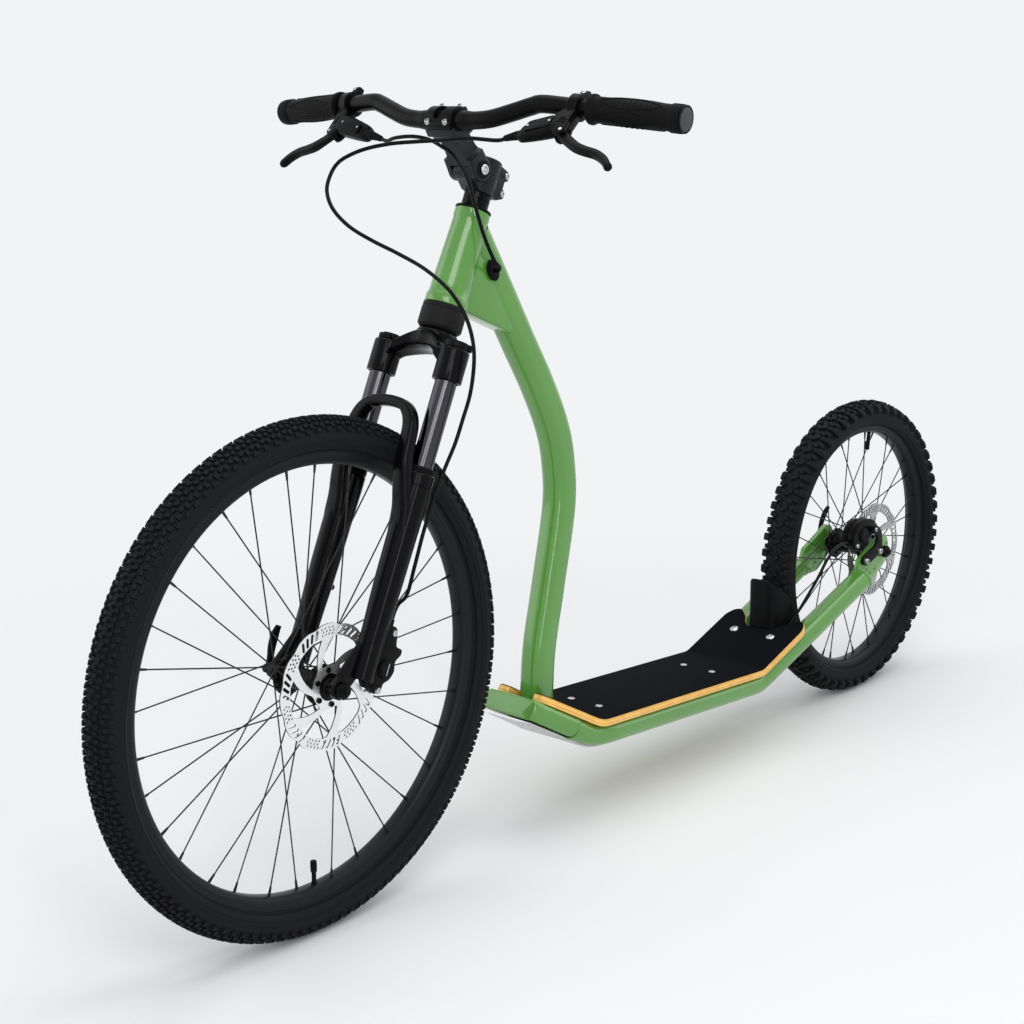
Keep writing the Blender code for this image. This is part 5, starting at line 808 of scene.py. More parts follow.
@dataclass
class Wheel(Assembly):
    """One spoked wheel with its tyre, hub and brake disc."""

    side: str
    axle: Matrix
    radius: float
    rim_radius: float
    rim_depth: float
    tread: Tread
    lacing_turn: float
    valve_turn: float
    disc_finish: Finish
    first_lead: int = 1
    tyre_half: float = 0.0265
    knob: float = 0.0036
    rim_half: float = 0.014
    spokes: int = 32
    flanges: tuple[float, float] = (0.024, -0.034)
    flange_radius: float = 0.0255
    hub_half: float = 0.0497
    disc_place: float = 0.0385
    disc_radius: float = 0.08
    disc_thickness: float = 0.0018
    body: str = field(init=False)

    def __post_init__(self) -> None:
        """Name the body that the wheel is."""
        self.body, self.home = self.side + "_wheel", self.axle

    def build(self) -> None:
        """Make all the wheel's pieces."""
        self.tyre()
        self.rim()
        self.lacing()
        self.hub()
        self.disc()
        LOG.info("%s wheel", self.side)

    def crown_arc(self) -> tuple[float, float]:
        """Return the radius at which the tread's arc is centred, and the arc's own radius."""
        arc = 0.0236
        return self.radius - self.knob - arc, arc

    def tyre(self) -> None:
        """Casing with a smooth sidewall, and rubber blocks on the tread."""
        centre, arc = self.crown_arc()
        rim = self.rim_radius
        half = [(centre + arc * cos(radians(a)), (self.tyre_half - 0.0012) * sin(radians(a)))
                for a in range(0, 91, 10)]
        drop = centre - rim
        half += [(rim + 0.62 * drop, 0.0246), (rim + 0.34 * drop, 0.0222), (rim + 0.16 * drop, 0.019),
                 *pairs(1.6, 15, 0.6, 14.3, -3, 11.8, -6, 10.5, out=rim)]
        profile = [(r, y) for r, y in half] + [(r, -y) for r, y in reversed(half[1:])]
        mesh = spun(profile, 144)
        line = pairs(7.5, 24.3, 8.3, 25.2, 9.1, 24.6, 8.3, 23, out=rim)
        for side in (1, -1):
            spun([(r, side * y) for r, y in line], 120, mesh=mesh)
            spun([(r + 0.0062, side * (y + 0.0006)) for r, y in line], 120, mesh=mesh)
        self.blocks(mesh)
        self.show(self.side + "_tyre_rubber", mesh, TYRE_RUBBER, self.side + "_tyre", sharp=28.0)

    def blocks(self, mesh: BMesh) -> None:
        """Set the tread blocks round the tyre, row by row.

        Args:
            mesh: the tyre's mesh, to which the blocks are added.
        """
        pitch, rows = TREADS[self.tread]
        form = self.block_form()
        count = round(2 * pi * self.radius / pitch)
        for k in range(count):
            for start, lean, turn, wide, long, more, stagger in rows:
                for sign in (1, -1) if lean else (1,):
                    share = start if sign > 0 else (start + stagger) % 1.0
                    place = self.on_tread(2 * pi * (k + share) / count, radians(sign * lean))
                    height = (self.knob + more / 1000) * (1.0 if lean < 30 else 0.93)
                    size = Matrix.Diagonal((wide / 1000, long / 1000, height, 1.0))
                    done = len(mesh.verts)
                    mesh.from_mesh(form)
                    mesh.verts.ensure_lookup_table()
                    bmesh.ops.transform(mesh, matrix=place @ turned(radians(sign * turn), "Z") @ size,
                                        verts=mesh.verts[done:])
        bpy.data.meshes.remove(form)

    def on_tread(self, angle: float, lean: float) -> Matrix:
        """Find a place on the tread, with its Z outwards and its Y round the wheel.

        Args:
            angle: the turn about the axle.
            lean: how far round the tread's arc it lies from the middle.

        Returns:
            The place.
        """
        centre, arc = self.crown_arc()
        out, ahead = Vector((cos(angle), 0, sin(angle))), Vector((-sin(angle), 0, cos(angle)))
        normal = (out * cos(lean) + Y_AXIS * sin(lean)).normalized()
        spot = out * (centre + arc * cos(lean)) + Y_AXIS * ((self.tyre_half - 0.0012) * sin(lean))
        return Matrix.Translation(spot) @ axes(ahead.cross(normal).normalized(), ahead, normal)

    @staticmethod
    def block_form() -> Mesh:
        """Return one tread block of unit size, with drawn-in top and open foot.

        Returns:
            The block's data.
        """
        part = bmesh.new()
        bmesh.ops.create_cube(part, size=1.0, matrix=at(0, 0, 0.5))
        top = [vert for vert in part.verts if vert.co.z > 0.5]
        bmesh.ops.scale(part, verts=top, vec=(0.86, 0.86, 1.0))
        foot = [vert for vert in part.verts if vert.co.z < 0.5]
        bmesh.ops.translate(part, verts=foot, vec=(0.0, 0.0, -0.3))
        bevelled(part, [edge for edge in part.edges if all(vert in top for vert in edge.verts)], 0.09, 1)
        return baked("tread_block", part)

    def rim(self) -> None:
        """Double-walled rim with a hooked edge and the valve in its rubber."""
        r, half, deep = self.rim_radius, self.rim_half, self.rim_depth
        side = [*pairs(-7, 0, -7, 7.5, -5, 11.2, -1.2, 11.6, -0.2, 12.2, out=r),
                *pairs(-0.2, -0.4, -0.8, 0, out=r, up=half), (r - 0.42 * deep, half - 0.0002),
                (r - 0.45 * deep, half - 0.0007), (r - 0.48 * deep, half - 0.0004),
                (r - 0.7 * deep, 0.88 * half), (r - 0.9 * deep, 0.68 * half), (r - 0.985 * deep, 0.44 * half),
                (r - deep, 0.0)]
        profile = side + [(a, -y) for a, y in reversed(side[1:-1])]
        mesh = spun(profile, 144)
        self.show(self.side + "_rim_section", mesh, RIM_BLACK, self.side + "_rim", sharp=30.0)
        seat = r - deep
        stem = pairs(0, 3, 3.4, 3, 4, -0.5, 3, -4, 2.9, -16, 4.1, -16.5, 4.3, -29, 3.6, -31, 0, -31.5,
                     up=seat)
        valve = spun(stem, 20, "Z", False)
        turn = turned(self.valve_turn)
        self.show(self.side + "_valve", valve, GRIP_RUBBER, place=self.axle @ turn)

    def lacing(self) -> None:
        """Crossed spokes with their nipples and heads."""
        mesh = bmesh.new()
        circle, wire, seat = 0.023, 0.00095, self.rim_radius - self.rim_depth + 0.001
        pitch = 4 * pi / self.spokes
        lean = 3 * pitch
        sets = ((self.flanges[0], self.lacing_turn, self.first_lead),
                (self.flanges[1], self.lacing_turn + pitch / 2, 1))
        for flange, first, lead in sets:
            for k in range(self.spokes // 2):
                leading = lead if k % 2 == 0 else -lead
                at_rim = first + pitch * k
                at_hub = at_rim - leading * lean
                u, v = polar(circle, at_hub)
                hole = Vector((u, flange + leading * 0.0026, v))
                head = Vector((u, flange - leading * 0.0028, v))
                far = Vector((cos(at_rim), 0, sin(at_rim))) * seat
                far.y = 0.0034 if flange > 0 else -0.0034
                rod(hole, far, wire, 8, mesh)
                back = (hole - far).normalized()
                rod(far, far + back * 0.0125, 0.002, 8, mesh, 0.0014)
                rod(hole + back * 0.0005, head, wire, 6, mesh)
                rod(head, head - Vector((0, leading * 0.0009, 0)), 0.0021, 10, mesh, 0.0012)
        self.show(self.side + "_spokes", mesh, SPOKE_BLACK, sharp=40.0)

    def hub(self) -> None:
        """Turned hub shell with its flanges and the disc's mount."""
        end, rad = self.hub_half, self.flange_radius
        left, right = self.flanges
        mount = self.disc_place - self.disc_thickness / 2 - 0.0001
        profile = [*pairs(5.2, 0, 10, 0, 10.5, 1, 10.5, 6, 15, 7.5, up=-end), (0.017, right - 0.0032),
                   *pairs(-1, -2.6, 0, -1.4, 0, 1.4, -1, 2.6, out=rad, up=right),
                   *pairs(18, 3.6, 15, 9, 13.8, 20, up=right), *pairs(13.8, -16, 15, -9, 18, -3.6, up=left),
                   *pairs(-1, -2.6, 0, -1.4, 0, 1.4, -1.2, 2.6, out=rad, up=left), (0.0226, left + 0.004),
                   *pairs(22.2, 0, 17, 0, 17, 2.2, 12, 3.5, 10.5, 5, up=mount),
                   *pairs(10.5, -1, 10, 0, 5.2, 0, up=end)]
        mesh = spun(profile, 64)
        self.show(self.side + "_hub_shell", mesh, SATIN_BLACK, self.side + "_hub", sharp=30.0)

    def disc(self) -> None:
        """Ground steel disc: wavy band with slots and holes, curved arms, and six bolts."""
        low, high = -self.disc_thickness / 2, self.disc_thickness / 2
        waves, outline = 12, []
        for k in range(240):
            angle = 2 * pi * k / 240
            radius = self.disc_radius - 0.0024 * ((1 - cos(waves * angle)) / 2) ** 2
            outline.append(polar(radius, angle))
        place = self.axle @ at(0, self.disc_place, 0)
        piece = shown(self.side + "_disc", plate(outline, low, high), self.disc_finish, self.body,
                      [self.side + "_rotor"])
        rooms = bmesh.new()
        inner, outer = 0.0275, 0.0645
        for k in range(6):
            edge = self.window(k, inner, outer)
            merged(rooms, plate(edge, low - CLEAR, high + CLEAR))
        rods, groups = [], 7
        for k in range(groups):
            start = 2 * pi * k / groups
            for j in range(4):
                angle = start + radians(3.5 + 6.6 * j)
                rods.append(((0.0675, angle - 0.026), (0.075, angle + 0.034), 0.002))
                for row in range(3):
                    angle = start + radians(30.5 + 4.6 * j + (1.6 if row == 1 else 0.0))
                    rods.append(((0.0672 + 0.004 * row, angle), None, 0.00145))
        for first, second, radius in rods:
            self.slot(rooms, first, second, radius, low, high)
        spun([*pairs(0, -2, 17.2, -2, up=low), *pairs(17.2, 2, 0, 2, up=high)], 48, "Y", False, rooms)
        cut(piece, rooms)
        # Faces square to the disc take the darker finish: painted shade on the walls of the holes, slots and
        # windows and on the rims.
        piece.data.materials.append(DISC_EDGE_SHADE.material())
        for face in piece.data.polygons:
            face.material_index = int(abs(face.normal.y) < 0.5)
        piece.data.transform(place)
        bolts = bmesh.new()
        for k in range(6):
            angle = 2 * pi * (k + 0.42) / 6
            spot = Vector((0.0222 * cos(angle), high, 0.0222 * sin(angle)))
            hex_bolt(bolts, Matrix.Translation(spot) @ turned(-pi / 2, "X"), 0.0036, 0.0022)
        self.show(self.side + "_disc_bolts", bolts, SATIN_BLACK, place=place)

    @staticmethod
    def window(k: int, inner: float, outer: float) -> Outline:
        """Return the outline of the opening between two curved arms, with rounded corners.

        Args:
            k: the opening's number.
            inner: its inner radius.
            outer: its outer radius.

        Returns:
            The outline.
        """
        step, sweep, edge = pi / 3, 0.6, []
        sides = ((0.06, inner, outer, sweep, (0.12, 0.34, 0.56, 0.78)),
                 (0.8, outer, inner, 0.0, (0.86, 0.5, 0.14)))
        for turn, near, far, swing, shares in sides:
            for share in (0.06, 0.3, 0.5, 0.7, 0.94):
                radius = near + (far - near) * share
                curve = sweep * ((radius - inner) / (outer - inner)) ** 0.8
                edge.append(polar(radius, step * (k + turn) + curve))
            edge += [polar(far, step * (k + 0.06 + 0.74 * share) + swing) for share in shares]
        return edge

    @staticmethod
    def slot(rooms: BMesh, first: tuple[float, float], second: tuple[float, float] | None, radius: float,
             low: float, high: float) -> None:
        """Add the room of a round hole, or of a slot with round ends.

        Args:
            rooms: the mesh to add to.
            first: (radius, angle) of the hole, or of the slot's start.
            second: (radius, angle) of the slot's end, or None for a hole.
            radius: half the opening's width.
            low: the disc's one face.
            high: its other face.
        """
        a = Vector(polar(*first))
        if second is None:
            outline = [(a.x + u, a.y + v) for u, v in ring(radius, 8)]
        else:
            b = Vector(polar(*second))
            turn = atan2((b - a).y, (b - a).x)
            outline = []
            for centre, start in ((b, turn - pi / 2), (a, turn + pi / 2)):
                outline += [tuple(centre + Vector(polar(radius, start + pi * k / 4))) for k in range(5)]
        merged(rooms, plate(outline, low - CLEAR, high + CLEAR))


@dataclass
class DeckLine:
    """The deck's underside seen from the side, in the scooter's own frame, with its two bends rounded."""

    rear_x: float
    front_x: float
    height: float = 0.1303
    rear_bend: float = 0.377
    front_bend: float = 0.78
    slope: float = radians(3.78)
    kick: float = radians(19.7)
    nose_kick: float = radians(30.0)
    radius: float = 0.045
    steps: int = 12

    def __post_init__(self) -> None:
        """Work out the line's points and the distance along it at each."""
        rear = Vector((self.rear_bend, self.height))
        front = Vector((self.front_bend, self.height + (self.front_bend - self.rear_bend) * tan(self.slope)))
        start = rear + Vector((self.rear_x - rear.x, (rear.x - self.rear_x) * tan(self.kick)))
        end = front + Vector((self.front_x - front.x, (self.front_x - front.x) * tan(self.nose_kick)))
        self.points = [start]
        for before, corner, after in ((start, rear, front), (rear, front, end)):
            into, out = (corner - before).normalized(), (after - corner).normalized()
            reach = self.radius * tan(into.angle(out) / 2)
            first, last = corner - into * reach, corner + out * reach
            self.points += eased(first, corner, last, self.steps)
        self.points.append(end)
        self.places = [0.0]
        for a, b in zip(self.points, self.points[1:]):
            self.places.append(self.places[-1] + (b - a).length)
        self.length = self.places[-1]

    def direction(self, k: int) -> Vector:
        """Return the line's direction at one of its points."""
        return (self.points[min(k + 1, len(self.points) - 1)] - self.points[max(k - 1, 0)]).normalized()

    def at(self, place: float, height: float = 0.0) -> Vector:
        """Return the (x, z) point at a distance along the line and a height square to it.

        Args:
            place: the distance along the line.
            height: how far above the line, square to it.

        Returns:
            The point.
        """
        place = min(max(place, 0.0), self.length)
        k = 0
        while k < len(self.places) - 2 and self.places[k + 1] < place:
            k += 1
        share = (place - self.places[k]) / (self.places[k + 1] - self.places[k])
        point = self.points[k].lerp(self.points[k + 1], share)
        normal = self.direction(k).lerp(self.direction(k + 1), share).normalized()
        return point + Vector((-normal.y, normal.x)) * height

    def place_of(self, x: float) -> float:
        """Return the distance along the line at which it reaches x.

        Args:
            x: the distance from the rear axle.

        Returns:
            The distance along the line.
        """
        for a, b, start in zip(self.points, self.points[1:], self.places):
            if x <= b.x or b is self.points[-1]:
                return start + (x - a.x) / (b.x - a.x) * (b - a).length
        return self.length

    def seat(self, place: float, side: float, height: float) -> Matrix:
        """Return a place on the line whose X runs forward along it and whose Z stands square to it.

        Args:
            place: the distance along the line.
            side: the distance from the scooter's middle.
            height: how far above the line.

        Returns:
            The place.
        """
        low, high = self.at(place, 0.0), self.at(place, 1.0)
        up = Vector((high.x - low.x, 0, high.y - low.y))
        ahead = Vector((up.z, 0, -up.x))
        return Matrix.Translation(Vector((low.x, side, low.y)) + up * height) @ axes(ahead, Y_AXIS, up)


def filleted(outline: Outline, radius: float, steps: int = 4) -> Outline:
    """Return an outline whose corners are rounded.

    Args:
        outline: the corners, in order.
        radius: how far along each side a corner's round reaches, at most.
        steps: facets of a corner.

    Returns:
        The rounded outline.
    """
    points, count = [], len(outline)
    for k in range(count):
        before, corner, after = (Vector(outline[(k + n) % count]) for n in (-1, 0, 1))
        reach = min(radius, 0.45 * (corner - before).length, 0.45 * (after - corner).length)
        first = corner + (before - corner).normalized() * reach
        last = corner + (after - corner).normalized() * reach
        points += [tuple(point) for point in eased(first, corner, last, steps)]
    return points


def bead(loop: Sequence[Vector], radius: float, ripple: float = 0.003) -> BMesh:
    """Return a weld bead round a closed loop of points, with its ripples.

    Args:
        loop: points of the joint.
        radius: the bead's radius.
        ripple: the length of one ripple.

    Returns:
        A closed mesh.
    """
    closed = [*loop, loop[0]]
    route, along = [], 0.0
    for a, b in zip(closed, closed[1:]):
        steps = max(1, round((b - a).length / 0.0011))
        route += [a.lerp(b, k / steps) for k in range(steps)]
    sizes = []
    for k, point in enumerate(route):
        along += (point - route[k - 1]).length if k else 0.0
        swell = 1.0 + 0.16 * abs(sin(pi * along / ripple))
        sizes.append((radius * swell, radius * swell))
    places = stations([*route, route[0]], [*sizes, sizes[0]], Vector((0.13, 0.11, 0.98)).normalized())
    return drawn(ring(1.0, 7), places)


@dataclass
class Frame(Assembly):
    """Welded frame: down tube, head tube, gusset, side rails, front box, dropouts and bearers."""

    layout: Layout
    foot_x: float = 0.838
    top_height: float = 0.107
    depth: float = 0.046
    width: float = 0.04
    rail_rear: float = 0.082
    rail_front: float = 0.815
    rail_high: float = 0.031
    rail_wide: float = 0.038
    box_front: float = 0.889
    head_length: float = 0.128
    body: str = "frame"

    def __post_init__(self) -> None:
        """Work out the side rails' line and the down tube's route."""
        self.home = self.layout.scooter
        self.line = DeckLine(self.rail_rear, self.box_front)
        self.route = self.down_tube_route()

    def build(self) -> None:
        """Make all the frame's pieces."""
        self.down_tube()
        self.head()
        self.gusset()
        self.rails()
        self.front_box()
        self.bearers()
        for side, label in SIDES:
            self.dropout(side, label)
        self.grommet()
        LOG.info("frame")

    def nose_height(self, x: float) -> float:
        """Return the height of the deck's underside on the nose."""
        rise = (self.line.front_bend - self.line.rear_bend) * tan(self.line.slope)
        return self.line.height + rise + (x - self.line.front_bend) * tan(self.line.nose_kick)

    def down_tube_route(self) -> list[Vector]:
        """Return the bowed centre line from the front box to the steering axis.

        Returns:
            The points, from the foot up.
        """
        foot = Vector((self.foot_x, 0, self.nose_height(self.foot_x)))
        chord = self.layout.on_steering(0, 0, self.top_height) - foot
        back = Vector((chord.z, 0, -chord.x))
        bows = ((0.11, 0.03), (0.23, 0.082), (0.38, 0.146), (0.47, 0.162), (0.55, 0.158), (0.65, 0.13),
                (0.75, 0.092), (0.87, 0.048))
        return smooth([foot, *(foot + chord * share - back * bow for share, bow in bows), foot + chord], 0.01)

    def down_tube(self) -> None:
        """Down tube with rounded corners, and the weld bead round its foot."""
        section = rounded(self.depth, self.width, 0.0164, 8)
        places = stations(self.route)
        sunk = self.route[0] - (self.route[1] - self.route[0]).normalized() * 0.01
        places.insert(0, Matrix.Translation(sunk - self.route[0]) @ places[0])
        last = [k for k, point in enumerate(self.route) if self.gap_to_head(point) > 0.012][-1]
        mesh = drawn(section, places[:last + 3])
        self.show("down_tube_skin", mesh, GREEN_PAINT, "down_tube", sharp=40.0)
        foot, loop = places[1], []
        for u, v in section:
            point = foot @ Vector((u * 1.01, v * 1.01, 0))
            loop.append(Vector((point.x, point.y, self.nose_height(point.x) + 0.0004)))
        beads = bead(loop, 0.0021)
        self.show("down_tube_welds", beads, WELD_PAINT, sharp=60.0)

    def gap_to_head(self, point: Vector) -> float:
        """Return how far a point lies behind the steering axis."""
        local = self.layout.steering.inverted() @ self.home @ point
        return -local.x

    def head(self) -> None:
        """Head tube with a collar at each end, and the two headset cups."""
        top, bottom, length = 0.0225, 0.0275, self.head_length
        profile = [(0.0178, 0.0006),
                   *pairs(0, 0, 0.8, 0.8, 0.8, 11, 0.2, 12, -0.8, 13.5, -1.6, 30, out=bottom),
                   *pairs(1.2, -45, 0, -13.5, 0.3, -11.5, 0.8, -10.5, 0.8, -0.8, 0, 0, out=top, up=length),
                   (0.0178, length - 0.0006)]
        self.show("head_tube_skin", spun(profile, 64, "Z"), GREEN_PAINT, "head_tube",
                  place=self.layout.steering)
        start = length + GAP
        cup = pairs(15, 0, 23, 0, 23.6, 0.6, 23.6, 2.6, 23, 3.2, 20, 4.4, 19.2, 5, 15, 5, up=start)
        self.show("upper_cup", spun(cup, 64, "Z"), SATIN_BLACK, "upper_headset_cup",
                  place=self.layout.steering)
        low = -0.0325
        cup = [*pairs(15, 0, 24.5, 0, 26.2, 1, 28.6, 3.6, 29, 5, up=low),
               *pairs(29, -7.5, 28.6, -6.2, 28, -5.5, 28.6, -4.8, 28.6, -0.8, 28, -0.3, 15, -0.3)]
        self.show("lower_cup", spun(cup, 64, "Z"), MATT_BLACK, "lower_headset_cup",
                  place=self.layout.steering)

    def gusset(self) -> None:
        """Boxed gusset in the corner between the head tube and the down tube."""
        foot = self.layout.on_steering(0, 0, 0).z - 0.053
        inside = min(self.route, key=lambda point: abs(point.z - foot))
        upper = min(self.route, key=lambda point: abs(point.z - foot - 0.075))
        low, high = self.layout.on_steering(0, 0, 0.001), self.layout.on_steering(0, 0, 0.085)
        outline = [(low.x, low.z), (high.x, high.z), (upper.x, upper.z), (inside.x, inside.z)]
        mesh = plate(outline, -0.018, 0.018, 0.005, 4)
        self.show("neck_gusset_skin", mesh, GREEN_PAINT, "neck_gusset")

    def spread(self, x: float) -> float:
        """Return the distance of a rail's centre line from the scooter's middle.

        Args:
            x: the distance from the rear axle.

        Returns:
            The distance.
        """
        middle, front, rear = 0.056, 0.047, 0.062
        if x < self.line.rear_bend:
            length = self.line.rear_bend - self.rail_rear
            return middle + (rear - middle) * (self.line.rear_bend - x) / length
        start = self.line.front_bend - 0.03
        if x > start:
            return middle + (front - middle) * min(1.0, (x - start) / (self.rail_front - start))
        return middle

    def rails(self) -> None:
        """Side rails that sweep up as stays, with a weld bead at each end."""
        section = rounded(self.rail_high, self.rail_wide, 0.014, 7)
        drop = GAP + self.rail_high / 2
        end = self.line.place_of(self.rail_front)
        count = round(end / 0.008)
        for side, label in SIDES:
            places = []
            for k in range(count + 1):
                place = end * k / count
                seat = self.line.seat(place, side * self.spread(self.line.at(place).x), -drop)
                places.append(seat @ STANDING)
            mesh = drawn(section, places)
            self.show(label + "_rail_skin", mesh, GREEN_PAINT, label + "_rail")
            small = scaled(0.985, 0.985)
            loop = [places[0] @ small @ Vector((u, v, -0.0006)) for u, v in section]
            beads = bead(loop, 0.0018)
            loop = [places[-1] @ small @ Vector((u, v, 0.0004)) for u, v in section]
            merged(beads, bead(loop, 0.0016))
            self.show(label + "_rail_welds", beads, WELD_PAINT, sharp=60.0)

    def front_box(self) -> None:
        """Wide flattened box at the front that joins the rails and carries the down tube."""
        start = self.line.place_of(self.rail_front) + GAP
        high, rear, front, edge = 0.029, 2 * 0.047 + self.rail_wide, 0.094, 0.955
        stops = [(share, 0.0) for share in (0.0, 0.25, 0.5, 0.75, edge)]
        stops += [(edge + (1 - edge) * sin(a), 0.003 * (1 - cos(a)))
                  for a in map(radians, (20, 40, 60, 80, 90))]
        places = []
        for share, drawn_in in stops:
            seat = self.line.seat(start + (self.line.length - start) * share, 0.0, -GAP - high / 2)
            wide = (rear + (front - rear) * share - 2 * drawn_in) / rear
            places.append(seat @ STANDING @ scaled((high - 2 * drawn_in) / high, wide))
        self.show("front_box_skin", drawn(rounded(high, rear, 0.0125, 7), places), GREEN_PAINT,
                  "front_crossmember")
        first, last = self.line.place_of(self.line.front_bend - 0.05), self.line.length - 0.006
        strip, count, thick, half = [], 32, 0.0025, 0.06
        under = -2 * GAP - self.rail_high - thick / 2
        for k in range(count + 1):
            seat = self.line.seat(first + (last - first) * k / count, 0.0, under)
            strip.append(seat @ STANDING @ scaled(thick, 2 * (half + (front / 2 - 0.004 - half) * k / count)))
        self.show("skid_plate", drawn(rounded(1.0, 1.0, 0.01, 2), strip), STRIP_METAL, "skid_strip")

    def bearers(self) -> None:
        """Plates between the rails under the deck, with the bolts and nuts that hold it."""
        thick, board = 0.004, 0.010
        bearers = (("front", 0.73, 0.026, 0.0052, 0.001), ("middle", 0.452, 0.027, 0.0052, 0.001),
                   ("rear", 0.299, 0.035, 0.0072, 0.0025))
        for name, x, spread, head, dome in bearers:
            name, place = "deck_bearer_" + name, self.line.place_of(x)
            size = (0.03, 2 * (self.spread(x) - 0.012), thick)
            self.show(name + "_plate", block(size, self.line.seat(place, 0.0, -GAP - thick / 2), 0.0008),
                      GREEN_PAINT, name)
            profile = [(0.0, 0.3 * dome), (0.52 * head, 0.3 * dome), (0.56 * head, dome),
                       (0.76 * head, 0.84 * dome), (0.94 * head, 0.48 * dome), (head, 0.0), (0.0, 0.0)]
            bolts = bmesh.new()
            for side in (1, -1):
                spun(profile, 32, "Z", True, bolts, self.line.seat(place, side * spread, board + GAP + 0.001))
                under = self.line.seat(place, side * spread, -GAP - thick) @ turned(pi, "X")
                merged(bolts, drawn(ring(0.0055, 6), [under, under @ at(0, 0, 0.0052)]))
            self.show(name + "_bolts", bolts, BOLT_STEEL)

    def dropout(self, side: int, label: str) -> None:
        """Drilled plate at a stay's end that holds the rear axle.

        Args:
            side: 1 for the left, -1 for the right.
            label: "left" or "right".
        """
        axle = self.layout.rear_axle_height
        drop = GAP + self.rail_high / 2
        low_end, high_end = (self.line.at(0.0, -drop + height) for height in (-0.014, 0.015))
        outline = [tuple(low_end), tuple(high_end),
                   *pairs(74, 1, 58, 7, 24, 22, 8, 30, -8, 28, -17, 14, -18, -4, -12, -18, 8, -30, 34, -46,
                          up=axle)]
        near = 0.0503
        low, high = sorted((side * near, side * (near + 0.008)))
        mesh = plate(filleted(outline, 0.006, 3), low, high, 0.001, 2)
        piece = shown(label + "_dropout_plate", mesh, GREEN_PAINT, self.body, [label + "_dropout"])
        rooms = bmesh.new()
        for x, z, radius in ((0.0, 0.0, 0.0055), (0.012, 0.018, 0.0022), (-0.01, 0.012, 0.0022),
                             (0.052, -0.022, 0.0022), (0.04, -0.03, 0.0022), (0.058, -0.038, 0.0022),
                             (0.026, -0.026, 0.0022)):
            hole = [(x + u, axle + z + v) for u, v in ring(radius, 20)]
            merged(rooms, plate(hole, low - CLEAR, high + CLEAR))
        cut(piece, rooms)
        piece.data.transform(self.home)

    def grommet_place(self) -> Vector:
        """Return the middle of the grommet on the down tube's left face.

        Returns:
            The point.
        """
        top = self.layout.on_steering(0, 0, self.top_height)
        centre = min(self.route, key=lambda point: abs((point - top).length - 0.062))
        return Vector((centre.x + 0.008, self.width / 2, centre.z - 0.004))

    def grommet(self) -> None:
        """Oval rubber grommet round the rear hose, with a rolled lip."""
        lean = radians(28.0)
        place = Matrix.Translation(self.grommet_place())
        mesh = None
        for low, high, grow in ((0.0001, 0.0026, 1.0), (0.002, 0.0041, 0.8)):
            outline = []
            for u, v in ring(grow, 48):
                outline.append((0.0102 * u * cos(lean) + 0.015 * v * sin(lean),
                                -0.0102 * u * sin(lean) + 0.015 * v * cos(lean)))
            mesh = merged(mesh, plate(outline, low, high, 0.0008, 3))
        self.show("frame_grommet", mesh, GRIP_RUBBER, "hose_grommet", place=self.home @ place)


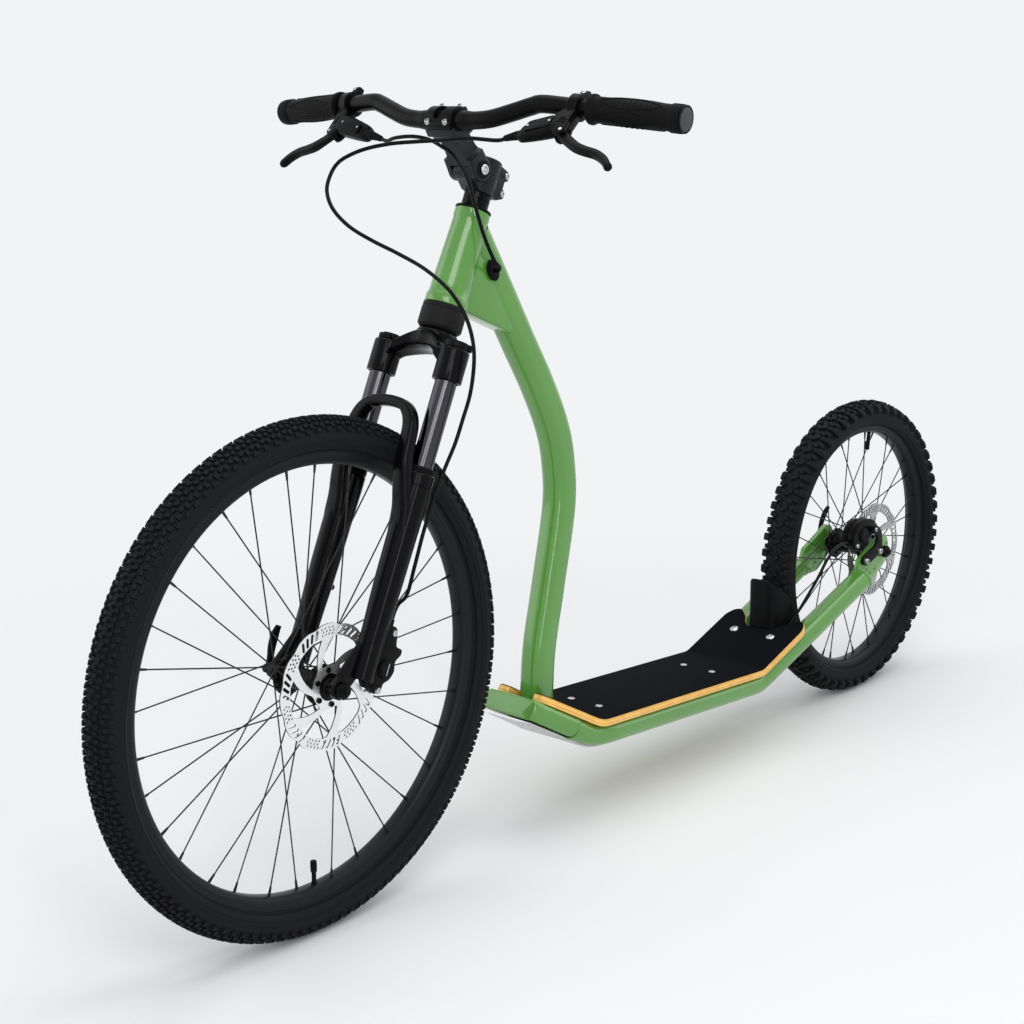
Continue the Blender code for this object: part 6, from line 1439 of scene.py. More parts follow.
@dataclass
class Deck(Assembly):
    """Plywood board with its grit sheet, and the guard before the rear tyre."""

    layout: Layout
    rear_x: float = 0.246
    nose_x: float = 0.876
    thickness: float = 0.01
    half_width: float = 0.0758
    tip_half: float = 0.056
    nose_half: float = 0.043
    guard_half: float = 0.024
    body: str = "frame"

    def __post_init__(self) -> None:
        """Work out the board's line and the guard's place."""
        self.home = self.layout.scooter
        self.line = DeckLine(self.rear_x, self.nose_x)
        place = self.line.place_of(0.299) - 0.015
        self.guard_front = self.line.at(place, -0.0043).x - GAP

    def build(self) -> None:
        """Make the board, the sheet and the guard."""
        self.show("plywood_board", self.bent(0.0, 0.0, self.thickness, 0.0012), PLYWOOD, "deck_board")
        start = self.thickness + GAP
        sheet = self.bent(0.0015, start, start + 0.001, 0.0003)
        self.show("grit_sheet_top", sheet, GRIT_SHEET, "grip_sheet")
        self.guard()
        LOG.info("deck")

    def outline(self, inset: float) -> Outline:
        """Return the deck's flat outline as (distance along it, half width), rear to front and back.

        Args:
            inset: how far the outline stays inside the board's edge.

        Returns:
            The outline.
        """
        bend = self.line.place_of(self.line.front_bend)
        notch = self.line.place_of(self.guard_front + GAP)
        slot_back = self.line.place_of(0.838 - 0.023 - 0.0025)
        slot_half = 0.022
        half, tip, nose, end = self.half_width, self.tip_half, self.nose_half, self.line.length
        left = [(notch + inset, self.guard_half - 0.006), (notch - 0.01 + inset, self.guard_half + 0.006),
                (notch - 0.026 + inset, tip - 0.016), (0.005 + inset, tip - 0.006), (inset, tip),
                (0.003 + inset, tip + 0.01), (0.012 + inset, half - 0.004 - inset / 2), (0.024, half - inset),
                (bend - 0.016, half - inset), (bend - 0.004, half - 0.0015 - inset),
                (bend + 0.008, half - 0.006 - inset), (end - 0.014, nose + 0.006 - inset),
                (end - 0.004 - inset, nose - inset), (end - inset, nose - 0.007),
                (end - inset, slot_half + 0.004 + inset), (end - 0.004 - inset, slot_half + inset),
                (slot_back + 0.008, slot_half + inset), (slot_back - inset, slot_half - 0.008)]
        return filleted(left + [(s, -y) for s, y in reversed(left)], 0.007, 4)

    def bent(self, inset: float, low: float, high: float, edge: float) -> BMesh:
        """Cut a flat blank of the deck's outline and bend it round the deck's line.

        Args:
            inset: how far the blank stays inside the board's edge.
            low: its underside's height over the line.
            high: its top's height.
            edge: the bevel of its rims.

        Returns:
            The bent plate, with the height through it stored as "layer".
        """
        mesh = plate(self.outline(inset), low, high, edge, plane="XY")
        for place in self.line.places[1:-1]:
            bmesh.ops.bisect_plane(mesh, geom=mesh.verts[:] + mesh.edges[:] + mesh.faces[:],
                                   plane_co=(place, 0.0, 0.0), plane_no=(1.0, 0.0, 0.0), dist=1e-5)
        layer = mesh.verts.layers.float.new("layer")
        for vert in mesh.verts:
            vert[layer] = (vert.co.z - low) / (high - low)
            point = self.line.at(vert.co.x, vert.co.z)
            vert.co = (point.x, vert.co.y, point.y)
        bmesh.ops.recalc_face_normals(mesh, faces=mesh.faces)
        return mesh

    def guard(self) -> None:
        """Thin moulded guard whose two wings stand beside the tyre."""
        front, foot = self.guard_front - 0.0016, 0.15
        half = pairs(-56, 33.2, -44, 32, -30, 30.2, -18, 27.8, -9, 25.2, -4, 22.5, -1.2, 19, 0, 15, 0, 7.5,
                     0, 0)
        path = [*half, *((x, -y) for x, y in reversed(half[:-1]))]
        mesh = bmesh.new()
        verts = [mesh.verts.new((front + x, y, foot + 0.02 * -x / 0.058)) for x, y in path]
        edges = [mesh.edges.new(pair) for pair in zip(verts, verts[1:])]
        for rise in (0.25, 0.5, 0.75, 0.92, 1.0):
            moved = bmesh.ops.extrude_edge_only(mesh, edges=edges)["geom"]
            verts = picked(moved, BMVert)
            edges = [edge for edge in picked(moved, BMEdge) if all(vert in verts for vert in edge.verts)]
            for vert in verts:
                back = clamped((front - vert.co.x) / 0.056)
                top = 0.253 - 0.052 * back ** 1.45 - 0.0045 * min(1.0, abs(vert.co.y) / 0.0225) ** 5
                low = foot + 0.02 * back
                vert.co.z = low + (top - low) * rise
        bmesh.ops.recalc_face_normals(mesh, faces=mesh.faces)
        bmesh.ops.solidify(mesh, geom=mesh.faces[:], thickness=0.0024)
        bevelled(mesh, rims(mesh, 1.1), 0.0007, 2)
        self.show("guard_shell", tidy(mesh), PLASTIC, "wheel_guard", sharp=45.0)


@dataclass
class Fork(Assembly):
    """Suspension fork: crown, stanchions, lower legs with their arch, dials and axle plates."""

    layout: Layout
    forward: float = 0.021
    spread: float = 0.0575
    block_top: float = -0.058
    block_bottom: float = -0.101
    block_radius: float = 0.019
    leg_top: float = -0.22
    leg_radius: float = 0.0195
    foot_radius: float = 0.0158
    body: str = "steerer"

    def __post_init__(self) -> None:
        """Work out where the legs end."""
        self.home = self.layout.steering
        self.foot = 0.018 - self.layout.fork_length

    def build(self) -> None:
        """Make all the fork's pieces."""
        self.crown()
        for side, label in SIDES:
            self.stanchion(side, label)
        self.lowers()
        self.dials()
        LOG.info("fork")

    def crown(self) -> None:
        """Forged crown: steerer, race seat, arched bridge and the two blocks."""
        seat, top = -0.0328, 0.195
        profile = [*pairs(0, -56, 18.5, -56, 24, -54, 26.8, -50, 27.5, -46),
                   *pairs(27.5, -6.5, 27, -5, 24.5, -0.6, 23.8, 0, 14.3, 0, up=seat),
                   *pairs(14.3, -1, 13.3, 0, 0, 0, up=top)]
        mesh = spun(profile, 64, "Z", False)
        places, count = [], 40
        for k in range(count + 1):
            share = -0.93 + 1.86 * k / count
            bend = min(1.0, abs(share) / 0.66) ** 2
            high = -0.0346 + (self.block_top + 0.035) * bend
            low = -0.061 + (self.block_bottom + 0.065) * abs(share) ** 2.4
            centre = Vector((self.forward * bend + 0.001 * (1 - bend), share * self.spread, (high + low) / 2))
            deep = 0.0575 - 0.029 * min(1.0, abs(share) / 0.82) ** 1.2
            turn = Matrix(((deep, 0, 0), (0, 0, 1), (0, high - low, 0))).to_4x4()
            places.append(Matrix.Translation(centre) @ turn)
        merged(mesh, drawn(rounded(1.0, 1.0, 0.32, 7), places))
        for side in (1, -1):
            radius, low, high = self.block_radius, self.block_bottom, self.block_top
            form = [*pairs(0, 4, 15, 4, 15.5, 0, up=low),
                    *pairs(-1.5, 0, -0.3, 0.6, 0, 2, out=radius, up=low),
                    *pairs(0, -3.5, -0.6, -1.8, -2, -0.6, -3.5, 0, out=radius, up=high), (0.0, high)]
            spun(form, 48, "Z", False, mesh, at(self.forward, side * self.spread, 0))
        self.show("crown_forging", mesh, FORK_BLACK, "fork_crown")

    def stanchion(self, side: int, label: str) -> None:
        """Chromed tube, and the rubber wiper on top of its leg.

        Args:
            side: 1 for the left, -1 for the right.
            label: "left" or "right".
        """
        place = self.home @ at(self.forward, side * self.spread, 0)
        high = self.block_top - 0.0063
        profile = pairs(0, -300, 12.8, -300, 14, -298.8, 14, -1, 13, 0, 0, 0, up=high)
        self.show(label + "_stanchion_tube", spun(profile, 64, "Z", False), CHROME, label + "_stanchion",
                  place=place)
        low = self.leg_top + GAP
        ringed = pairs(14.3, 0, 16.8, 0, 17.4, 0.6, 17.4, 2.6, 16.6, 3.2, 16, 3.6, 16.4, 4.4, 16.4, 5.8,
                       15.6, 7, 14.7, 8, 14.3, 8, up=low)
        self.show(label + "_wiper_seal", spun(ringed, 48, "Z"), GRIP_RUBBER, label + "_wiper",
                  body="fork_lowers", place=place)

    def lowers(self) -> None:
        """Cast lower legs, arch, axle plates, caliper pads and brake bosses as one casting."""
        top, foot, wide, slim = self.leg_top, self.foot, self.leg_radius, self.foot_radius
        profile = [(0.0, foot + 0.002),
                   *pairs(-5, 2, -4.5, 0, -1.4, 0, -0.4, 0.8, 0, 3, 0, 55, 0.6, 75, 1.6, 100, 2.4, 130,
                          out=slim, up=foot),
                   *pairs(-0.8, -75, 0, -36, 0, -17, -0.8, -16.2, -0.8, -15, 0, -14.2, 0, -1.2, -1.2, 0,
                          out=wide, up=top), (0.0, top)]
        mesh = None
        for side in (1, -1):
            place = at(self.forward, side * self.spread, 0)
            mesh = spun(profile, 64, "Z", False, mesh, place)
        merged(mesh, self.arch())
        axle_x, axle_z = self.layout.fork_offset, -self.layout.fork_length
        outline = [*pairs(-8, 30, 12, 52, out=self.forward, up=foot),
                   *pairs(4, 24, 10.5, 11.5, 13, 2, 10.5, -7.5, 3.5, -12, -4, -13, out=axle_x, up=axle_z),
                   (self.forward + 0.006, foot + 0.004)]
        for side in (1, -1):
            low, high = sorted((side * 0.0503, side * 0.0593))
            merged(mesh, plate(filleted(outline, 0.007, 4), low, high, 0.0014, 3))
        for low, high in ((0.072, 0.091), (0.02, 0.034)):
            pad = [(-0.004, low + axle_z), (self.forward, low + axle_z), (self.forward, high + axle_z),
                   (-0.004, high + axle_z)]
            merged(mesh, plate(filleted(pad, 0.003, 3), 0.0445, 0.0525, 0.001))
        start = Vector((0.012, -self.spread, axle_z + 0.1185))
        end = Vector((-0.002, -self.spread, axle_z + 0.1205))
        rod(start, end, 0.0042, 24, mesh, 0.0034)
        ball(mesh, 0.0042, end, 20, 12)
        self.show("leg_casting", mesh, FORK_BLACK, "fork_lowers", body="fork_lowers")

    def arch(self) -> BMesh:
        """Return the arch that joins the legs before the tyre.

        Returns:
            A closed mesh.
        """
        top, ahead, spread = self.leg_top, 0.049, self.spread
        middle = top + 0.086 - 0.007
        half = [(self.forward - 0.002, spread, top - 0.125), (self.forward + 0.001, spread, top - 0.085),
                (self.forward + 0.008, spread - 0.001, top - 0.048),
                (ahead - 0.009, spread - 0.003, top - 0.02), (ahead, spread - 0.006, top + 0.01),
                (ahead, spread - 0.011, middle - 0.026), (ahead, spread - 0.024, middle - 0.006),
                (ahead, 0.014, middle)]
        route = smooth([*half, *((x, -y, z) for x, y, z in reversed(half))], 0.0035)
        sizes = []
        for point in route:
            share = clamped((abs(point.y) - 0.028) / 0.022)
            foot = clamped((top + 0.02 - point.z) / 0.085)
            sizes.append((0.014 + 0.006 * share + 0.01 * foot, 0.016 + 0.013 * foot))
        return drawn(rounded(1.0, 1.0, 0.3, 5), stations(route, sizes, X_AXIS))

    def dials(self) -> None:
        """Cap with a finger tab on the left leg, and a notched knob on the right."""
        low = self.block_top + GAP
        outline = []
        for k in range(72):
            angle = 2 * pi * k / 72
            swell = max(0.0, cos((angle - radians(11)) * 2.6)) ** 3 if abs(angle - radians(11)) < 0.6 else 0.0
            outline.append(polar(0.0148 + 0.0056 * swell, angle))
        mesh = plate(outline, low, low + 0.0088, 0.001, 3, plane="XY")
        spun(pairs(0, 8, 9.5, 8, 9.5, 9.4, 0, 9.4, up=low), 40, "Z", False, mesh)
        place = self.home @ at(self.forward, self.spread, 0)
        self.show("preload_cap", mesh, PLASTIC, "preload_dial", body="preload_dial",
                  place=place @ turned(radians(125), "Z"))
        outline = []
        for k in range(96):
            angle = 2 * pi * k / 96
            notch = 0.0024 * max(0.0, cos(8 * angle)) ** 4
            outline.append(polar(0.0158 - notch, angle))
        mesh = plate(outline, low, low + 0.0066, 0.0008, 2, plane="XY")
        spun(pairs(0, 6, 11.8, 6, 11.2, 8.5, 0, 8.5, up=low), 48, "Z", False, mesh)
        place = self.home @ at(self.forward, -self.spread, 0)
        self.show("lockout_cap", mesh, PLASTIC, "lockout_knob", body="lockout_knob", place=place)


def turned_to(point: Vector, along: Vector, across: Vector = X_AXIS) -> Matrix:
    """Return a place whose Z runs along a direction, with its X as near as can be to another.

    Args:
        point: the place's origin.
        along: the direction of its Z.
        across: what its X keeps near.

    Returns:
        The place.
    """
    up = along.normalized()
    side = up.cross(across).normalized()
    return Matrix.Translation(point) @ axes(side.cross(up), side, up)


@dataclass
class Bar:
    """Riser handlebar's centre line, measured from its middle."""

    half: float = 0.337
    clamp_half: float = 0.03
    bend_end: float = 0.145
    rise: float = 0.021
    setback: float = 0.0165
    back: float = radians(7.0)
    down: float = radians(4.8)

    def point(self, side: int, across: float) -> Vector:
        """Return a point of the straight outer part.

        Args:
            side: 1 for the left, -1 for the right.
            across: the distance from the bar's middle.

        Returns:
            The point.
        """
        beyond = across - self.bend_end
        return Vector((-self.setback - beyond * tan(self.back), side * across,
                       self.rise - beyond * tan(self.down)))

    def along(self, side: int) -> Vector:
        """Return the outer part's direction, outwards."""
        return (self.point(side, 1.0) - self.point(side, 0.0)).normalized()

    def route(self) -> list[Vector]:
        """Return the whole centre line from right to left.

        Returns:
            The points.
        """
        half = [Vector((0, 0, 0)), Vector((0, self.clamp_half, 0))]
        for share, across in ((0.12, 0.34), (0.5, 0.62), (0.88, 0.86)):
            y = self.clamp_half + (self.bend_end - self.clamp_half) * across
            half.append(Vector((-self.setback * share, y, self.rise * share)))
        half += [self.point(1, self.bend_end), self.point(1, 0.193), self.point(1, self.half - 0.0006)]
        return smooth([*(Vector((p.x, -p.y, p.z)) for p in reversed(half[1:])), *half], 0.0045)


@dataclass
class Cockpit(Assembly):
    """Adjustable stem, handlebar, grips and brake controls."""

    layout: Layout
    bar: Bar = field(default_factory=Bar)
    grip_length: float = 0.126
    control_place: float = 0.193
    drops: tuple[float, float] = (radians(39.3), radians(52.0))
    pivot_out: float = 0.047
    body: str = "handlebar"

    def __post_init__(self) -> None:
        """Take the steering frame as the pieces' own."""
        self.home = self.layout.steering

    def build(self) -> None:
        """Make all the pieces on the steerer and the handlebar."""
        self.stem_base()
        self.stem_arm()
        self.faceplate()
        self.handlebar()
        for side, label in SIDES:
            self.grip(side, label)
            self.end_cap(side, label)
            self.master(side, label)
            self.lever(side, label)
        LOG.info("cockpit")

    def stem_base(self) -> None:
        """Clamp on the steerer with the pivot boss, its teeth, and the spacer under it."""
        low, high, half = 0.152, 0.198, 0.0155
        bolt_back, bolt_heights = -0.0245, (0.1865, 0.1625)
        x, z = self.layout.pivot_forward, self.layout.pivot_height
        boss = [(x + u, z + v) for u, v in ring(0.0155, 48, radians(-90.0)) if u > -0.006]
        front = [point for point in boss if point[1] > low + 0.004]
        round_end = [polar(0.0072, radians(a)) for a in range(100, 261, 20)]
        rear = [(bolt_back + u, middle + v) for middle in bolt_heights for u, v in round_end]
        outline = [(0.016, low), *front, (0.004, high), *rear, (-0.02, low)]
        mesh = plate(outline, -half, half, 0.0016, 3)
        ringed = [*pairs(14.7, 0, 19, 0, 19.8, 1, up=low),
                  *pairs(19.8, -1.4, 18.6, 0, 15.8, 0, 14.7, -1, up=high)]
        spun(ringed, 56, "Z", True, mesh)
        for k in range(9):
            angle = radians(88.0 + 11.0 * k)
            place = at(x, 0, z) @ turned(-angle)
            tooth = block((0.0036, 2 * half - 0.002, 0.0016), place @ at(0.0155, 0, 0), 0.0004)
            merged(mesh, tooth)
        self.show("stem_clamp", mesh, STEM_GREY, "stem_base", body="steerer", sharp=34.0)
        bolts = bmesh.new()
        for height in bolt_heights:
            for side in (1, -1):
                spot = at(bolt_back, side * half, height) @ turned(-side * pi / 2, "X")
                hex_bolt(bolts, spot, 0.004, 0.0034)
        self.show("stem_clamp_bolts", bolts, BOLT_STEEL, body="steerer")
        spacer = pairs(14.7, 133.7, 17, 133.7, 17.5, 134.2, 17.5, 142.3, 17.1, 142.7, 17.5, 143.1,
                       17.5, 151.2, 17, 151.7, 14.7, 151.7)
        self.show("spacer_ring", spun(spacer, 56, "Z"), FORK_BLACK, "steerer_spacer", body="steerer")
        pin = None
        for side in (1, -1):
            place = at(0, side * 0.0249, 0) @ turned(-side * pi / 2, "X")
            pin = hex_bolt(pin, place, 0.0066, 0.0034)
        rod(Vector((0, -0.0255, 0)), Vector((0, 0.0255, 0)), 0.0038, 24, pin)
        self.show("stem_tilt_bolt", pin, BOLT_STEEL, "stem_pivot_bolt", body="steerer",
                  place=self.home @ at(x, 0, z))

    def stem_arm(self) -> None:
        """Forked arm from the pivot to the half-round seat of the bar."""
        reach, outer = self.layout.stem_length, 0.0243
        back = [polar(0.0155, radians(a)) for a in range(72, 289, 9)]
        outline = [*back, (0.022, -0.0128),
                   *pairs(-24, -10.8, -16, -13.5, -11, -19.8, -0.6, -19.8, -0.6, 19.8, -12, 19.8, -17, 15,
                          -26, 12.2, out=reach), (0.02, 0.0146)]
        mesh = plate(outline, -outer, outer, 0.0028, 4)
        piece = shown("stem_arm_forging", mesh, STEM_GREY, "handlebar", ["stem_arm"])
        rooms = spun(pairs(0, -15.8, 20, -15.8, 20, 15.8, 0, 15.8), 64, "Y", False)
        spun(pairs(0, -40, 13, -40, 13, 40, 0, 40), 64, "Y", False, rooms, at(reach, 0, 0))
        for side in (1, -1):
            neck = at(0.0365, side * (0.0146 + 0.01), 0)
            merged(rooms, block((reach - 0.044, 0.02, 0.07), neck, 0.006))
        cut(piece, rooms)
        piece.data.transform(self.layout.stem)
        rings = None
        for side in (1, -1):
            face = side * outer
            profile = [(0.0076, face - side * 0.002), (0.0118, face - side * 0.002),
                       (0.0118, face + side * 0.0006), (0.0112, face + side * 0.001),
                       (0.0082, face + side * 0.001), (0.0076, face + side * 0.0006)]
            rings = spun(profile, 48, "Y", True, rings)
        self.show("stem_washers", rings, SATIN_BLACK, place=self.layout.stem)

    def faceplate(self) -> None:
        """Windowed front half of the bar clamp, with four bolts."""
        reach, outer = self.layout.stem_length, 0.0223
        arc = [(reach + 0.0178 * cos(radians(a)), 0.0178 * sin(radians(a))) for a in range(-62, 63, 6)]
        outline = [*pairs(0.4, -20.5, 7.5, -20.5, out=reach), *arc, *pairs(7.5, 20.5, 0.4, 20.5, out=reach)]
        piece = shown("faceplate_shell", plate(outline, -outer, outer, 0.0016, 3), SATIN_BLACK, "handlebar",
                      ["stem_faceplate"])
        rooms = spun(pairs(0, -40, 13, -40, 13, 40, 0, 40), 64, "Y", False, None, at(reach, 0, 0))
        merged(rooms, block((0.03, 0.015, 0.0262), at(reach + 0.0165, 0, 0), 0.003))
        for side in (1, -1):
            merged(rooms, block((0.02, 0.004, 0.06), at(reach + 0.0165, side * 0.0248, 0), 0.0012))
        cut(piece, rooms)
        piece.data.transform(self.layout.stem)
        bolts = bmesh.new()
        for height in (-0.0165, 0.0165):
            for side in (-0.015, 0.015):
                spot = at(reach + 0.0072, side, height) @ turned(pi / 2)
                hex_bolt(bolts, spot, 0.0037, 0.005)
        self.show("faceplate_bolts", bolts, BOLT_STEEL, place=self.layout.stem)

    def handlebar(self) -> None:
        """Butted riser bar."""
        route = self.bar.route()
        sizes = []
        for point in route:
            share = clamped((abs(point.y) - 0.031) / 0.016)
            radius = 0.0127 - 0.0016 * share * share * (3 - 2 * share)
            sizes.append((radius, radius))
        mesh = drawn(ring(1.0, 40), stations(route, sizes, X_AXIS))
        self.show("bar_tube", mesh, SATIN_BLACK, "handlebar", place=self.layout.bar)

    def grip(self, side: int, label: str) -> None:
        """Rubber grip with a flange, an end ring and raised leaf-shaped fields.

        Args:
            side: 1 for the left, -1 for the right.
            label: "left" or "right".
        """
        place = turned_to(self.bar.point(side, self.bar.half) - self.bar.along(side) * self.grip_length,
                          self.bar.along(side))
        length = self.grip_length
        profile = pairs(11.3, 0, 17.2, 0, 18.3, 1, 18.5, 3, 18.2, 5.2, 17, 6.2, 15.8, 7.2, 15.4, 9, 15.8, 11)
        for k in range(19):
            share = k / 18
            profile.append((0.0158 + 0.0008 * sin(pi * share) ** 2, 0.012 + 0.092 * share))
        profile += [*pairs(15.6, 107.5, 15.5, 109.5, 16.6, 110.4, 17.2, 111.6, 17.2, 123.8, 16.8, 125),
                    *pairs(16, -0.3, 11.3, -0.3, up=length)]
        mesh = spun(profile, 56, "Z")
        for leaf in range(5):
            middle = 2 * pi * leaf / 5 + 0.35
            for edge in (1, -1):
                route = []
                for k in range(25):
                    share = k / 24
                    angle = middle + edge * 0.5 * sin(pi * share) ** 0.75
                    radius = 0.016 + 0.0008 * sin(pi * share) ** 2
                    route.append(Vector((radius * cos(angle), radius * sin(angle), 0.015 + 0.086 * share)))
                merged(mesh, drawn(ring(0.00075, 5), stations(route, None, Z_AXIS.cross(route[12]))))
            for row in range(11):
                share = (row + 1) / 12
                half = 0.42 * sin(pi * share) ** 0.75
                height = 0.015 + 0.086 * share
                a = Vector((cos(middle - half), sin(middle - half), 0))
                b = Vector((cos(middle), sin(middle), 0))
                c = Vector((cos(middle + half), sin(middle + half), 0))
                route = [v * (0.0159 + 0.0008 * sin(pi * share) ** 2) + Vector((0, 0, height))
                         for v in (a, b, c)]
                merged(mesh, drawn(ring(0.00055, 4), stations(smooth(route, 0.003), None, Z_AXIS)))
        self.show(label + "_grip_rubber", mesh, GRIP_RUBBER, label + "_grip", place=self.layout.bar @ place,
                  sharp=40.0)

    def end_cap(self, side: int, label: str) -> None:
        """Domed plug with a dark rim.

        Args:
            side: 1 for the left, -1 for the right.
            label: "left" or "right".
        """
        place = self.layout.bar @ turned_to(self.bar.point(side, self.bar.half), self.bar.along(side))
        dome = pairs(0, -12, 8.6, -12, 8.6, 0.4, 14.6, 0.4, 14.6, 2, 14, 2.7, 10, 3, 5, 3.2, 0, 3.2)
        self.show(label + "_bar_plug", spun(dome, 48, "Z", False), CAP_GREY, label + "_end_cap", place=place)
        rim = pairs(14.7, 0.4, 16.2, 0.4, 16.6, 1, 16.6, 2.2, 16, 2.9, 15, 2.9, 14.7, 2.2)
        self.show(label + "_plug_rim", spun(rim, 48, "Z"), PLASTIC, place=place)

    def control(self, side: int) -> Matrix:
        """Return a brake control's frame: X towards the lever, Y along the bar, Z along the pin.

        Args:
            side: 1 for the left, -1 for the right.

        Returns:
            The frame.
        """
        drop = self.drops[0] if side > 0 else self.drops[1]
        along = self.bar.along(1)
        along = Vector((side * along.x, along.y, side * along.z))
        out = Vector((cos(drop), 0, -sin(drop)))
        out = (out - along * out.dot(along)).normalized()
        turn = axes(out, along, out.cross(along).normalized())
        return self.layout.bar @ Matrix.Translation(self.bar.point(side, self.control_place)) @ turn

    @staticmethod
    def master_line(side: int, inward: float) -> Vector:
        """Return the master cylinder's centre at a distance inwards along the bar."""
        beyond = max(inward - 0.01, 0.0)
        return Vector((0.034 + 0.215 * beyond, side * -inward, -0.205 * beyond))

    def master(self, side: int, label: str) -> None:
        """Master cylinder with its lid, split clamp, lever yoke and ribbed boot.

        Args:
            side: 1 for the left, -1 for the right.
            label: "left" or "right".
        """
        frame_place = self.control(side)
        places = []
        for inward, scale in ((0.0035, 0.78), (0.0045, 0.9), (0.0065, 0.98), (0.01, 1.02), (0.018, 1.0),
                              (0.03, 0.95), (0.042, 0.88), (0.052, 0.8), (0.0565, 0.74), (0.059, 0.64),
                              (0.06, 0.47), (0.0655, 0.42)):
            turn = Matrix(((scale, 0, 0, 0), (0, 0, -side, 0), (0, scale, 0, 0), (0, 0, 0, 1)))
            places.append(Matrix.Translation(self.master_line(side, inward)) @ turn)
        mesh = drawn(rounded(0.028, 0.0205, 0.0075, 6), places)
        ringed = pairs(11.3, -6.5, 16, -6.5, 16.5, -5.8, 16.5, 5.8, 16, 6.5, 11.3, 6.5)
        spun(ringed, 56, "Y", True, mesh)
        ears = pairs(-26, -4.8, -12, -6, -10, 6, -26, 4.8)
        merged(mesh, plate(filleted(ears, 0.003, 4), -0.0058, 0.0058, 0.001))
        root = pairs(10, -6, 22, -16, 38.5, -14, 38.5, 6, 28, 6.8, 10, 6.5)
        jaw = pairs(26, -15, 40, -14, 52, -6, 55, 3, 49, 10.5, 30, 7, 24, 0)
        for outline, low, high in ((root, -0.0095, 0.0095), (jaw, -0.0095, -0.0049), (jaw, 0.0049, 0.0095)):
            merged(mesh, plate(filleted([(x, side * y) for x, y in outline], 0.004, 4), low, high, 0.0012, 2,
                               plane="XY"))
        self.show(label + "_master_body", tidy(mesh), SATIN_BLACK, label + "_master_cylinder",
                  place=frame_place)
        slope = Matrix(((1, 0.215, 0, 0), (0, 1, 0, 0), (0, -0.205, 1, 0), (0, 0, 0, 1)))
        lid = plate(filleted(pairs(-9.5, 4, 9.5, 4, 8.5, 40, -8.5, 40), 0.005, 4), 0.0, 0.0016, 0.0005,
                    plane="XY")
        turn = at(0.034, -side * 0.01, 0.0098) @ Matrix.Scale(-side, 4, (0.0, 1.0, 0.0))
        lid_place = frame_place @ turn @ slope
        bmesh.ops.transform(lid, matrix=lid_place, verts=lid.verts)
        shown(label + "_reservoir_lid", tidy(lid), PLASTIC, "handlebar", ())
        screws = bmesh.new()
        for inward in (0.0075, 0.0365):
            spot = turn @ slope @ Vector((0, inward, 0.0016))
            hex_bolt(screws, Matrix.Translation(spot), 0.0015, 0.0007)
        hex_bolt(screws, at(-0.0205, 0, 0.0056), 0.0024, 0.0016)
        pin = at(self.pivot_out, side * 0.004, 0)
        merged(screws, rod(Vector((0, 0, -0.01)), Vector((0, 0, 0.01)), 0.0021, 24), pin)
        self.show(label + "_lid_screws", screws, BOLT_STEEL, place=frame_place)
        boot = [(0.0, 0.0)]
        for k in range(5):
            low = 0.004 * k
            boot += [(0.0055 - 0.0004 * k, low), (0.0056 - 0.0004 * k, low + 0.0022),
                     (0.0043 - 0.0002 * k, low + 0.0027), (0.0043 - 0.0002 * k, low + 0.0036)]
        boot += [(0.0033, 0.0195), (0.0, 0.0195)]
        direction = self.master_line(side, 0.084) - self.master_line(side, 0.064)
        place = frame_place @ turned_to(self.master_line(side, 0.064), direction)
        self.show(label + "_hose_boot", spun(boot, 28, "Z", False), GRIP_RUBBER, place=place)

    def lever(self, side: int, label: str) -> None:
        """Two-finger lever with an eye on its pin and a turned-up ball tip.

        Args:
            side: 1 for the left, -1 for the right.
            label: "left" or "right".
        """
        points = ((0.0, 0.0), (0.01, 0.015), (0.018, 0.03), (0.022, 0.045), (0.025, 0.06), (0.032, 0.074),
                  (0.0415, 0.0845))
        widths = (0.0128, 0.0134, 0.0124, 0.0114, 0.0108, 0.0106, 0.0092)
        route = smooth([(x, side * y, 0.0) for x, y in points], 0.0024)
        sizes = []
        for k in range(len(route)):
            share = k / (len(route) - 1)
            sizes.append((between(widths, share), 0.0088 + 0.0022 * clamped(share * (len(widths) - 1) - 1.0)))
        mesh = drawn(rounded(1.0, 1.0, 0.34, 5), stations(route, sizes, Z_AXIS))
        ball(mesh, 0.0053, route[-1], 28, 16)
        eye = pairs(2.4, -4.4, 6.2, -4.4, 6.7, -3.8, 6.7, 3.8, 6.2, 4.4, 2.4, 4.4)
        spun(eye, 40, "Z", True, mesh)
        pivot = at(self.pivot_out, side * 0.004, 0)
        name = label + "_brake_lever"
        self.show(label + "_lever_blade", mesh, SATIN_BLACK, name, body=name,
                  place=self.control(side) @ pivot)


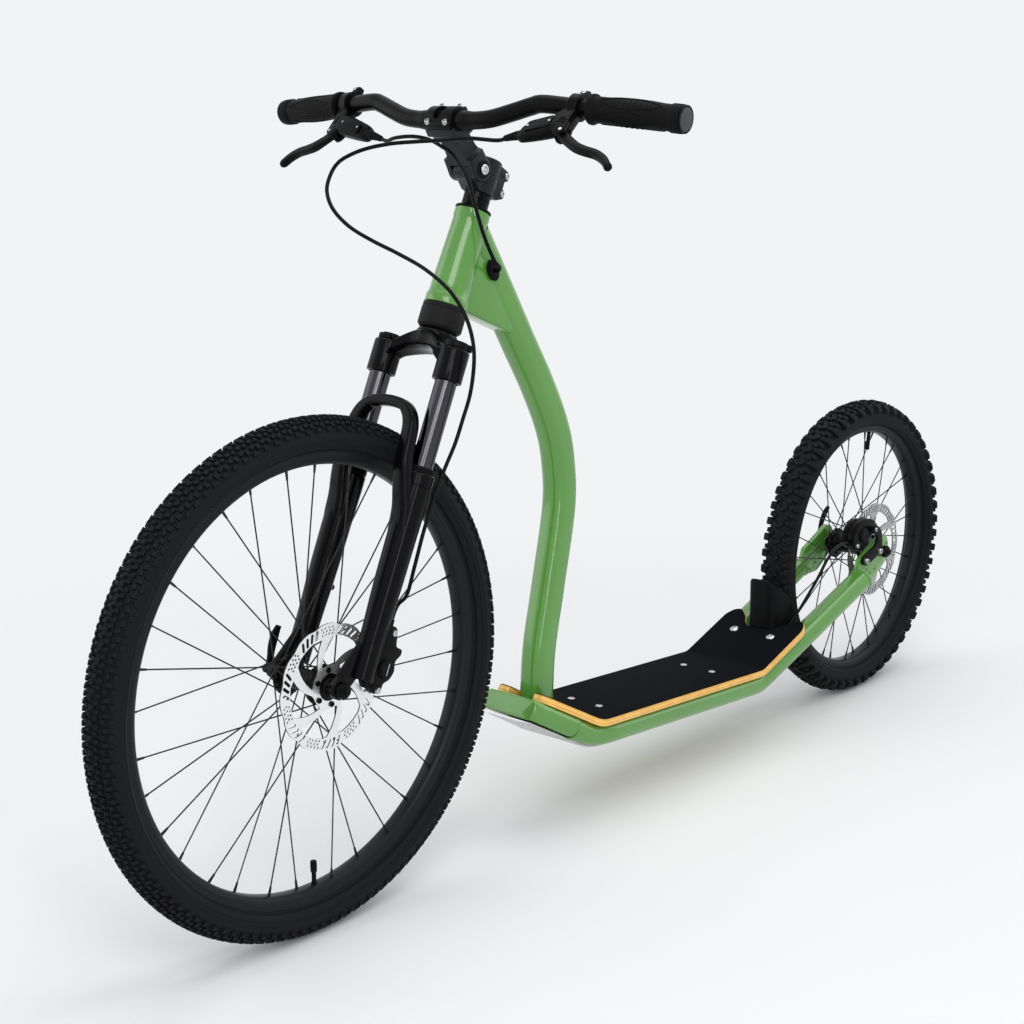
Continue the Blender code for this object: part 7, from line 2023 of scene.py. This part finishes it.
@dataclass
class Brakes(Assembly):
    """Both disc calipers, the wheel axles and their release levers."""

    layout: Layout
    inner: float = 0.026
    outer: float = 0.053
    disc_place: float = 0.0385
    disc_radius: float = 0.08
    axle_end: float = 0.0599
    body: str = "frame"

    def __post_init__(self) -> None:
        """Take the scooter's frame as the pieces' own."""
        self.home = self.layout.scooter

    def build(self) -> None:
        """Make the calipers, axles and levers."""
        self.front_caliper()
        self.rear_caliper()
        ends = (("front", "fork_lowers", self.layout.front_axle, 0.056, radians(-23.0)),
                ("rear", "frame", self.layout.rear_axle, 0.064, radians(-35.0)))
        for side, body, place, length, lean in ends:
            self.axle(side, body, place)
            self.release_lever(side, place, length, lean)
        LOG.info("brakes")

    def disc_room(self, place: Matrix) -> BMesh:
        """Return the slot that the disc needs."""
        low, high, reach = self.disc_place - 0.0016, self.disc_place + 0.0016, self.disc_radius + 0.002
        return spun([(0.0, low), (reach, low), (reach, high), (0.0, high)], 96, "Y", False, None, place)

    def halves(self, name: str, body: str, outline: Outline, corner: float, axle: Point,
               place: Matrix) -> None:
        """Make a caliper's two halves and the bridge between them, slotted for the disc.

        Args:
            name: the caliper's node, and the start of the pieces' names.
            body: the body that it rides on.
            outline: its side view.
            corner: how far its corners are rounded.
            axle: the wheel's axle in the same frame.
            place: that frame.
        """
        middle = Vector((sum(x for x, _ in outline), sum(z for _, z in outline))) / len(outline)
        seam = self.disc_place
        parts = (("inner", self.inner, seam - 0.0023, 0.92), ("bridge", seam - 0.0027, seam + 0.0027, 0.86),
                 ("outer", seam + 0.0023, self.outer, 1.0))
        for part, low, high, share in parts:
            form = [tuple(middle + (Vector(point) - middle) * share) for point in outline]
            mesh = plate(filleted(form, corner, 4), low, high, 0.0015, 3)
            piece = shown(f"{name}_{part}", mesh, SATIN_BLACK, body, [name] if part == "inner" else ())
            if part == "bridge":
                cut(piece, self.disc_room(Matrix.Translation(axle)))
            piece.data.transform(place)

    def piston_cap(self, mesh: BMesh, x: float, z: float) -> None:
        """Add the round cap over a caliper's outer piston.

        Args:
            mesh: the mesh to add to.
            x: the piston's place.
            z: the piston's height.
        """
        low = self.outer - 0.001
        profile = pairs(0, 0, 12.8, 0, 12.8, 3, 12.2, 4, 11.2, 4.4, 10.6, 5.6, 9.8, 6.2, 3, 6.2, 2.6, 5.2,
                        0, 5.2, up=low)
        spun(profile, 48, "Y", False, mesh, at(x, 0, z))
        for k in range(12):
            angle = 2 * pi * k / 12
            spot = at(x + 0.0116 * cos(angle), low + 0.0042, z + 0.0116 * sin(angle))
            merged(mesh, block((0.0014, 0.0022, 0.0014), spot @ turned(-angle), 0.0003))

    def front_caliper(self) -> None:
        """Two-piece caliper behind the left leg, with its bolts, cap, bleed screw and banjo."""
        length = self.layout.fork_length
        heights = ((-0.0095, 0.094), (-0.024, 0.092), (-0.028, 0.081), (-0.031, 0.069), (-0.043, 0.068),
                   (-0.044, 0.061), (-0.036, 0.051), (-0.04, 0.039), (-0.035, 0.027), (-0.026, 0.021),
                   (-0.026, 0.009), (-0.014, 0.005), (-0.0075, 0.013), (-0.0046, 0.019), (-0.0046, 0.035),
                   (0.0002, 0.039), (0.0002, 0.065), (-0.0046, 0.071), (-0.0046, 0.091))
        self.halves("front_caliper", "fork_lowers", [(x, z - length) for x, z in heights], 0.004,
                    (self.layout.fork_offset, 0.0, -length), self.layout.steering)
        details = bmesh.new()
        self.piston_cap(details, -0.0215, 0.039 - length)
        nipple = pairs(0, -15, 4, -15, 4, -11.5, 3.4, -11, 3.6, -10, 3.6, -1, 3, 0, 0, 0)
        spun(nipple, 6, "Z", False, details, at(-0.0185, 0.044, 0.101 - length))
        rod(Vector((-0.04, 0.04, 0.0645 - length)), Vector((-0.0475, 0.04, 0.066 - length)), 0.003, 20,
            details)
        self.show("front_caliper_fittings", details, PLASTIC, body="fork_lowers", place=self.layout.steering)
        bolts = bmesh.new()
        for x, z in ((-0.0185, 0.0845), (-0.018, 0.011)):
            spot = at(x, self.outer - 0.0006, z - length) @ turned(-pi / 2, "X")
            hex_bolt(bolts, spot, 0.0042, 0.004)
        merged(bolts, block((0.0012, 0.0008, 0.015), at(-0.0215, self.outer + 0.005, 0.039 - length)))
        self.show("front_caliper_bolts", bolts, BOLT_STEEL, body="fork_lowers", place=self.layout.steering)

    def rear_caliper(self) -> None:
        """Caliper over the left dropout, held by a curved bracket with two bolts."""
        axle = self.layout.rear_axle_height
        shape = ((0.01, 0.046), (0.014, 0.04), (0.03, 0.034), (0.044, 0.022), (0.056, 0.012), (0.074, 0.014),
                 (0.085, 0.024), (0.087, 0.038), (0.08, 0.05), (0.066, 0.06), (0.048, 0.064), (0.026, 0.06))
        self.halves("rear_caliper", "frame", [(x, axle + z) for x, z in shape], 0.0055, (0.0, 0.0, axle),
                    self.home)
        bridge = pairs(27, 39.5, 41, 40.5, 39, 49, 26, 48.5, up=axle)
        details = plate(filleted(bridge, 0.002, 3), self.outer - 0.003, 0.062, 0.0006)
        self.piston_cap(details, 0.056, axle + 0.037)
        foot = ((0.014, 0.003), (0.024, -0.002), (0.06, -0.013), (0.073, -0.008), (0.074, 0.003),
                (0.064, 0.007), (0.034, 0.016), (0.027, 0.026), (0.031, 0.036), (0.044, 0.04), (0.04, 0.051),
                (0.025, 0.05), (0.014, 0.038), (0.011, 0.018))
        bracket = plate(filleted([(x, axle + z) for x, z in foot], 0.006, 4), 0.0589, 0.0639, 0.0012, 3)
        merged(details, bracket)
        rod(Vector((0.0835, 0.044, axle + 0.032)), Vector((0.0865, 0.044, axle + 0.032)), 0.0045, 6, details)
        self.show("rear_caliper_bracket", details, PLASTIC)
        bolts = bmesh.new()
        for x, y, z in triples(23, 63.6, 6, 66, 63.6, -3, 34, 61.8, 45, 76, 52.4, 23):
            spot = at(x, y, axle + z) @ turned(-pi / 2, "X")
            hex_bolt(bolts, spot, 0.0048 if z < 0.02 else 0.0036, 0.0058 if z < 0.01 else 0.0034)
        self.show("rear_caliper_bolts", bolts, BOLT_STEEL)

    def axle(self, side: str, body: str, place: Matrix) -> None:
        """Skewer with a ribbed nut on the left and the cam housing on the right.

        Args:
            side: "front" or "rear".
            body: the body that it rides on.
            place: the axle's frame.
        """
        end = self.axle_end
        profile = [*pairs(0, 13, 3.2, 13, 4, 12, 4.6, 9.2, 8.6, 8, 9.6, 6.2, 10, 1.2, 9.4, 0, 4.7, 0, up=end),
                   *pairs(4.7, 0, 8.8, 0, 9.5, -0.8, 9.3, -6, 8.4, -7, 0, -7, up=-end)]
        mesh = spun(profile, 36, "Y", False)
        for k in range(10):
            angle = 2 * pi * k / 10
            spot = turned(-angle) @ at(0.0095, end + 0.0036, 0)
            merged(mesh, block((0.0016, 0.005, 0.0018), spot, 0.0004))
        self.show(side + "_skewer", mesh, SATIN_BLACK, side + "_axle", body=body, place=place)

    def release_lever(self, side: str, axle: Matrix, length: float, lean: float) -> None:
        """Curved release lever with a round cam head.

        Args:
            side: "front" or "rear".
            axle: the axle's frame.
            length: the lever's length.
            lean: its turn about the axle.
        """
        bow = ((0.0, 0.0), (-0.0015, 0.25), (-0.004, 0.5), (-0.0042, 0.78), (-0.0018, 0.985))
        route = smooth([(0.0, y, share * length) for y, share in bow], 0.003)
        widths = (0.0095, 0.01, 0.0125, 0.0135, 0.0088)
        sizes = []
        for k in range(len(route)):
            thin = 0.005 if k < len(route) - 2 else 0.004
            sizes.append((thin, between(widths, k / (len(route) - 1))))
        mesh = drawn(rounded(1.0, 1.0, 0.38, 5), stations(route, sizes, X_AXIS))
        head = pairs(0, 5.6, 4.8, 5.6, 5.6, 4.8, 5.6, -4.8, 4.8, -5.6, 0, -5.6)
        spun(head, 36, "Z", False, mesh, turned(pi / 2))
        place = axle @ at(0, -0.0724, 0) @ turned(lean)
        name = side + "_release_lever"
        self.show(name + "_blade", mesh, PLASTIC, name, body=name, place=place, sharp=40.0)


@dataclass
class Hoses:
    """The two hydraulic brake hoses, each split where it passes from one body to the next."""

    layout: Layout
    cockpit: Cockpit
    frame: Frame
    radius: float = 0.0025
    front_split: float = 0.7985
    rear_split: float = 0.9035
    spacing: float = 0.004

    def build(self) -> None:
        """Make both hoses' pieces."""
        upper, lower = self.split(smooth(self.front_points(), self.spacing), self.front_split)
        self.crossing("front_hose_upper", upper)
        self.crossing("front_hose_lower", lower)
        upper, lower = self.split(smooth(self.rear_points(), self.spacing), self.rear_split)
        self.crossing("rear_hose_upper", upper)
        self.crossing("rear_hose_lower", lower)
        mesh = self.tube(smooth(self.run_points(), 0.005))
        shown("rear_hose_in_frame", mesh, HOSE_BLACK, "frame", ["rear_hose_run"], self.layout.scooter)
        LOG.info("hoses")

    def tube(self, route: Sequence[Vector]) -> BMesh:
        """Return a round tube along a route."""
        ahead = Vector((0.31, 0.42, 0.85)).normalized()
        return drawn(ring(self.radius, 12), stations(route, None, ahead))

    def split(self, route: list[Vector], height: float) -> tuple[list[Vector], list[Vector]]:
        """Cut a route where it first falls below a height over the ground.

        Args:
            route: the centre line.
            height: the height over the ground.

        Returns:
            The route before the cut, and the route after it.
        """
        k = next(k for k, point in enumerate(route) if (self.layout.scooter @ point).z < height)
        return route[:k + 1], [route[k].lerp(route[k + 1], 0.12), *route[k + 1:]]

    def crossing(self, name: str, route: list[Vector]) -> None:
        """Show a piece of hose that runs between two bodies and rides on neither.

        Args:
            name: the hose's node.
            route: its centre line.
        """
        piece = shown(name + "_jacket", self.tube(route), HOSE_BLACK, None, [name], self.layout.scooter)
        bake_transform(piece)

    def out_of_master(self, side: int) -> list[Vector]:
        """Return the first two points of a hose, straight out of its boot."""
        back = self.layout.scooter.inverted() @ self.cockpit.control(side)
        return [back @ self.cockpit.master_line(side, reach) for reach in (0.08, 0.094)]

    def front_points(self) -> list[Vector]:
        """Return the front hose's route: before the stem, round the right side and down the left leg.

        Returns:
            The points.
        """
        on, length = self.layout.on_steering, self.layout.fork_length
        loop = triples(108, 62, 184, 117, 30, 177, 127, -5, 170, 138, -35, 162, 148, -62, 151, 155, -81, 139,
                       160, -93, 126, 161, -99, 109, 159, -99, 89, 151, -88, 69, 139, -64, 52, 124, -34, 41,
                       105, 0, 32, 85, 30, 22, 64, 55, 7)
        drop = triples(48, 71, 21, 37, 83, 60, 26, 90, 106, 17, 92, 156, 8, 90, 219, 5, 87, 282, 3, 84, 344,
                       4, 80, 409, 5, 77, 483, 3, 74, 569, -2, 71, 661)
        tail = triples(-18.5, 56.5, 135, -18.5, 47, 121, -18.5, 44.3, 109, -18.5, 44, 101.2)
        return [*self.out_of_master(1), *(on(*point) for point in loop),
                *(on(x, y, -share * length) for x, y, share in drop),
                *(on(x, y, z - length) for x, y, z in tail)]

    def rear_points(self) -> list[Vector]:
        """Return the rear hose's route from its master cylinder to the grommet.

        Returns:
            The points.
        """
        head = triples(92, -80, 188, 89, -55, 192, 84, -30, 191, 80, -8, 184, 74, 14, 173, 58, 31, 151,
                       33, 37, 119, 4, 37, 93, -22, 39, 73)
        mouth = self.frame.grommet_place() + Vector((0, 0.0046, 0))
        return [*self.out_of_master(-1), *(self.layout.on_steering(*point) for point in head),
                mouth + Vector((0.005, 0.0125, 0.006)), mouth + Vector((0, 0.006, 0)), mouth]

    def run_points(self) -> list[Vector]:
        """Return the route inside the down tube, under the deck and up to the rear caliper.

        Returns:
            The points.
        """
        place, tube = self.frame.grommet_place(), self.frame.route
        points = [place + Vector((0, 0.004, 0)), Vector((place.x, 0.017, place.z)),
                  Vector((place.x - 0.002, 0.009, place.z - 0.006))]
        points += [tube[round(share * (len(tube) - 1))] for share in (0.849, 0.658, 0.438, 0.247, 0.068)]
        foot, line = self.frame.foot_x, DeckLine(0.246, 0.889)
        points.append(Vector((foot - 0.001, 0, self.frame.nose_height(foot) + 0.012)))
        flat = line.front_bend - line.rear_bend
        under = [*pairs(-6, 7, -18, 13.5, out=foot), *pairs(811, 15.5, 795, 15)]
        depths = ((0.93, 0.013), (0.64, 0.01), (0.35, 0.01), (0.056, 0.01), (-0.066, 0.012))
        under += [(line.rear_bend + flat * share, depth) for share, depth in depths]
        for x, depth in under:
            spot = line.at(line.place_of(x), -depth)
            points.append(Vector((spot.x, 0, spot.y)))
        tail = triples(316, 8, 143, 292, 21, 143.5, 272, 32.5, 151.5, 258, 36, 166, 247, 38, 183,
                       230, 43, 201, 207, 47, 226, 186, 49, 247, 160, 47, 268, 134, 45.5, 281.5,
                       112, 44.5, 285.8, 99.6, 44.2, 286, 87, 44, 286)
        return [*points, *(Vector(point) for point in tail)]


def seen_directly(graph: Graph) -> NodeSocket:
    """Tell the rays from the camera, and those seen in metal or through glass, from the others.

    Args:
        graph: the nodes to add to.

    Returns:
        The socket of a value that is 1 for such rays and 0 for the others.
    """
    ray = graph.add("LightPath", {})
    value = ray.outputs["Is Camera Ray"]
    for name in ("Is Glossy Ray", "Is Transmission Ray"):
        value = graph.add("Math", {0: value, 1: ray.outputs[name]}, operation="MAXIMUM").outputs[0]
    return value


@dataclass
class Studio:
    """Pale floor, soft lamps and the camera."""

    layout: Layout
    ground: float = 0.0

    def build(self) -> None:
        """Make the floor, lamps, world and camera."""
        self.floor()
        self.lamps()
        self.world()
        self.camera()
        LOG.info("studio")

    def floor(self) -> None:
        """Pale floor that keeps the scooter's shadow and fades into the backdrop's colour."""
        mesh = bmesh.new()
        bmesh.ops.create_circle(mesh, cap_ends=True, radius=40.0, segments=64)
        data = baked("studio_floor", mesh)
        floor = linked("studio_floor", data)
        floor.location.z = self.ground - 0.0005
        surface = bpy.data.materials.new("studio_floor")
        surface.use_nodes = True
        graph = Graph(surface.node_tree)
        shader, output = (graph.tree.nodes[name] for name in ("Principled BSDF", "Material Output"))
        graph.fill(shader, {"Base Color": (0.885, 0.890, 0.895, 1.0), "Roughness": 0.95,
                            "Specular IOR Level": 0.1})
        glow = graph.add("Emission", {"Color": BACKDROP})
        place = graph.add("TexCoord", {}).outputs["Object"]
        reach = graph.add("VectorMath", {0: place}, operation="LENGTH")
        fade = graph.add("MapRange", {"Value": reach.outputs["Value"], "From Min": 0.85, "From Max": 1.75},
                         interpolation_type="SMOOTHSTEP")
        share = graph.add("Math", {0: fade.outputs["Result"], 1: seen_directly(graph)}, operation="MULTIPLY")
        mix = graph.add("MixShader", {"Fac": share.outputs[0], 1: shader.outputs["BSDF"],
                                      2: glow.outputs["Emission"]})
        graph.fill(output, {"Surface": mix.outputs["Shader"]})
        data.materials.append(surface)

    @staticmethod
    def lamps() -> None:
        """Large soft lamps from the front left, the right, above and behind, and one strip at the left."""
        lamps = (("key", (2.6, 2.2, 3.0), 2.0, 2.0, 46.0), ("fill", (2.4, -3.0, 1.6), 3.0, 3.0, 30.0),
                 ("top", (-0.6, 0.2, 3.8), 3.6, 3.6, 61.0), ("rim", (-3.2, 1.6, 2.0), 2.2, 2.2, 14.0),
                 ("strip", (2.0, 2.7, 1.15), 0.20, 2.3, 15.0))
        for name, place, wide, high, power in lamps:
            data = bpy.data.lights.new(name + "_lamp", "AREA")
            data.shape, data.size, data.size_y, data.energy = "RECTANGLE", wide, high, power
            lamp = linked(name + "_lamp", data)
            lamp.location = place
            lamp.visible_camera = False
            aim = Vector((0, 0, 0.45)) - Vector(place)
            lamp.rotation_euler = aim.to_track_quat("-Z", "Y").to_euler()

    @staticmethod
    def world() -> None:
        """Plain pale world, white enough to the camera to be the backdrop."""
        world = bpy.data.worlds.new("studio_world")
        bpy.context.scene.world = world
        world.use_nodes = True
        graph = Graph(world.node_tree)
        light, output = (graph.tree.nodes[name] for name in ("Background", "World Output"))
        graph.fill(light, {"Color": (0.86, 0.88, 0.90, 1.0), "Strength": 0.55})
        seen = graph.add("Background", {"Color": BACKDROP, "Strength": 1.0})
        mix = graph.add("MixShader", {"Fac": seen_directly(graph), 1: light.outputs["Background"],
                                      2: seen.outputs["Background"]})
        graph.fill(output, {"Surface": mix.outputs["Shader"]})

    def camera(self) -> None:
        """Camera at the photograph's place, found in the scooter's own frame."""
        yaw, pitch, roll = -2.4178, -0.2345, -0.0093
        place, focal_pixels, picture_pixels, sensor = (2.76697, 1.66268, 1.07736), 1905.66, 1024, 36.0
        ahead = Vector((cos(yaw) * cos(pitch), sin(yaw) * cos(pitch), sin(pitch)))
        right = ahead.cross(Z_AXIS).normalized()
        up = right.cross(ahead)
        right, up = right * cos(roll) + up * sin(roll), up * cos(roll) - right * sin(roll)
        data = bpy.data.cameras.new("camera")
        data.sensor_width, data.lens = sensor, sensor * focal_pixels / picture_pixels
        camera = linked("camera", data)
        camera.matrix_world = self.layout.scooter @ at(*place) @ axes(right, up, -ahead)
        bpy.context.scene.camera = camera
        bpy.context.scene.view_settings.view_transform = "Standard"


def main() -> None:
    """Build every sub-assembly in order."""
    logging.basicConfig(level=logging.INFO, format="%(name)s: %(message)s")
    layout = Layout()
    Wheel("front", layout.front_axle, layout.front_radius, 0.286, 0.0178, Tread.DENSE, 3 * pi / 32, pi,
          POLISHED_STEEL, -1).build()
    Wheel("rear", layout.rear_axle, layout.rear_radius, 0.2095, 0.012, Tread.ARROW, pi / 32, radians(-11.25),
          WORN_STEEL).build()
    structure = Frame(layout)
    structure.build()
    Deck(layout).build()
    Fork(layout).build()
    cockpit = Cockpit(layout)
    cockpit.build()
    Brakes(layout).build()
    Hoses(layout, cockpit, structure).build()
    Studio(layout).build()


if __name__ == "__main__":
    main()
